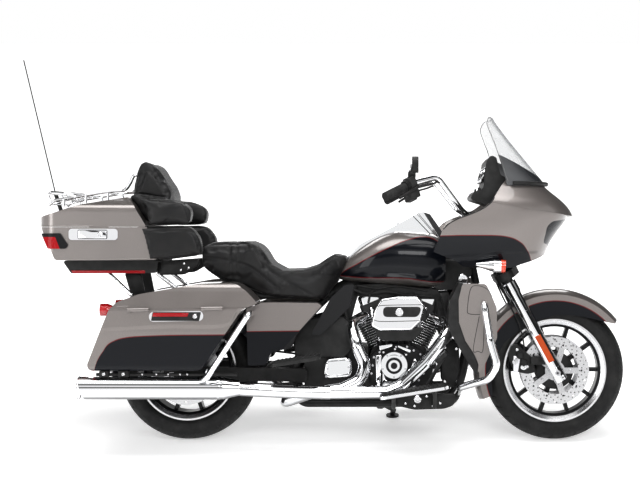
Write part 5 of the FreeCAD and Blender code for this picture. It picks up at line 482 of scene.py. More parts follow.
def cover_metal():
    """Chrome covers, with the gear chest on the right side black around its round cover and in its bands."""
    graph = Graph("engine covers", specular=0.24)
    at = graph.machine()
    low_x, high_x, low_z, high_z = (value * MM for value in CHEST_BLACK)
    chest = graph.maths("MULTIPLY", graph.window(at["X"], low_x, high_x, 0.001),
                        graph.window(at["Z"], low_z, high_z, 0.001))
    radius = graph.radius(CHEST_ROUND)
    beyond = graph.spread(radius, CHEST_ROUND_RADIUS * MM, (CHEST_ROUND_RADIUS + 0.6) * MM)
    bands = graph.maths("MAXIMUM", graph.window(radius, ROUND_GROOVE[0] * MM, ROUND_GROOVE[1] * MM, 0.0005),
                        graph.under(radius, ROUND_EYE * MM, 0.0005))
    black = graph.maths("MULTIPLY", chest, graph.maths("MAXIMUM", beyond, bands))
    dark = graph.maths("MULTIPLY", graph.under(at["Y"], -0.02, 0.001), black)
    graph.set(color=graph.blend(dark, PALE_CHROME, (0.011, 0.011, 0.012, 1)),
              metallic=graph.shift(dark, 1.0, 0.0), rough=graph.shift(dark, 0.06, 0.45))
    graph.bump(graph.noise(900.0, 2.0), 0.05, 0.0004)
    return graph.material


CRANK = (932.0, 330.0)
CYLINDER_ANGLE = 22.5
FIN_RADIUS = 70.0
HEAD_FROM = 250.0


def fin_metal():
    """Black cylinders whose fin edges are machined bright."""
    graph = Graph("finned cylinders")
    dx, dz = graph.offset(CRANK)
    aside = graph.maths("ABSOLUTE", dx)
    sine, cosine = math.sin(math.radians(CYLINDER_ANGLE)), math.cos(math.radians(CYLINDER_ANGLE))
    across = graph.maths("SUBTRACT", graph.maths("MULTIPLY", aside, cosine), graph.maths("MULTIPLY", dz, sine))
    up = graph.maths("ADD", graph.maths("MULTIPLY", aside, sine), graph.maths("MULTIPLY", dz, cosine))
    radius = graph.length(across, graph.machine()["Y"])
    edge = graph.spread(radius, (FIN_RADIUS - 1.6) * MM, (FIN_RADIUS - 0.9) * MM)
    bright = graph.maths("MULTIPLY", edge, graph.under(up, (HEAD_FROM - 1.0) * MM, MM))
    graph.set(color=graph.blend(bright, (0.013, 0.013, 0.014, 1), (0.62, 0.62, 0.63, 1)), metallic=bright,
              rough=graph.shift(bright, 0.45, 0.22))
    graph.bump(graph.noise(900.0, 2.0), 0.2, 0.0005)
    return graph.material


def wheel_metal(name, centre, size):
    """Gloss black wheel with a machined bright outer ring."""
    graph = Graph(name, specular=0.18, coat=0.12, coat_rough=0.05)
    radius = graph.radius(centre)
    bright = graph.spread(radius, size["rim"] * 0.895 * MM, size["rim"] * 0.9 * MM)
    graph.set(color=graph.blend(bright, (0.008, 0.008, 0.009, 1), (0.72, 0.72, 0.73, 1)), metallic=bright,
              rough=graph.shift(bright, 0.3, 0.2))
    graph.bump(graph.tooling(radius, 2600.0), 0.03, 0.0002)
    return graph.material


def disc_steel(name, centre, swept_from):
    """Turned brake steel, paler where the pads run."""
    graph = Graph(name, metallic=1.0, anisotropic=0.4)
    radius = graph.radius(centre)
    rings = graph.tooling(radius, 1800.0)
    inner = graph.blend(rings, (0.50, 0.50, 0.51, 1), (0.62, 0.62, 0.63, 1))
    outer = graph.blend(rings, (0.56, 0.56, 0.57, 1), (0.74, 0.74, 0.75, 1))
    swept = graph.spread(radius, (swept_from - 1) * MM, (swept_from + 1) * MM)
    graph.set(color=graph.blend(swept, inner, outer), rough=graph.spread(rings, 0.2, 0.8, 0.22, 0.36))
    graph.bump(rings, 0.05, 0.0002)
    return graph.material


SLOT_LINES = ((((1006.0, 984.0), (1054.0, 934.0)), 0.0016), (((1022.0, 994.0), (1074.0, 934.0)), 0.0009),
              (((1029.0, 994.0), (1080.0, 934.0)), 0.0009))
GRILLE_EDGE = ((1057.0, 987.0), (1088.0, 938.0))


def console_chrome():
    """Chrome with dark slots across and a black grille over its front end."""
    graph = Graph("console chrome")
    dark = graph.spread(graph.past(GRILLE_EDGE), -CUT_SOFT, CUT_SOFT)
    for edge, half in SLOT_LINES:
        slot = graph.under(graph.maths("ABSOLUTE", graph.past(edge)), half, CUT_SOFT)
        dark = graph.maths("MAXIMUM", dark, slot)
    graph.set(color=graph.blend(dark, (0.86, 0.87, 0.88, 1), DEEP_BLACK), metallic=graph.shift(dark, 1.0, 0.0),
              rough=graph.shift(dark, 0.09, 0.5))
    graph.bump(graph.noise(260.0, 1.0), 0.02, 0.0003)
    graph.bump(graph.maths("MULTIPLY", graph.cells(260.0), dark), 0.5, 0.0015)
    return graph.material


# Lamps and the windshield

PRISM_SCALE = 160.0
LAMP_EDGE = ((-530.0, 903.0), (-510.0, 852.0))
FRONT_LENS_FROM, REAR_LENS_TO = 1367.0, -282.0
LENS_SOFT = 0.4
SHIELD_TINT = [(1300, 1275), (1362, 1257), (1398, 1243), (1479, 1204), (1537, 1174), (1600, 1140)]


def lamp_glass():
    """Clear lens that shows dark housings behind it."""
    graph = Graph("headlamp glass", specular=0.1, coat=0.15, coat_rough=0.02, alpha=0.88)
    graph.set(color=graph.blend(graph.noise(24.0), (0.010, 0.0105, 0.012, 1), (0.045, 0.046, 0.05, 1)),
              rough=graph.spread(graph.noise(18.0), 0.3, 0.8, 0.03, 0.08))
    return graph.material


def lens(name, colour):
    """Coloured moulded lens with a fine prism pattern inside."""
    graph = Graph(name, rough=0.12, specular=0.2, coat=0.4, coat_rough=0.03)
    graph.set(color=graph.blend(graph.noise(30.0), colour, tuple(c * 0.8 for c in colour[:3]) + (1,)))
    graph.bump(graph.cells(PRISM_SCALE), 0.6, 0.0015)
    return graph.material


def tail_lamp():
    """Red lens below and behind a black surround."""
    graph = Graph("tail lamp", specular=0.12, coat_rough=0.03)
    above = graph.maths("SUBTRACT", graph.machine()["Z"], LAMP_EDGE[0][1] * MM)
    dark = graph.spread(graph.maths("MAXIMUM", above, graph.past(LAMP_EDGE)), -CUT_SOFT, CUT_SOFT)
    red = graph.blend(graph.noise(30.0), (0.36, 0.003, 0.007, 1), (0.27, 0.002, 0.005, 1))
    graph.set(color=graph.blend(dark, red, (0.01, 0.01, 0.011, 1)), rough=graph.shift(dark, 0.12, 0.4),
              coat=graph.shift(dark, 0.25, 0.1))
    graph.bump(graph.maths("MULTIPLY", graph.cells(PRISM_SCALE), graph.shift(dark, 1.0, 0.0)), 0.6, 0.0015)
    return graph.material


def turn_lamp_metal():
    """Chrome bodies with an amber-red lens at the front ends and red ones behind."""
    graph = Graph("turn lamps")
    at = graph.machine()
    front = graph.spread(at["X"], (FRONT_LENS_FROM - LENS_SOFT) * MM, (FRONT_LENS_FROM + LENS_SOFT) * MM)
    rear = graph.under(at["X"], (REAR_LENS_TO - LENS_SOFT) * MM, 2 * LENS_SOFT * MM)
    outboard = graph.spread(graph.maths("ABSOLUTE", at["Y"]), 0.118, 0.1185)
    lit = graph.maths("MAXIMUM", front, graph.maths("MULTIPLY", rear, outboard))
    colour = graph.blend(front, (0.5, 0.006, 0.01, 1), (0.62, 0.045, 0.008, 1))
    graph.set(color=graph.blend(lit, PALE_CHROME, colour), metallic=graph.shift(lit, 1.0, 0.0),
              rough=graph.spread(graph.noise(30.0, 5.0), 0.3, 0.8, 0.04, 0.1), coat=graph.shift(lit, 0.0, 1.0))
    graph.bump(graph.maths("MULTIPLY", graph.cells(180.0), lit), 0.5, 0.0012)
    return graph.material


def shield_sheet():
    """Clear sheet whose foot is smoked, darkest along the tint's upper edge, with painted shade that greys it and
    makes it less see-through where it is seen edge-on.
    """
    graph = Graph("windshield", specular=0.2, ior=1.3)
    depth = graph.below(SHIELD_TINT)
    fade = graph.spread(depth, 0.004, 0.075, 1.0, 0.86)
    ahead = graph.spread(graph.machine()["X"], 1.36, 1.53, 0.9, 1.0)
    tint = graph.maths("MULTIPLY", graph.maths("MULTIPLY", graph.spread(depth, 0.0, 0.003), fade), ahead)
    # Painted shade: darker grey and less see-through where the sheet is seen edge-on
    facing = graph.node("LayerWeight", 0.35).outputs["Facing"]
    edge = graph.spread(facing, 0.45, 1.0)
    clear = graph.blend(edge, (0.55, 0.56, 0.57, 1), (0.22, 0.23, 0.24, 1))
    smoke = graph.spread(tint, 0.0, 1.0, 0.0, 0.96, smooth=False)
    graph.set(color=graph.blend(tint, clear, (0.02, 0.021, 0.024, 1)),
              rough=graph.spread(graph.noise(18.0), 0.3, 0.8, 0.02, 0.04),
              alpha=graph.maths("MAXIMUM", smoke, graph.shift(edge, 0.2, 0.85)))
    return graph.material


# Looks that pieces share: a material with its slot

BRIGHT = (chrome(), "chrome")
SATIN = (grained("satin black"), "black_metal")
PLASTIC = (grained("black plastic", 0.014, (0.4, 0.52), 700.0, 0.3), "black_plastic")
SATIN_TRIM = (SATIN[0], "black_plastic")
COOLER = (PLASTIC[0], "black_metal")
SOFT = (rubber("rubber"), "rubber")
SWITCHES = (SOFT[0], "black_metal")
ALLOY = (brushed("machined alloy", (0.66, 0.66, 0.68), (0.2, 0.32), (1, 1, 6)), "satin_alloy")
STEEL = (ALLOY[0], "steel")
SILVERED = (silver_paint(), "paint_silver")
RED = (lens("red reflector", (0.33, 0.004, 0.008, 1)), "red_lens")
AMBER = (lens("amber reflector", (0.5, 0.07, 0.008, 1)), "amber_lens")
SHEET_RIM = (grained("sheet edge", 0.1, (0.2, 0.3)), "clear_shield")
HIDE = (leather(), "leather")
THREAD = (rubber("thread", 0.03), "leather")
TYRE = (tyre_rubber(), "tyre")

DRESSED = (
    (two_tone("paint bag", lambda graph: graph.below(BAG_TONE), BAG_CREASE),
     ("saddlebag_left", "saddlebag_right")),
    (two_tone("paint fairing", lambda graph: graph.below(FAIRING_TONE), FAIRING_CREASE), ("fairing",)),
    (two_tone("paint tank", tank_panel), ("fuel_tank",)),
    (two_tone("paint front mudguard", fender_band), ("front_fender",)),
    (cover_paint(), ("side_covers",)),
    (SILVERED[0], ("bag_lid_left", "bag_lid_right", "top_case", "top_case_lid", "lower_fairings")),
    (ink_paint(), ("rear_fender",)),
    (cover_metal(), ("engine_covers",)),
    (BRIGHT[0], ("primary_cover", "air_cleaner", "mufflers", "exhaust_pipes", "engine_guard", "bag_guards",
                 "bezels_and_latch", "fuel_door", "handlebar", "fork_legs", "luggage_rack")),
    (turn_lamp_metal(), ("turn_lamps",)),
    (console_chrome(), ("console",)),
    (SATIN[0], ("frame_backbone", "frame_cradle", "frame_rear", "swingarm", "rear_shocks", "engine_case",
                "foot_gear", "pillion_footboards", "plate_bracket", "fork_yokes", "front_calipers",
                "side_stand", "antenna", "hand_controls")),
    (PLASTIC[0], ("case_base", "dash", "headlamp_housings", "radiator_shrouds")),
    (fin_metal(), ("cylinders",)),
    (SOFT[0], ("drive_belt", "grips")),
    (HIDE[0], ("seat", "backrest", "speaker_pods")),
    (shield_sheet(), ("windshield",)),
    (lamp_glass(), ("headlamp_lenses",)),
    (tail_lamp(), ("case_lamps",)),
    (wheel_metal("front wheel metal", FRONT_AXLE, FRONT_TYRE), ("front_rim",)),
    (wheel_metal("rear wheel metal", REAR_AXLE, REAR_TYRE), ("rear_rim",)),
    (disc_steel("front disc steel", FRONT_AXLE, 104.0), ("front_discs",)),
    (disc_steel("rear disc steel", REAR_AXLE, 100.0), ("rear_disc_and_pulley",)),
    (brushed("axle steel", (0.6, 0.6, 0.62), (0.2, 0.35), (1, 8, 1)), ("front_axle",)))


def dress_solids():
    for material, nodes in DRESSED:
        for node in nodes:
            obj = frame["nodes"][node]
            for slot in obj.material_slots:
                slot.material = material
            if not obj.material_slots:
                obj.data.materials.append(material)


# Mesh tools, in millimetres of the upright machine

def piece(name, bm, look, body="chassis", smooth=30.0, replaces=()):
    """Turns a drawn mesh into an object of the row frame that rides on a body."""
    bm.transform(TO_ROW)
    bmesh.ops.recalc_face_normals(bm, faces=bm.faces)
    mesh = bpy.data.meshes.new(name)
    bm.to_mesh(mesh)
    bm.free()
    obj = link(bpy.data.objects.new(name, mesh))
    material, slot = look
    mesh.materials.append(material)
    mesh.shade_smooth()
    mesh.set_sharp_from_angle(angle=math.radians(smooth))
    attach(obj, body)
    if replaces:
        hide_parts(*replaces)


def along(origin, axis, up=(0, 0, 1)):
    """Matrix whose Z runs along axis from origin."""
    z = Vector(axis).normalized()
    x = Vector(up).cross(z)
    if x.length < 1e-4:
        x = Vector((1, 0, 0)).cross(z)
    x.normalize()
    return Matrix.Translation(Vector(origin)) @ Matrix((x, z.cross(x), z)).transposed().to_4x4()


def lifted(place, height):
    return place @ Matrix.Translation((0, 0, height))


def loops(bm, rings, around=False):
    """Skins rings of points, all of one length, and caps both ends or joins them."""
    made = [[bm.verts.new(point) for point in ring] for ring in rings]
    for low, high in zip(made, made[1:] + made[:1] if around else made[1:]):
        for i in range(len(low)):
            j = (i + 1) % len(low)
            bm.faces.new((low[i], low[j], high[j], high[i]))
    if not around:
        bm.faces.new(list(reversed(made[0])))
        bm.faces.new(made[-1])


def circle(place, radius, height, count, six=False):
    """Points about the Z axis of place, on a circle or a hexagon."""
    points = []
    for i in range(count):
        angle = 2 * math.pi * i / count
        r = radius / math.cos(angle % (math.pi / 3) - math.pi / 6) if six else radius
        points.append(place @ Vector((r * math.cos(angle), r * math.sin(angle), height)))
    return points


def lathe(bm, profile, place, segments=48):
    """Turns a profile of (radius, height) about the Z axis of place."""
    loops(bm, [circle(place, radius, height, segments) for radius, height in profile])


def hoop(bm, place, radius, tube, height=0.0):
    """Round ring about the Z axis of place."""
    sweep(bm, circle(place, radius, height, 40), tube, 8, closed=True)


def bolt(bm, at, axis, radius, height):
    """Cap screw with a chamfered head and a six-sided socket."""
    place = along(at, axis)
    chamfer = radius * 0.18
    steps = [(radius, 0, False), (radius, height - chamfer, False), (radius - chamfer, height, False),
             (radius * 0.5, height, True), (radius * 0.5, height * 0.45, True),
             (radius * 0.1, height * 0.45, True)]
    loops(bm, [circle(place, size, z, 24, six) for size, z, six in steps])


def smooth_path(points, steps=8):
    """Points along a curve through the given points."""
    path = []
    padded = [Vector(p) for p in (points[0], *points, points[-1])]
    for i in range(1, len(padded) - 2):
        p0, p1, p2, p3 = padded[i - 1:i + 3]
        for k in range(steps):
            t = k / steps
            path.append(0.5 * ((2 * p1) + (p2 - p0) * t + (2 * p0 - 5 * p1 + 4 * p2 - p3) * t * t
                               + (3 * p1 - p0 - 3 * p2 + p3) * t ** 3))
    path.append(padded[-1])
    return path


def sweep(bm, path, radius, segments=12, closed=False):
    """Round tube along a path; radius may be a number or a function of the share of length."""
    path = [Vector(p) for p in path]
    count = len(path)
    normal = None
    rings = []
    for i, point in enumerate(path):
        ahead = path[(i + 1) % count] if closed or i + 1 < count else point
        behind = path[i - 1] if closed or i else point
        tangent = (ahead - behind).normalized()
        if normal is None:
            normal = tangent.orthogonal().normalized()
        normal = (normal - tangent * normal.dot(tangent)).normalized()
        r = radius(i / max(count - 1, 1)) if callable(radius) else radius
        turn = Matrix((normal, tangent.cross(normal), tangent)).transposed().to_4x4()
        rings.append(circle(Matrix.Translation(point) @ turn, r, 0.0, segments))
    loops(bm, rings, around=closed)


def rounded_outline(points, radius, steps=6):
    """Closed outline (u, v) with its corners rounded by one radius."""
    made = []
    for i, at in enumerate(points):
        before, at, after = Vector(points[i - 1]), Vector(at), Vector(points[(i + 1) % len(points)])
        r = min(radius, (at - before).length * 0.45, (after - at).length * 0.45)
        start = at + (before - at).normalized() * r
        end = at + (after - at).normalized() * r
        for k in range(steps + 1):
            t = k / steps
            made.append(start.lerp(at, t).lerp(at.lerp(end, t), t))
    return made


def rectangle(low_u, low_v, high_u, high_v, radius, steps=6):
    return rounded_outline([(low_u, low_v), (high_u, low_v), (high_u, high_v), (low_u, high_v)], radius, steps)


def plate(bm, outline, place, thickness, edge=0.0):
    """Flat plate from an outline in the plane of place, its upper edge softened by edge."""
    middle = sum(outline, Vector((0, 0))) / len(outline)
    rings = []
    for height, inward in ((0.0, 0.0), (thickness - edge, 0.0), (thickness - edge * 0.3, edge * 0.4),
                           (thickness, edge)):
        moved = [point + (middle - point).normalized() * inward for point in outline]
        rings.append([place @ Vector((u, v, height)) for u, v in moved])
    loops(bm, rings)


def side_place(y, side):
    """Plane seen from one side: its u is the machine's X, v is Z, and its height goes outward from y."""
    return Matrix(((1, 0, 0, 0), (0, 0, side, side * y), (0, 1, 0, 0), (0, 0, 0, 1)))


def ring_of(centre, radius, count, start=0.0):
    """Points (x, z) evenly round a centre."""
    angles = [math.radians(start) + 2 * math.pi * i / count for i in range(count)]
    return [(centre[0] + radius * math.cos(angle), centre[1] + radius * math.sin(angle)) for angle in angles]


def drawn_in(points, share):
    """Corners and middles of an outline, drawn toward its middle by a share."""
    middle = Vector((sum(p[0] for p in points), sum(p[1] for p in points))) / len(points)
    made = []
    for a, b in zip(points, points[1:] + points[:1]):
        for point in (Vector(a), (Vector(a) + Vector(b)) / 2):
            made.append(tuple(point.lerp(middle, share)))
    return made


# Pieces made of many like parts

def bolts(name, look, sets, body="chassis"):
    """Cap screws on the sides, in sets of (sides, face y, head radius, head height, points (x, z))."""
    bm = bmesh.new()
    for sides, face, radius, height, points in sets:
        for side in sides:
            for x, z in points:
                bolt(bm, (x, side * face, z), (0, side, 0), radius, height)
    piece(name, bm, look, body)


def turned(name, look, sets, body="chassis", smooth=30.0):
    """Parts turned across the machine, in sets of (sides, face y, segments, profile, points (x, z))."""
    bm = bmesh.new()
    for sides, face, segments, profile, points in sets:
        for side in sides:
            for x, z in points:
                lathe(bm, profile, along((x, side * face, z), (0, side, 0)), segments)
    piece(name, bm, look, body, smooth)


def plates(name, look, sides, parts, body="chassis", smooth=35.0):
    """Flat plates on the sides, each as (corners (x, z), corner radius, y, thickness, edge)."""
    bm = bmesh.new()
    for corners, radius, y, thickness, edge in parts:
        for side in sides:
            plate(bm, rounded_outline(corners, radius), side_place(y, side), thickness, edge)
    piece(name, bm, look, body, smooth)


def tubes(name, look, parts, body="chassis", sides=LEFT, steps=8, segments=10, smooth=50.0):
    """Round rods, each as (points, radius, closed)."""
    bm = bmesh.new()
    for points, radius, closed in parts:
        for side in sides:
            path = [(x, side * y, z) for x, y, z in points]
            sweep(bm, path if closed else smooth_path(path, steps), radius, segments, closed)
    piece(name, bm, look, body, smooth)


LINE_JUMP = 0.03


def lines(name, look, node, sides, parts, body="chassis", proud=0.0):
    """Thin beads laid on a solid's sides, each as (points (x, z), radius)."""
    bm = bmesh.new()
    tree = surface_tree(frame["nodes"][node])
    for points, radius in parts:
        for side in sides:
            run = []
            for at, normal in side_seam(tree, points, side):
                if run and (at - run[-1][0]).length > LINE_JUMP:
                    break
                run.append((at, normal))
            path = [TO_MACHINE @ at + (TO_MACHINE.to_3x3() @ normal).normalized() * proud for at, normal in run]
            if len(path) > 2:
                sweep(bm, path, radius, 8)
    piece(name, bm, look, body, 60.0)


# Tyres

TREAD_PITCH = 34
TREAD_DEPTH = 3.6
SIPE_DEPTH = 1.92
MIDDLE_GROOVE_DEPTH = 2.88
TREAD_SLANT = 0.121
WALL_STEPS, CROWN_STEPS = 16, 30
WALL_RIDGES, WALL_RIDGE = (3, 4, 12), 0.9

# Shares of one pitch where a cut of that kind starts or ends
PITCH_CUTS = ((0.0, None), (0.02, "left"), (0.12, "left"), (0.14, None), (0.30, None), (0.315, "left sipe"),
              (0.34, "left sipe"), (0.355, None), (0.5, None), (0.52, "right"), (0.62, "right"), (0.64, None),
              (0.80, None), (0.815, "right sipe"), (0.84, "right sipe"), (0.855, None))


def tyre_section(size):
    """Points (radius, y) from bead to bead over the crown, with their share of the half tread."""
    radius, rim, crown = size["radius"], size["rim"], size["crown"]
    shoulder_y = size["width"] * 0.42
    shoulder_r = radius - crown + math.sqrt(crown ** 2 - shoulder_y ** 2)
    start = Vector((rim, size["rim_width"] / 2))
    middle = Vector((rim + (shoulder_r - rim) * 0.5, size["width"] / 2))
    end = Vector((shoulder_r, shoulder_y))
    wall = []
    for i in range(WALL_STEPS):
        t = i / WALL_STEPS
        curve = start.lerp(middle, t).lerp(middle.lerp(end, t), t)
        point = curve + (middle - (start + end) / 2) * (t * (1 - t))
        wall.append((point[0], point[1] + (WALL_RIDGE if i in WALL_RIDGES else 0.0), None))
    tread = []
    for i in range(CROWN_STEPS + 1):
        y = shoulder_y * (1 - 2 * i / CROWN_STEPS)
        tread.append((radius - crown + math.sqrt(crown ** 2 - y ** 2), y, y / shoulder_y))
    return wall + tread + [(r, -y, share) for r, y, share in reversed(wall)]


def groove(cut, share):
    """Depth of the tread pattern in a column of a cut's kind, at a share across the tread."""
    across = abs(share)
    depth = MIDDLE_GROOVE_DEPTH if abs(across - 0.10) < 0.03 else 0.0
    wanted = "left" if share > 0 else "right"
    if cut == wanted and 0.22 < across < 0.94:
        depth = TREAD_DEPTH
    if cut == wanted + " sipe" and 0.45 < across < 0.80:
        depth = SIPE_DEPTH
    return depth


def build_tyre(name, size, centre, body, node):
    rings = []
    for k in range(TREAD_PITCH):
        for start, cut in PITCH_CUTS:
            ring = []
            for radius, y, share in tyre_section(size):
                on_tread = share is not None
                back = TREAD_SLANT * (1 - (1 - abs(share)) ** 1.6) if on_tread else TREAD_SLANT
                angle = 2 * math.pi * (k + start) / TREAD_PITCH + back
                r = radius - groove(cut, share) if on_tread else radius
                ring.append((centre[0] + r * math.cos(angle), y, centre[1] + r * math.sin(angle)))
            rings.append(ring)
    bm = bmesh.new()
    loops(bm, rings, around=True)
    piece(name, bm, TYRE, body, 38.0, (node,))


# Leather

VOXEL, SEAT_VOXEL = 0.0055, 0.0062
SMOOTH_ROUNDS = 14
CLOTH_FRAMES = 20
CLOTH_PRESSURE = 4.0
SEAM_STEP = 4.0
SEAM_BREAK = 0.05
STITCH_LENGTH = 2.8
STITCH_RADIUS = 0.42
STITCH_OFFSET = 2.6


def settled_copy(obj):
    """The object's mesh with its modifiers worked in."""
    graph = bpy.context.evaluated_depsgraph_get()
    return bpy.data.meshes.new_from_object(obj.evaluated_get(graph))


def modified(obj, kind, **settings):
    """Works one modifier into the object's mesh."""
    modifier = obj.modifiers.new(kind.lower(), kind)
    for name, value in settings.items():
        setattr(modifier, name, value)
    mesh = settled_copy(obj)
    obj.modifiers.clear()
    obj.data = mesh


def soft_form(name, node, voxel):
    """Copy of a soft solid, remeshed evenly with its edges rounded off."""
    obj = link(bpy.data.objects.new(name, frame["nodes"][node].data.copy()))
    modified(obj, "REMESH", mode="VOXEL", voxel_size=voxel)
    modified(obj, "SMOOTH", factor=0.5, iterations=SMOOTH_ROUNDS)
    return obj


def inflate(obj, cap):
    """Lets the skin of a cushion settle under pressure, each point held within cap metres of its place."""
    rest = [v.co.copy() for v in obj.data.vertices]
    settings = obj.modifiers.new("skin", "CLOTH").settings
    settings.use_pressure = True
    settings.uniform_pressure_force = CLOTH_PRESSURE
    settings.effector_weights.gravity = 0.0
    settings.quality = 4
    scene = bpy.context.scene
    for number in range(1, CLOTH_FRAMES + 1):
        scene.frame_set(number)
    mesh = settled_copy(obj)
    obj.modifiers.clear()
    for vertex, before in zip(mesh.vertices, rest):
        step = vertex.co - before
        if step.length > cap:
            vertex.co = before + step * (cap / step.length)
    obj.data = mesh
    scene.frame_set(1)


def surface_tree(obj):
    return BVHTree.FromObject(obj, bpy.context.evaluated_depsgraph_get())


def cast(tree, at, way):
    """Where a ray from a point of the machine meets a surface, with the normal there, or None."""
    hit = tree.ray_cast(TO_ROW @ Vector(at), (TO_ROW.to_3x3() @ Vector(way)).normalized())
    return None if hit[0] is None else hit[:2]


SIDE_REACH, TOP_REACH = 600.0, 1800.0


def side_seam(tree, points, side):
    """Points (x, z) on a curve, laid onto a surface from one side."""
    path = smooth_path([(x, 0.0, z) for x, z in points])
    hits = [cast(tree, point + Vector((0, side * SIDE_REACH, 0)), (0, -side, 0)) for point in path]
    return [hit for hit in hits if hit]


def top_seam(tree, points):
    path = smooth_path([(x, y, 0.0) for x, y in points])
    hits = [cast(tree, point + Vector((0, 0, TOP_REACH)), (0, 0, -1)) for point in path]
    return [hit for hit in hits if hit]


def resampled(seam):
    """Points and normals at even steps along a seam."""
    made = []
    carry = 0.0
    for (a, na), (b, nb) in zip(seam, seam[1:]):
        length = (b - a).length
        if length > SEAM_BREAK or length == 0:
            continue
        at = carry
        while at < length:
            share = at / length
            made.append((a.lerp(b, share), na.lerp(nb, share).normalized()))
            at += SEAM_STEP * MM
        carry = at - length
    return made


def press_seams(obj, seams, width, depth):
    """Draws the skin in along the seams, by depths and over widths in metres."""
    points = [point for seam in seams for point, _ in resampled(seam)]
    tree = KDTree(len(points))
    for i, point in enumerate(points):
        tree.insert(point, i)
    tree.balance()
    normals = [v.normal.copy() for v in obj.data.vertices]
    for vertex, normal in zip(obj.data.vertices, normals):
        distance = tree.find(vertex.co)[2]
        if distance < width * 3:
            vertex.co -= normal * (depth * math.exp(-(distance / width) ** 2))


def stitches(name, seams, body):
    """Two rows of thread, one each side of every seam."""
    bm = bmesh.new()
    turn = TO_MACHINE.to_3x3()
    for seam in seams:
        points = [(TO_MACHINE @ p, (turn @ n).normalized()) for p, n in resampled(seam)]
        for (a, normal), (b, _) in zip(points, points[1:]):
            ahead = b - a
            if ahead.length > SEAM_STEP * 3 or ahead.length < 0.01:
                continue
            ahead.normalize()
            side = normal.cross(ahead).normalized()
            half = ahead * STITCH_LENGTH / 2
            for sign in BOTH:
                middle = a + side * (sign * STITCH_OFFSET) + normal * 0.1
                sweep(bm, [middle - half - normal * 0.4, middle + normal * 0.25, middle + half - normal * 0.4],
                      STITCH_RADIUS, 5)
    piece(name, bm, THREAD, body, 60.0)


def cushion(name, node, body, cap, voxel, side_lines, top_lines, *presses):
    """Leather over a soft solid, drawn in along its seams before and after it is refined, and stitched."""
    obj = soft_form(name + "_leather", node, voxel)
    inflate(obj, cap)
    tree = surface_tree(obj)
    seams = [side_seam(tree, line, side) for side in BOTH for line in side_lines]
    seams += [top_seam(tree, line) for line in top_lines]
    press_seams(obj, seams, *presses[0])
    modified(obj, "SUBSURF", levels=1, render_levels=1)
    for press in presses[1:]:
        press_seams(obj, seams, *press)
    obj.data.materials.clear()
    obj.data.materials.append(HIDE[0])
    obj.data.shade_smooth()
    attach(obj, body)
    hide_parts(node)
    stitches(name + "_stitches", seams, body)


SEAT_SIDE_SEAM = [(84, 812), (194, 799), (277, 774), (338, 735), (415, 674)]
SEAT_CREST_SEAM = [(300, 858), (338, 796), (388, 746), (470, 696), (559, 648)]
SEAT_NOSE_SEAM = [(565, 738), (653, 727)]
SEAT_WELTS = [[(x, 730), (x, 790), (x, 852)] for x in (197.0, 228.0)]
SEAT_TOP_WELTS = [[(x, -150), (x, -60), (x, 60), (x, 150)] for x in (197.0, 228.0)]
BACKREST_SEAMS = [[(-190, 1082), (-120, 1064), (-20, 1058), (20, 1040), (40, 990)],
                  [(-195, 1130), (-165, 1190), (-120, 1160)]]
POD_SEAM = [(-150, 925), (30, 930), (70, 900), (86, 840)]
SOFT_PRESS, SHARP_PRESS, POD_PRESS = (0.007, 0.005), (0.0022, 0.0016), (0.005, 0.003)


def build_leather():
    seat_lines = [SEAT_SIDE_SEAM, SEAT_CREST_SEAM, SEAT_NOSE_SEAM, *SEAT_WELTS]
    cushion("seat", "seat", "chassis", 0.008, SEAT_VOXEL, seat_lines, SEAT_TOP_WELTS, SOFT_PRESS, SHARP_PRESS)
    cushion("backrest", "backrest", "top_case_lid", 0.008, VOXEL, BACKREST_SEAMS, (), SOFT_PRESS, SHARP_PRESS)
    cushion("speaker_pod", "speaker_pods", "chassis", 0.004, VOXEL, [POD_SEAM], (), POD_PRESS)


# Engine

PRIMARY_FACE = 148.0
DERBY = {"at": (700.0, 315.0), "bolts": 69.72, "face": 160.0}
CAM = {"at": (913.0, 345.0), "bolts": 51.5, "face": 164.0}
CHEST_FACE = 116.0
GEARBOX_COVER_FACE = 148.0
AIR_CLEANER_FACE = 236.0
TAPPET_Y = 112.0
AIR_CLEANER_BACK_Y = 168.0
PRIMARY_OUTLINE = [(560, 270), (575, 400), (760, 410), (930, 425), (1090, 400), (1110, 290), (1060, 205),
                   (760, 215), (600, 215)]
CHEST_OUTLINE = [(800, 300), (812, 380), (868, 430), (975, 432), (1040, 395), (1056, 300),
                 (1010, 235), (860, 230)]
GEARBOX_COVER_CORNERS = [(600, 282), (732, 292), (732, 382), (613, 372)]
INSERT_OUTLINE = [(866, 560), (866, 604), (1032, 604), (1018, 560)]
EMBLEM_AT = (936.0, 580.5)
FIN_HALF = (104.0, 80.0)
FIN_SPAN = (112.0, 244.0)
FIN_COUNT = 13
FIN_THICKNESS = 3.4
COOLER_AT, COOLER_FROM_Z, COOLER_PITCH, COOLER_FINS = 1130, 268, 12.0, 13


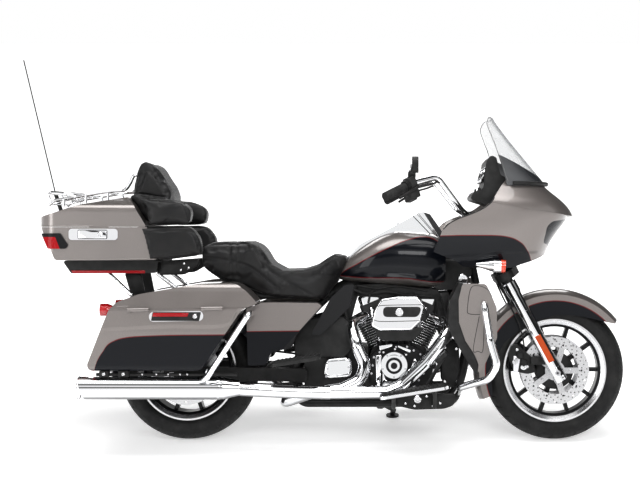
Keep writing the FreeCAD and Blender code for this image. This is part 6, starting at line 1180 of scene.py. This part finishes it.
def engine_trim():
    bolts("engine_bolts", ALLOY, (
        (LEFT, PRIMARY_FACE - 7.0, 6.0, 6.0, drawn_in(PRIMARY_OUTLINE, 0.10)),
        (LEFT, DERBY["face"], 5.0, 3.5, ring_of(DERBY["at"], DERBY["bolts"], 5, 90)),
        (RIGHT, CAM["face"], 4.2, 3.2, ring_of(CAM["at"], CAM["bolts"], 5, 54)),
        (RIGHT, CHEST_FACE, 5.0, 5.0, drawn_in(CHEST_OUTLINE, 0.11)),
        (RIGHT, GEARBOX_COVER_FACE, 4.5, 4.0, drawn_in(GEARBOX_COVER_CORNERS, 0.26))))
    plates("air_cleaner_insert", PLASTIC, RIGHT, ((INSERT_OUTLINE, 24.0, AIR_CLEANER_FACE - 1.0, 2.6, 1.2),),
           smooth=40.0)
    boss = [(17.0, 0.0), (17.0, 2.0), (16.0, 3.0), (13.6, 3.0), (13.0, 1.8), (6.0, 1.8), (5.2, 3.2), (0.6, 3.6)]
    turned("air_cleaner_boss", BRIGHT, ((RIGHT, AIR_CLEANER_FACE + 1.4, 40, boss, [EMBLEM_AT]),))
    plates("tappet_blocks", BRIGHT, RIGHT, (
        ([(845.7, 424.5), (904.3, 436.8), (906.5, 424.5), (850, 405.7)], 4.0, TAPPET_Y, 14.0, 2.0),
        ([(929.2, 428.5), (987.8, 407.5), (983.9, 395.3), (929.2, 420.2)], 4.0, TAPPET_Y, 14.0, 2.0),
        ([(832, 384), (858, 388), (852, 246), (836, 246)], 6.0, TAPPET_Y, 14.0, 3.0),
        ([(862, 318), (875, 275), (955, 262), (880, 246), (862, 250)], 5.0, TAPPET_Y, 9.0, 2.0),
        ([(985, 330), (1000, 372), (1020, 352), (1010, 300)], 5.0, TAPPET_Y, 9.0, 2.0)))
    bolts("tappet_bolts", BRIGHT, (
        (RIGHT, TAPPET_Y + 14.0, 5.0, 4.0,
         ((917, 412), (867, 398), (965, 388), (842, 362), (842, 268), (1004, 346))),))
    plates("air_cleaner_back", PLASTIC, RIGHT, (
        ([(826, 512), (842, 474), (866, 456), (990, 456), (1016, 474), (1040, 512)],
         12.0, AIR_CLEANER_BACK_Y, 52.0, 3.0),
        ([(818, 540), (826, 590), (856, 622), (1020, 626), (1052, 596), (1056, 540)],
         16.0, AIR_CLEANER_BACK_Y, 40.0, 3.0)))
    lines("air_cleaner_crease", PLASTIC, "air_cleaner", RIGHT, (
        ([(822, 600), (868, 610), (1043, 613)], 1.5), ([(826, 548), (868, 541), (1035, 545)], 1.5)))


def engine_bay():
    """Coil cover, throttle body and wiring under the tank, and the oil cooler ahead of the crankcase."""
    plates("coil_cover", PLASTIC, BOTH, (
        ([(740, 640), (752, 690), (860, 696), (1110, 668), (1120, 626), (960, 628)], 10.0, 20.0, 58.0, 5.0),
        ([(1088, 656), (1156, 660), (1156, 440), (1124, 430), (1092, 520)], 12.0, 30.0, 36.0, 5.0),
        ([(684, 690), (770, 690), (742, 610), (724, 540), (690, 470), (676, 520)], 12.0, 24.0, 36.0, 5.0),
        ([(462, 520), (600, 560), (690, 560), (728, 520), (744, 430), (700, 372), (480, 384)],
         22.0, 86.0, 46.0, 8.0)))
    barrel = [(30, 0), (30, 20), (42, 26), (42, 58), (34, 64), (20, 66), (6, 66)]
    stud = [(9, 0), (9, 60), (6, 64), (2, 64)]
    turned("throttle_body", ALLOY, ((RIGHT, 40, 40, barrel, [(932, 560)]),
                                    (RIGHT, 40, 20, stud, [(905, 590), (960, 590), (932, 532)])))
    wires = [(((735, -84, 668), (800, -92, 652), (880, -96, 662), (960, -92, 648), (1080, -84, 640)), 6.0),
             (((750, -80, 688), (840, -88, 676), (930, -84, 684), (1060, -80, 664)), 4.5),
             (((820, -90, 668), (806, -104, 640), (800, -110, 612)), 5.0),
             (((1000, -90, 654), (1022, -104, 634), (1036, -108, 610)), 5.0),
             (((700, -70, 650), (694, -96, 600), (706, -104, 540), (716, -100, 470)), 7.0),
             (((1096, -70, 640), (1112, -92, 560), (1126, -96, 470), (1132, -90, 390)), 7.0),
             (((1112, -60, 650), (1132, -86, 590), (1150, -90, 520), (1160, -90, 450)), 5.0)]
    tubes("engine_wiring", SOFT, [(*wire, False) for wire in wires], sides=BOTH)
    bm = bmesh.new()
    for i in range(COOLER_FINS):
        plate(bm, rectangle(-1, -84, 54, 84, 8.0),
              Matrix.Translation((COOLER_AT, 0, COOLER_FROM_Z + COOLER_PITCH * i)), 5.0, 1.0)
    for y in (-62, 0, 62):
        plate(bm, rectangle(4, y - 16, 48, y + 16, 6.0),
              Matrix.Translation((COOLER_AT, 0, COOLER_FROM_Z - 6)), 158.0, 2.0)
    piece("oil_cooler", bm, COOLER, smooth=35.0)
    plates("cooler_guard", PLASTIC, BOTH, (
        ([(1124, 250), (1120, 420), (1150, 452), (1198, 430), (1204, 262), (1180, 240)], 14.0, 86.0, 9.0, 3.0),))
    bolts("cooler_bolts", BRIGHT, (
        (BOTH, 95.0, 6.0, 4.5, ((1136, 266), (1136, 416), (1190, 266), (1186, 410))),))


def cylinder_fins():
    """Broad cooling fins round both cylinders, black with machined rims."""
    dark, rims = bmesh.new(), bmesh.new()
    for lean in (-CYLINDER_ANGLE, CYLINDER_ANGLE):
        angle = math.radians(lean)
        place = along((CRANK[0], 0, CRANK[1]), (math.sin(angle), 0, math.cos(angle)), (0, 1, 0))
        for i in range(FIN_COUNT):
            share = i / (FIN_COUNT - 1)
            height = FIN_SPAN[0] + (FIN_SPAN[1] - FIN_SPAN[0]) * share
            for bm, grow, low, thick in ((dark, 0.0, 0.0, FIN_THICKNESS), (rims, 1.2, 0.8, 1.5)):
                u, v = FIN_HALF[0] * (0.86 + 0.14 * share) + grow, FIN_HALF[1] + grow
                plate(bm, rectangle(-u, -v, u, v, 38.0), lifted(place, height + low), thick, 0.4)
    piece("cylinder_fins", dark, SATIN, smooth=35.0)
    piece("cylinder_fin_rims", rims, BRIGHT, smooth=35.0)


# Wheels and fork

DISC_BOLT_RADIUS = 68.0
FRONT_DISC_FACE = 57.0
REAR_DISC_FACE = 99.0
DISC_HOLE_RINGS = ((108.0, 0.0), (119.0, 6.0), (130.0, 12.0), (141.0, 3.0))
VALVE_ANGLE = math.radians(250)
FORK_SPACING = 120.0
SLIDER_RADIUS = 29.0
REFLECTOR_FROM, REFLECTOR_TO = 56.0, 186.0
REFLECTOR_HALF = math.radians(24)
CALIPER_FACE = 76.5


def wheel_trim():
    front_bolts = ring_of(FRONT_AXLE, DISC_BOLT_RADIUS, 5)
    bolts("front_disc_bolts", STEEL, ((BOTH, FRONT_DISC_FACE, 7.5, 5.0, front_bolts),), "front_wheel")
    rear_bolts = ring_of(REAR_AXLE, DISC_BOLT_RADIUS, 5)
    bolts("rear_disc_bolts", STEEL, ((RIGHT, REAR_DISC_FACE, 7.5, 5.0, rear_bolts),), "rear_wheel")
    out = Vector((math.cos(VALVE_ANGLE), 0, math.sin(VALVE_ANGLE)))
    for name, centre, size in (("front", FRONT_AXLE, FRONT_TYRE), ("rear", REAR_AXLE, REAR_TYRE)):
        bm = bmesh.new()
        foot = Vector((centre[0], -8, centre[1])) + out * (size["rim"] * 0.845)
        sweep(bm, [foot + out * 4, foot - out * 16, foot - out * 30], lambda t: 4.6 - 1.6 * t, 12)
        piece(name + "_valve", bm, SOFT, name + "_wheel", 40.0)
    turned("front_hub_shells", SATIN, (
        (BOTH, 28.0, 48, [(84, 0), (84, 9), (78, 13), (30, 16), (20, 16)], [FRONT_AXLE]),), "front_wheel", 35.0)
    holes = [at for radius, turn in DISC_HOLE_RINGS for at in ring_of(FRONT_AXLE, radius, 24, turn)]
    turned("front_disc_holes", SATIN, (
        (BOTH, FRONT_DISC_FACE + 0.05, 10, [(2.7, 0), (2.7, 0.25), (0.5, 0.25)], holes),), "front_wheel")


def fork_point(length, y=0.0, forward=0.0):
    """Point up the fork from the front axle."""
    sine, cosine = math.sin(FORK_RAKE), math.cos(FORK_RAKE)
    return Vector((WHEELBASE - length * sine + forward * cosine, y,
                   FRONT_AXLE_Z + length * cosine + forward * sine))


def fork_trim():
    bm = bmesh.new()
    for side in BOTH:
        place = along(fork_point(0, side * FORK_SPACING), fork_point(1) - fork_point(0))
        for low, high, proud in ((388.0, 396.0, 2.2), (300.0, 303.0, 0.8), (20.0, 24.0, 1.2)):
            inner, outer = SLIDER_RADIUS - 1, SLIDER_RADIUS + proud
            lathe(bm, [(inner, low), (outer, low), (outer, high), (inner, high)], place, 40)
    piece("fork_collars", bm, BRIGHT, "fork")
    bm = bmesh.new()
    outline = rectangle(-REFLECTOR_HALF, REFLECTOR_FROM, REFLECTOR_HALF, REFLECTOR_TO, 0.2)
    for side in BOTH:
        loops(bm, [[fork_point(length, side * (FORK_SPACING + radius * math.cos(angle)), radius * math.sin(angle))
                    for angle, length in outline] for radius in (SLIDER_RADIUS - 0.5, SLIDER_RADIUS + 3.0)])
    piece("fork_reflectors", bm, AMBER, "fork", 40.0)
    pinch = [fork_point(length, 0, 14.0).xz for length in (-22.0, -34.0)]
    bolts("fork_pinch_bolts", BRIGHT, ((BOTH, FORK_SPACING + SLIDER_RADIUS * 0.9, 5.0, 5.0, pinch),), "fork")
    hose = [fork_point(470, 96, -34), fork_point(380, 104, -40), fork_point(270, 108, -44),
            fork_point(190, 100, -62), fork_point(150, 88, -78)]
    tubes("brake_hoses", SOFT, ((hose, 3.6, False),), "fork", BOTH, 10, smooth=60.0)


def caliper_trim():
    bolts("caliper_bolts", BRIGHT, (
        (BOTH, CALIPER_FACE, 7.0, 5.0, ((1455, 405), (1500, 330), (1440, 350))),), "fork")
    turned("caliper_caps", SATIN, (
        (BOTH, CALIPER_FACE, 28, [(17, -2), (17, 4), (13.6, 7), (3.4, 8)], [(1468, 380), (1484, 348)]),),
        "fork", 35.0)
    plates("caliper_plates", ALLOY, BOTH, (
        ([(1438.6, 377.4), (1469.8, 373.4), (1458.4, 302.5), (1438.6, 306.5)], 5.0, 76.0, 3.0, 1.0),), "fork")
    turned("caliper_rings", BRIGHT, (
        (BOTH, 76.0, 28, [(14, 0), (14, 4), (11, 6), (6, 6), (5, 3), (1, 3)], [(1484, 330)]),), "fork")
    bolts("fender_rivets", BRIGHT, ((BOTH, 74.0, 4.5, 4.0, ((1565, 561.6), (1605, 561.6))),), "fork")


# Handlebar

BAR_PATH = [(1243, 0, 990), (1243, 105, 990), (1204, 182, 1018), (1098, 235, 1158), (986, 325, 1128),
            (884, 420, 1074)]
GRIP_RADIUS = 17.5
GRIP_RIBS = 17
GRIP_END = 8.0


def bar_point(share, side):
    """Point on the straight outer end of the bar, from its last bend to its tip."""
    x, y, z = Vector(BAR_PATH[-2]).lerp(Vector(BAR_PATH[-1]), share)
    return Vector((x, side * y, z))


def grip_profile(length):
    """Flange, ribs and rounded end of a grip, as (radius, height)."""
    low, high, flange = GRIP_RADIUS + 0.4, GRIP_RADIUS + 1.5, GRIP_RADIUS + 3.5
    profile = [(GRIP_RADIUS, 1.0), (flange, 1.0), (flange, 5.0)]
    step = (length - 2 * GRIP_END) / GRIP_RIBS
    for i in range(GRIP_RIBS):
        z = GRIP_END + step * i
        profile += [(low, z), (high, z + step * 0.2), (high, z + step * 0.7), (low, z + step * 0.9)]
    return profile + [(high, length), (GRIP_RADIUS + 1.0, length + 12.0), (GRIP_RADIUS * 0.6, length + 14.0)]


def bar_trim():
    ribs, housings, glasses = bmesh.new(), bmesh.new(), bmesh.new()
    for side in BOTH:
        low, high = bar_point(0.2, side), bar_point(1.0, side)
        lathe(ribs, grip_profile((high - low).length), along(low, high - low), 36)
        middle = bar_point(0.06, side)
        place = along(middle, bar_point(1, side) - middle)
        outline = rounded_outline([(-24, -30), (26, -30), (30, 6), (26, 30), (-22, 28)], 9.0)
        plate(housings, outline, lifted(place, -14), 30.0, 3.0)
        plate(housings, rectangle(-18, -62, 22, -28, 7.0), lifted(place, -22), 46.0, 4.0)
        glass = rounded_outline([(-50, -32), (50, -32), (54, 30), (-54, 30)], 14.0)
        plate(glasses, glass, along(bar_point(0.1, side) + Vector((9, 20 * side, 84)), (-1, 0, 0.1)), 1.2, 0.4)
    piece("grip_ribs", ribs, SOFT, "fork", 35.0)
    piece("switch_housings", housings, SWITCHES, "fork", 35.0)
    piece("mirror_glasses", glasses, BRIGHT, "fork")
    bar = [Vector(point) for point in BAR_PATH]
    path = [bar[4] + Vector((12, 0, -20)), bar[3].lerp(bar[4], 0.4) + Vector((10, 0, -21)),
            bar[3] + Vector((14, 0, -24)), bar[3].lerp(bar[2], 0.5) + Vector((14, 0, -20)),
            bar[2] + Vector((14, 0, -18)), bar[2].lerp(bar[1], 0.7) + Vector((20, 0, -26)),
            Vector((1262, 80, 950)), Vector((1296, 84, 900))]
    tubes("bar_hoses", SOFT, ((path, 4.2, False),), "fork", BOTH, 10, smooth=60.0)


# Footboards

RIDER_BOARD = {"at": (999.0, 306.0, 244.0), "length": 292.0, "width": 112.0, "tilt": 9.2}
PILLION_BOARD = {"at": (500.0, 290.0, 372.0), "length": 206.0, "width": 95.2, "tilt": 9.0}
BOARD_THICKNESS = 16.0
PAD_MARGIN, RIB_MARGIN, RIB_HALF, FIRST_RIB = 9.0, 17.0, 4.0, 26.0


def board_trim():
    pads, strips = bmesh.new(), bmesh.new()
    for board in (RIDER_BOARD, PILLION_BOARD):
        half_l, half_w = board["length"] / 2, board["width"] / 2
        corner = board["width"] * 0.3
        count = int(board["length"] / 20)
        outer = rectangle(-half_l - 1.5, -half_w - 1.5, half_l + 1.5, half_w + 1.5, corner, 8)
        inner = rectangle(PAD_MARGIN - half_l, PAD_MARGIN - half_w, half_l - PAD_MARGIN, half_w - PAD_MARGIN,
                          corner - 6)
        x, y, z = board["at"]
        tilt = Matrix.Rotation(-math.radians(board["tilt"]), 4, "Y")
        for side in BOTH:
            place = Matrix.Translation((x, side * y, z)) @ tilt
            plate(pads, inner, lifted(place, BOARD_THICKNESS), 4.0, 1.0)
            for i in range(count):
                at = (half_l - FIRST_RIB) * (2 * i / (count - 1) - 1)
                rib = rectangle(at - RIB_HALF, RIB_MARGIN - half_w, at + RIB_HALF, half_w - RIB_MARGIN, 3.0, 3)
                plate(pads, rib, lifted(place, BOARD_THICKNESS + 4), 3.0, 1.0)
            rings = []
            for inward, height in ((0.0, 1.0), (0.0, 13.0), (2.5, 14.5), (2.5, -0.5)):
                shrink_l, shrink_w = 1 - inward / half_l, 1 - inward / half_w
                rings.append([place @ Vector((u * shrink_l, v * shrink_w, height)) for u, v in outer])
            loops(strips if board is RIDER_BOARD else pads, rings, around=True)
    piece("board_rubber", pads, SOFT, smooth=35.0)
    piece("board_edges", strips, BRIGHT, smooth=35.0)
    plates("board_brackets", SATIN, BOTH, (
        ([(904, 224), (1178, 232), (1172, 180), (1130, 164), (1000, 160), (930, 176)], 16.0, 208.0, 9.0, 3.0),))
    turned("board_knob", BRIGHT, (
        (BOTH, 217.0, 32, [(16, 0), (16, 6), (13, 9), (9, 9), (8, 6), (2, 6)], [(1014, 206)]),))
    bolts("board_bracket_bolts", BRIGHT, (
        (BOTH, 217.0, 5.0, 4.0,
         ((1053, 218), (1090, 221), (1084, 204), (1111, 189), (1080, 177), (1001, 177), (962, 188))),))


# Fairing

SHEET_LEVELS = 12
SEARCH_STEP = 2.0
AHEAD_OF_SHEET = 1900
FAIRING_REAR_EDGE = [(1119, 934), (1141, 957), (1185, 981), (1234, 999), (1284, 1021), (1324, 1050),
                     (1346, 1086), (1370, 1122)]
SIDE_GAUGE, SIDE_GAUGE_AXIS = (1290, 118, 1082), (-0.83, 0.0, 0.55)
DASH_GAUGE_X, DASH_GAUGE_Z, DASH_GAUGE_AXIS = 1306, 1172, (-0.96, 0.0, 0.28)
DOOR_LINE = [(1274.7, 577.9), (1230, 580.8), (1221, 600), (1236, 688.7), (1274.7, 697.5), (1313, 677),
             (1324, 650)]
RECESS_LINE = [(1270.5, 570), (1246, 433), (1266, 424), (1286.4, 429), (1290.6, 551)]


def sheet_end(tree, start, step):
    """First point of the sheet that rays from ahead meet as they step along from start."""
    at = Vector(start)
    for _ in range(300):
        hit = cast(tree, at, (-1, 0, 0))
        if hit:
            return TO_MACHINE @ hit[0]
        at += Vector(step)
    return None


def shield_edge():
    """Polished rim that runs over the sheet from foot to foot, and the black vent along its foot."""
    sheet = frame["nodes"]["windshield"]
    points = [TO_MACHINE @ sheet.matrix_world @ v.co for v in sheet.data.vertices]
    low, high = min(p.z for p in points), max(p.z for p in points)
    reach = max(p.y for p in points) + 10.0
    tree = surface_tree(sheet)
    half = []
    for i in range(SHEET_LEVELS):
        z = low + (high - low) * (0.06 + 0.84 * i / (SHEET_LEVELS - 1))
        half.append(sheet_end(tree, (AHEAD_OF_SHEET, reach, z), (0, -SEARCH_STEP, 0)))
    wide = half[-1].y
    for share in (0.75, 0.5, 0.25, 0.0):
        half.append(sheet_end(tree, (AHEAD_OF_SHEET, wide * share, high + 10.0), (0, 0, -SEARCH_STEP)))
    half = [tuple(p) for p in half if p is not None]
    path = half + [(x, -y, z) for x, y, z in reversed(half[:-1])]
    tubes("shield_edge", SHEET_RIM, ((path, 1.5, False),), steps=4, segments=8)
    wide = half[0][1] - 6.0
    starts = [(AHEAD_OF_SHEET, wide * (1 - i / 8), low - 10.0) for i in range(17)]
    ends = [sheet_end(tree, start, (0, 0, SEARCH_STEP)) for start in starts]
    foot = [(p.x, p.y, p.z + 8) for p in ends if p is not None]
    tubes("shield_vent", PLASTIC, ((foot, 9.0, False),), steps=4, segments=12)


def fairing_trim():
    lines("fairing_edge", PLASTIC, "fairing", BOTH, ((FAIRING_REAR_EDGE, 2.4),), proud=0.6)
    cups, rings = bmesh.new(), bmesh.new()
    for side in BOTH:
        place = along((SIDE_GAUGE[0], side * SIDE_GAUGE[1], SIDE_GAUGE[2]), SIDE_GAUGE_AXIS)
        lathe(cups, [(20, -20), (27, 0), (28, 20), (25, 26), (24, 22), (2, 20)], place, 36)
        hoop(rings, place, 26.5, 2.0, 26.0)
    piece("side_gauges", cups, PLASTIC, smooth=35.0)
    piece("side_gauge_rings", rings, BRIGHT, smooth=35.0)
    cups, rings = bmesh.new(), bmesh.new()
    for y in (-120, -45, 45, 120):
        place = along((DASH_GAUGE_X, y, DASH_GAUGE_Z), DASH_GAUGE_AXIS)
        lathe(cups, [(34, -2), (34, 4), (31, 6), (30, 3), (4, 3)], place, 40)
        hoop(rings, place, 33.0, 2.2, 5.0)
        sweep(rings, [place @ Vector(at) for at in ((0, 0, 4), (14, 16, 4.4), (20, 22, 4.4))], 1.1, 6)
    piece("dash_gauges", cups, PLASTIC, smooth=35.0)
    piece("dash_gauge_rings", rings, BRIGHT, smooth=35.0)
    # Dark plate in the recess behind each turn lamp: painted shade standing in for the shadowed recess
    plates("lamp_recess_shade", PLASTIC, BOTH, (
        ([(1290, 806), (1296, 828), (1356, 830), (1362, 806)], 5.0, 226.0, 12.0, 2.0),))
    lines("lower_fairing_lines", SATIN_TRIM, "lower_fairings", BOTH, ((DOOR_LINE, 1.3), (RECESS_LINE, 1.3)))
    plates("neck_cover", PLASTIC, BOTH, (
        ([(1060, 700), (1080, 800), (1240, 800), (1262, 742), (1200, 672), (1100, 664)], 18.0, 40.0, 34.0, 6.0),))
    turned("neck_horn", BRIGHT, (
        (RIGHT, 74.0, 36, [(22, 0), (22, 6), (19, 9), (10, 9), (9, 6), (2, 6)], [(1216, 716)]),))


# Luggage

BAG_MOULD_LINE = [(-250, 612), (0, 618), (250, 624)]
RACK_LOOP = [(-603, 1092), (-589, 1098), (-504, 1094), (-486, 1076), (-499, 1067), (-584, 1046)]
RACK_CROSSBARS = ((-603, 1092), (-504, 1094), (-486, 1076), (-584, 1046))
RACK_ARM = [(-300, 1104), (-268, 1108), (-246, 1135), (-230, 1168), (-214, 1172)]
RACK_HALF, RACK_INNER = 112.0, 92.0
RAIL_FACE = 308.0
FOOT_FACE = 318.0
MUFFLER_START, MUFFLER_END = (190, 280, 262), (-430, 290, 264)


def case_trim():
    plates("case_supports", SATIN, BOTH, (
        ([(-122, 792), (70, 806), (58, 772), (0, 738), (-112, 736)], 12.0, 116.0, 34.0, 4.0),
        ([(-268, 742), (-196, 742), (-176, 640), (-236, 632)], 10.0, 96.0, 14.0, 3.0)))
    bolts("case_support_bolts", BRIGHT, ((BOTH, 150.0, 4.5, 4.0, ((20, 768), (-14, 758), (0, 786))),))
    plates("latch_groove", SATIN, RIGHT, (
        ([(-434, 894), (-434, 934), (-308, 934), (-308, 894)], 7.0, 260.5, 1.4, 0.4),))
    plates("latch_plate", BRIGHT, RIGHT, (
        ([(-431, 897), (-431, 931), (-311, 931), (-311, 897)], 5.0, 260.5, 4.0, 1.2),))
    turned("latch_lock", BRIGHT, (
        (RIGHT, 264.0, 32, [(10.6, 0), (10.6, 2.5), (9, 4), (7.4, 4), (6.6, 2.2), (1, 2.2)], [(-338.7, 914)]),))
    plates("base_reflectors", RED, BOTH, (
        ([(-478, 745), (-165, 745), (-165, 757), (-486, 757)], 2.0, 170.0, 2.5, 0.6),))
    lines("case_mould_line", SILVERED, "top_case", BOTH, (([(-495, 805), (-300, 806), (-104, 812)], 1.8),))
    lines("lid_mould_line", SILVERED, "top_case_lid", BOTH, (([(-598, 950), (-400, 951), (-160, 952)], 1.7),),
          "top_case_lid")
    rods = [([(x, y, z) for x, z in RACK_LOOP], 4.0, True) for y in (-RACK_HALF, RACK_HALF)]
    rods += [([(x, y, z) for y in (-RACK_HALF, 0, RACK_HALF)], 4.0, False) for x, z in RACK_CROSSBARS]
    arms = (-RACK_HALF, -RACK_INNER, RACK_INNER, RACK_HALF)
    rods += [([(x, y, z) for x, z in RACK_ARM], 6.0, False) for y in arms]
    tubes("rack_basket", BRIGHT, rods, "top_case_lid")


def pannier_trim():
    plates("bag_bezel_wells", SATIN_TRIM, BOTH, (
        ([(-106, 552), (-99, 589), (104, 589), (96, 552)], 4.0, 342.5, 1.4, 0.4),))
    plates("bag_reflectors", RED, BOTH, (
        ([(-101, 570), (-96, 586), (53, 586), (47, 570)], 2.0, 343.5, 2.2, 0.6),))
    turned("bag_locks", BRIGHT, (
        (BOTH, 343.5, 32, [(9.5, 0), (9.5, 3), (8, 4.5), (6.5, 4.5), (5.8, 2.6), (1, 2.6)], [(78, 571)]),))
    for name, sides in (("right", RIGHT), ("left", LEFT)):
        lid = "bag_lid_" + name
        lines("bag_mould_line_" + name, SILVERED, lid, sides, ((BAG_MOULD_LINE, 1.8),), lid)
    rail = [(-345, 300, 322), (-200, 302, 322), (100, 302, 322), (250, 298, 322)]
    tubes("bag_rails", SATIN, ((rail, 7.0, False),), sides=BOTH)
    plates("bag_feet", SATIN, BOTH, [
        ([(low, 312), (low, 340), (high, 340), (high, 312)], 6.0, 286.0, 32.0, 2.0)
        for low, high in ((-330, -290), (-250, -205))])
    bolts("bag_rail_bolts", BRIGHT, (
        (BOTH, FOOT_FACE, 7.0, 5.0, [(x, 326) for x in (-310, -228)]),
        (BOTH, RAIL_FACE, 4.0, 3.5, [(x, 324) for x in (-150, -90, -40, 10, 40)])))
    bm = bmesh.new()
    for side in BOTH:
        start, end = [Vector((x, side * y, z)) for x, y, z in (MUFFLER_START, MUFFLER_END)]
        lathe(bm, [(47, 0), (50.5, 1), (50.5, 13), (47, 14)], along(start.lerp(end, 0.02), end - start), 48)
        hoop(bm, along(start.lerp(end, 0.985), end - start), 47.8, 2.0)
    piece("muffler_bands", bm, BRIGHT)


build_camera()
build_lamps()
build_world()
build_floor()
dress_solids()
build_tyre("front_tyre_tread", FRONT_TYRE, FRONT_AXLE, "front_wheel", "front_tyre")
build_tyre("rear_tyre_tread", REAR_TYRE, REAR_AXLE, "rear_wheel", "rear_tyre")
engine_trim()
engine_bay()
cylinder_fins()
wheel_trim()
fork_trim()
caliper_trim()
bar_trim()
board_trim()
fairing_trim()
shield_edge()
case_trim()
pannier_trim()
build_leather()
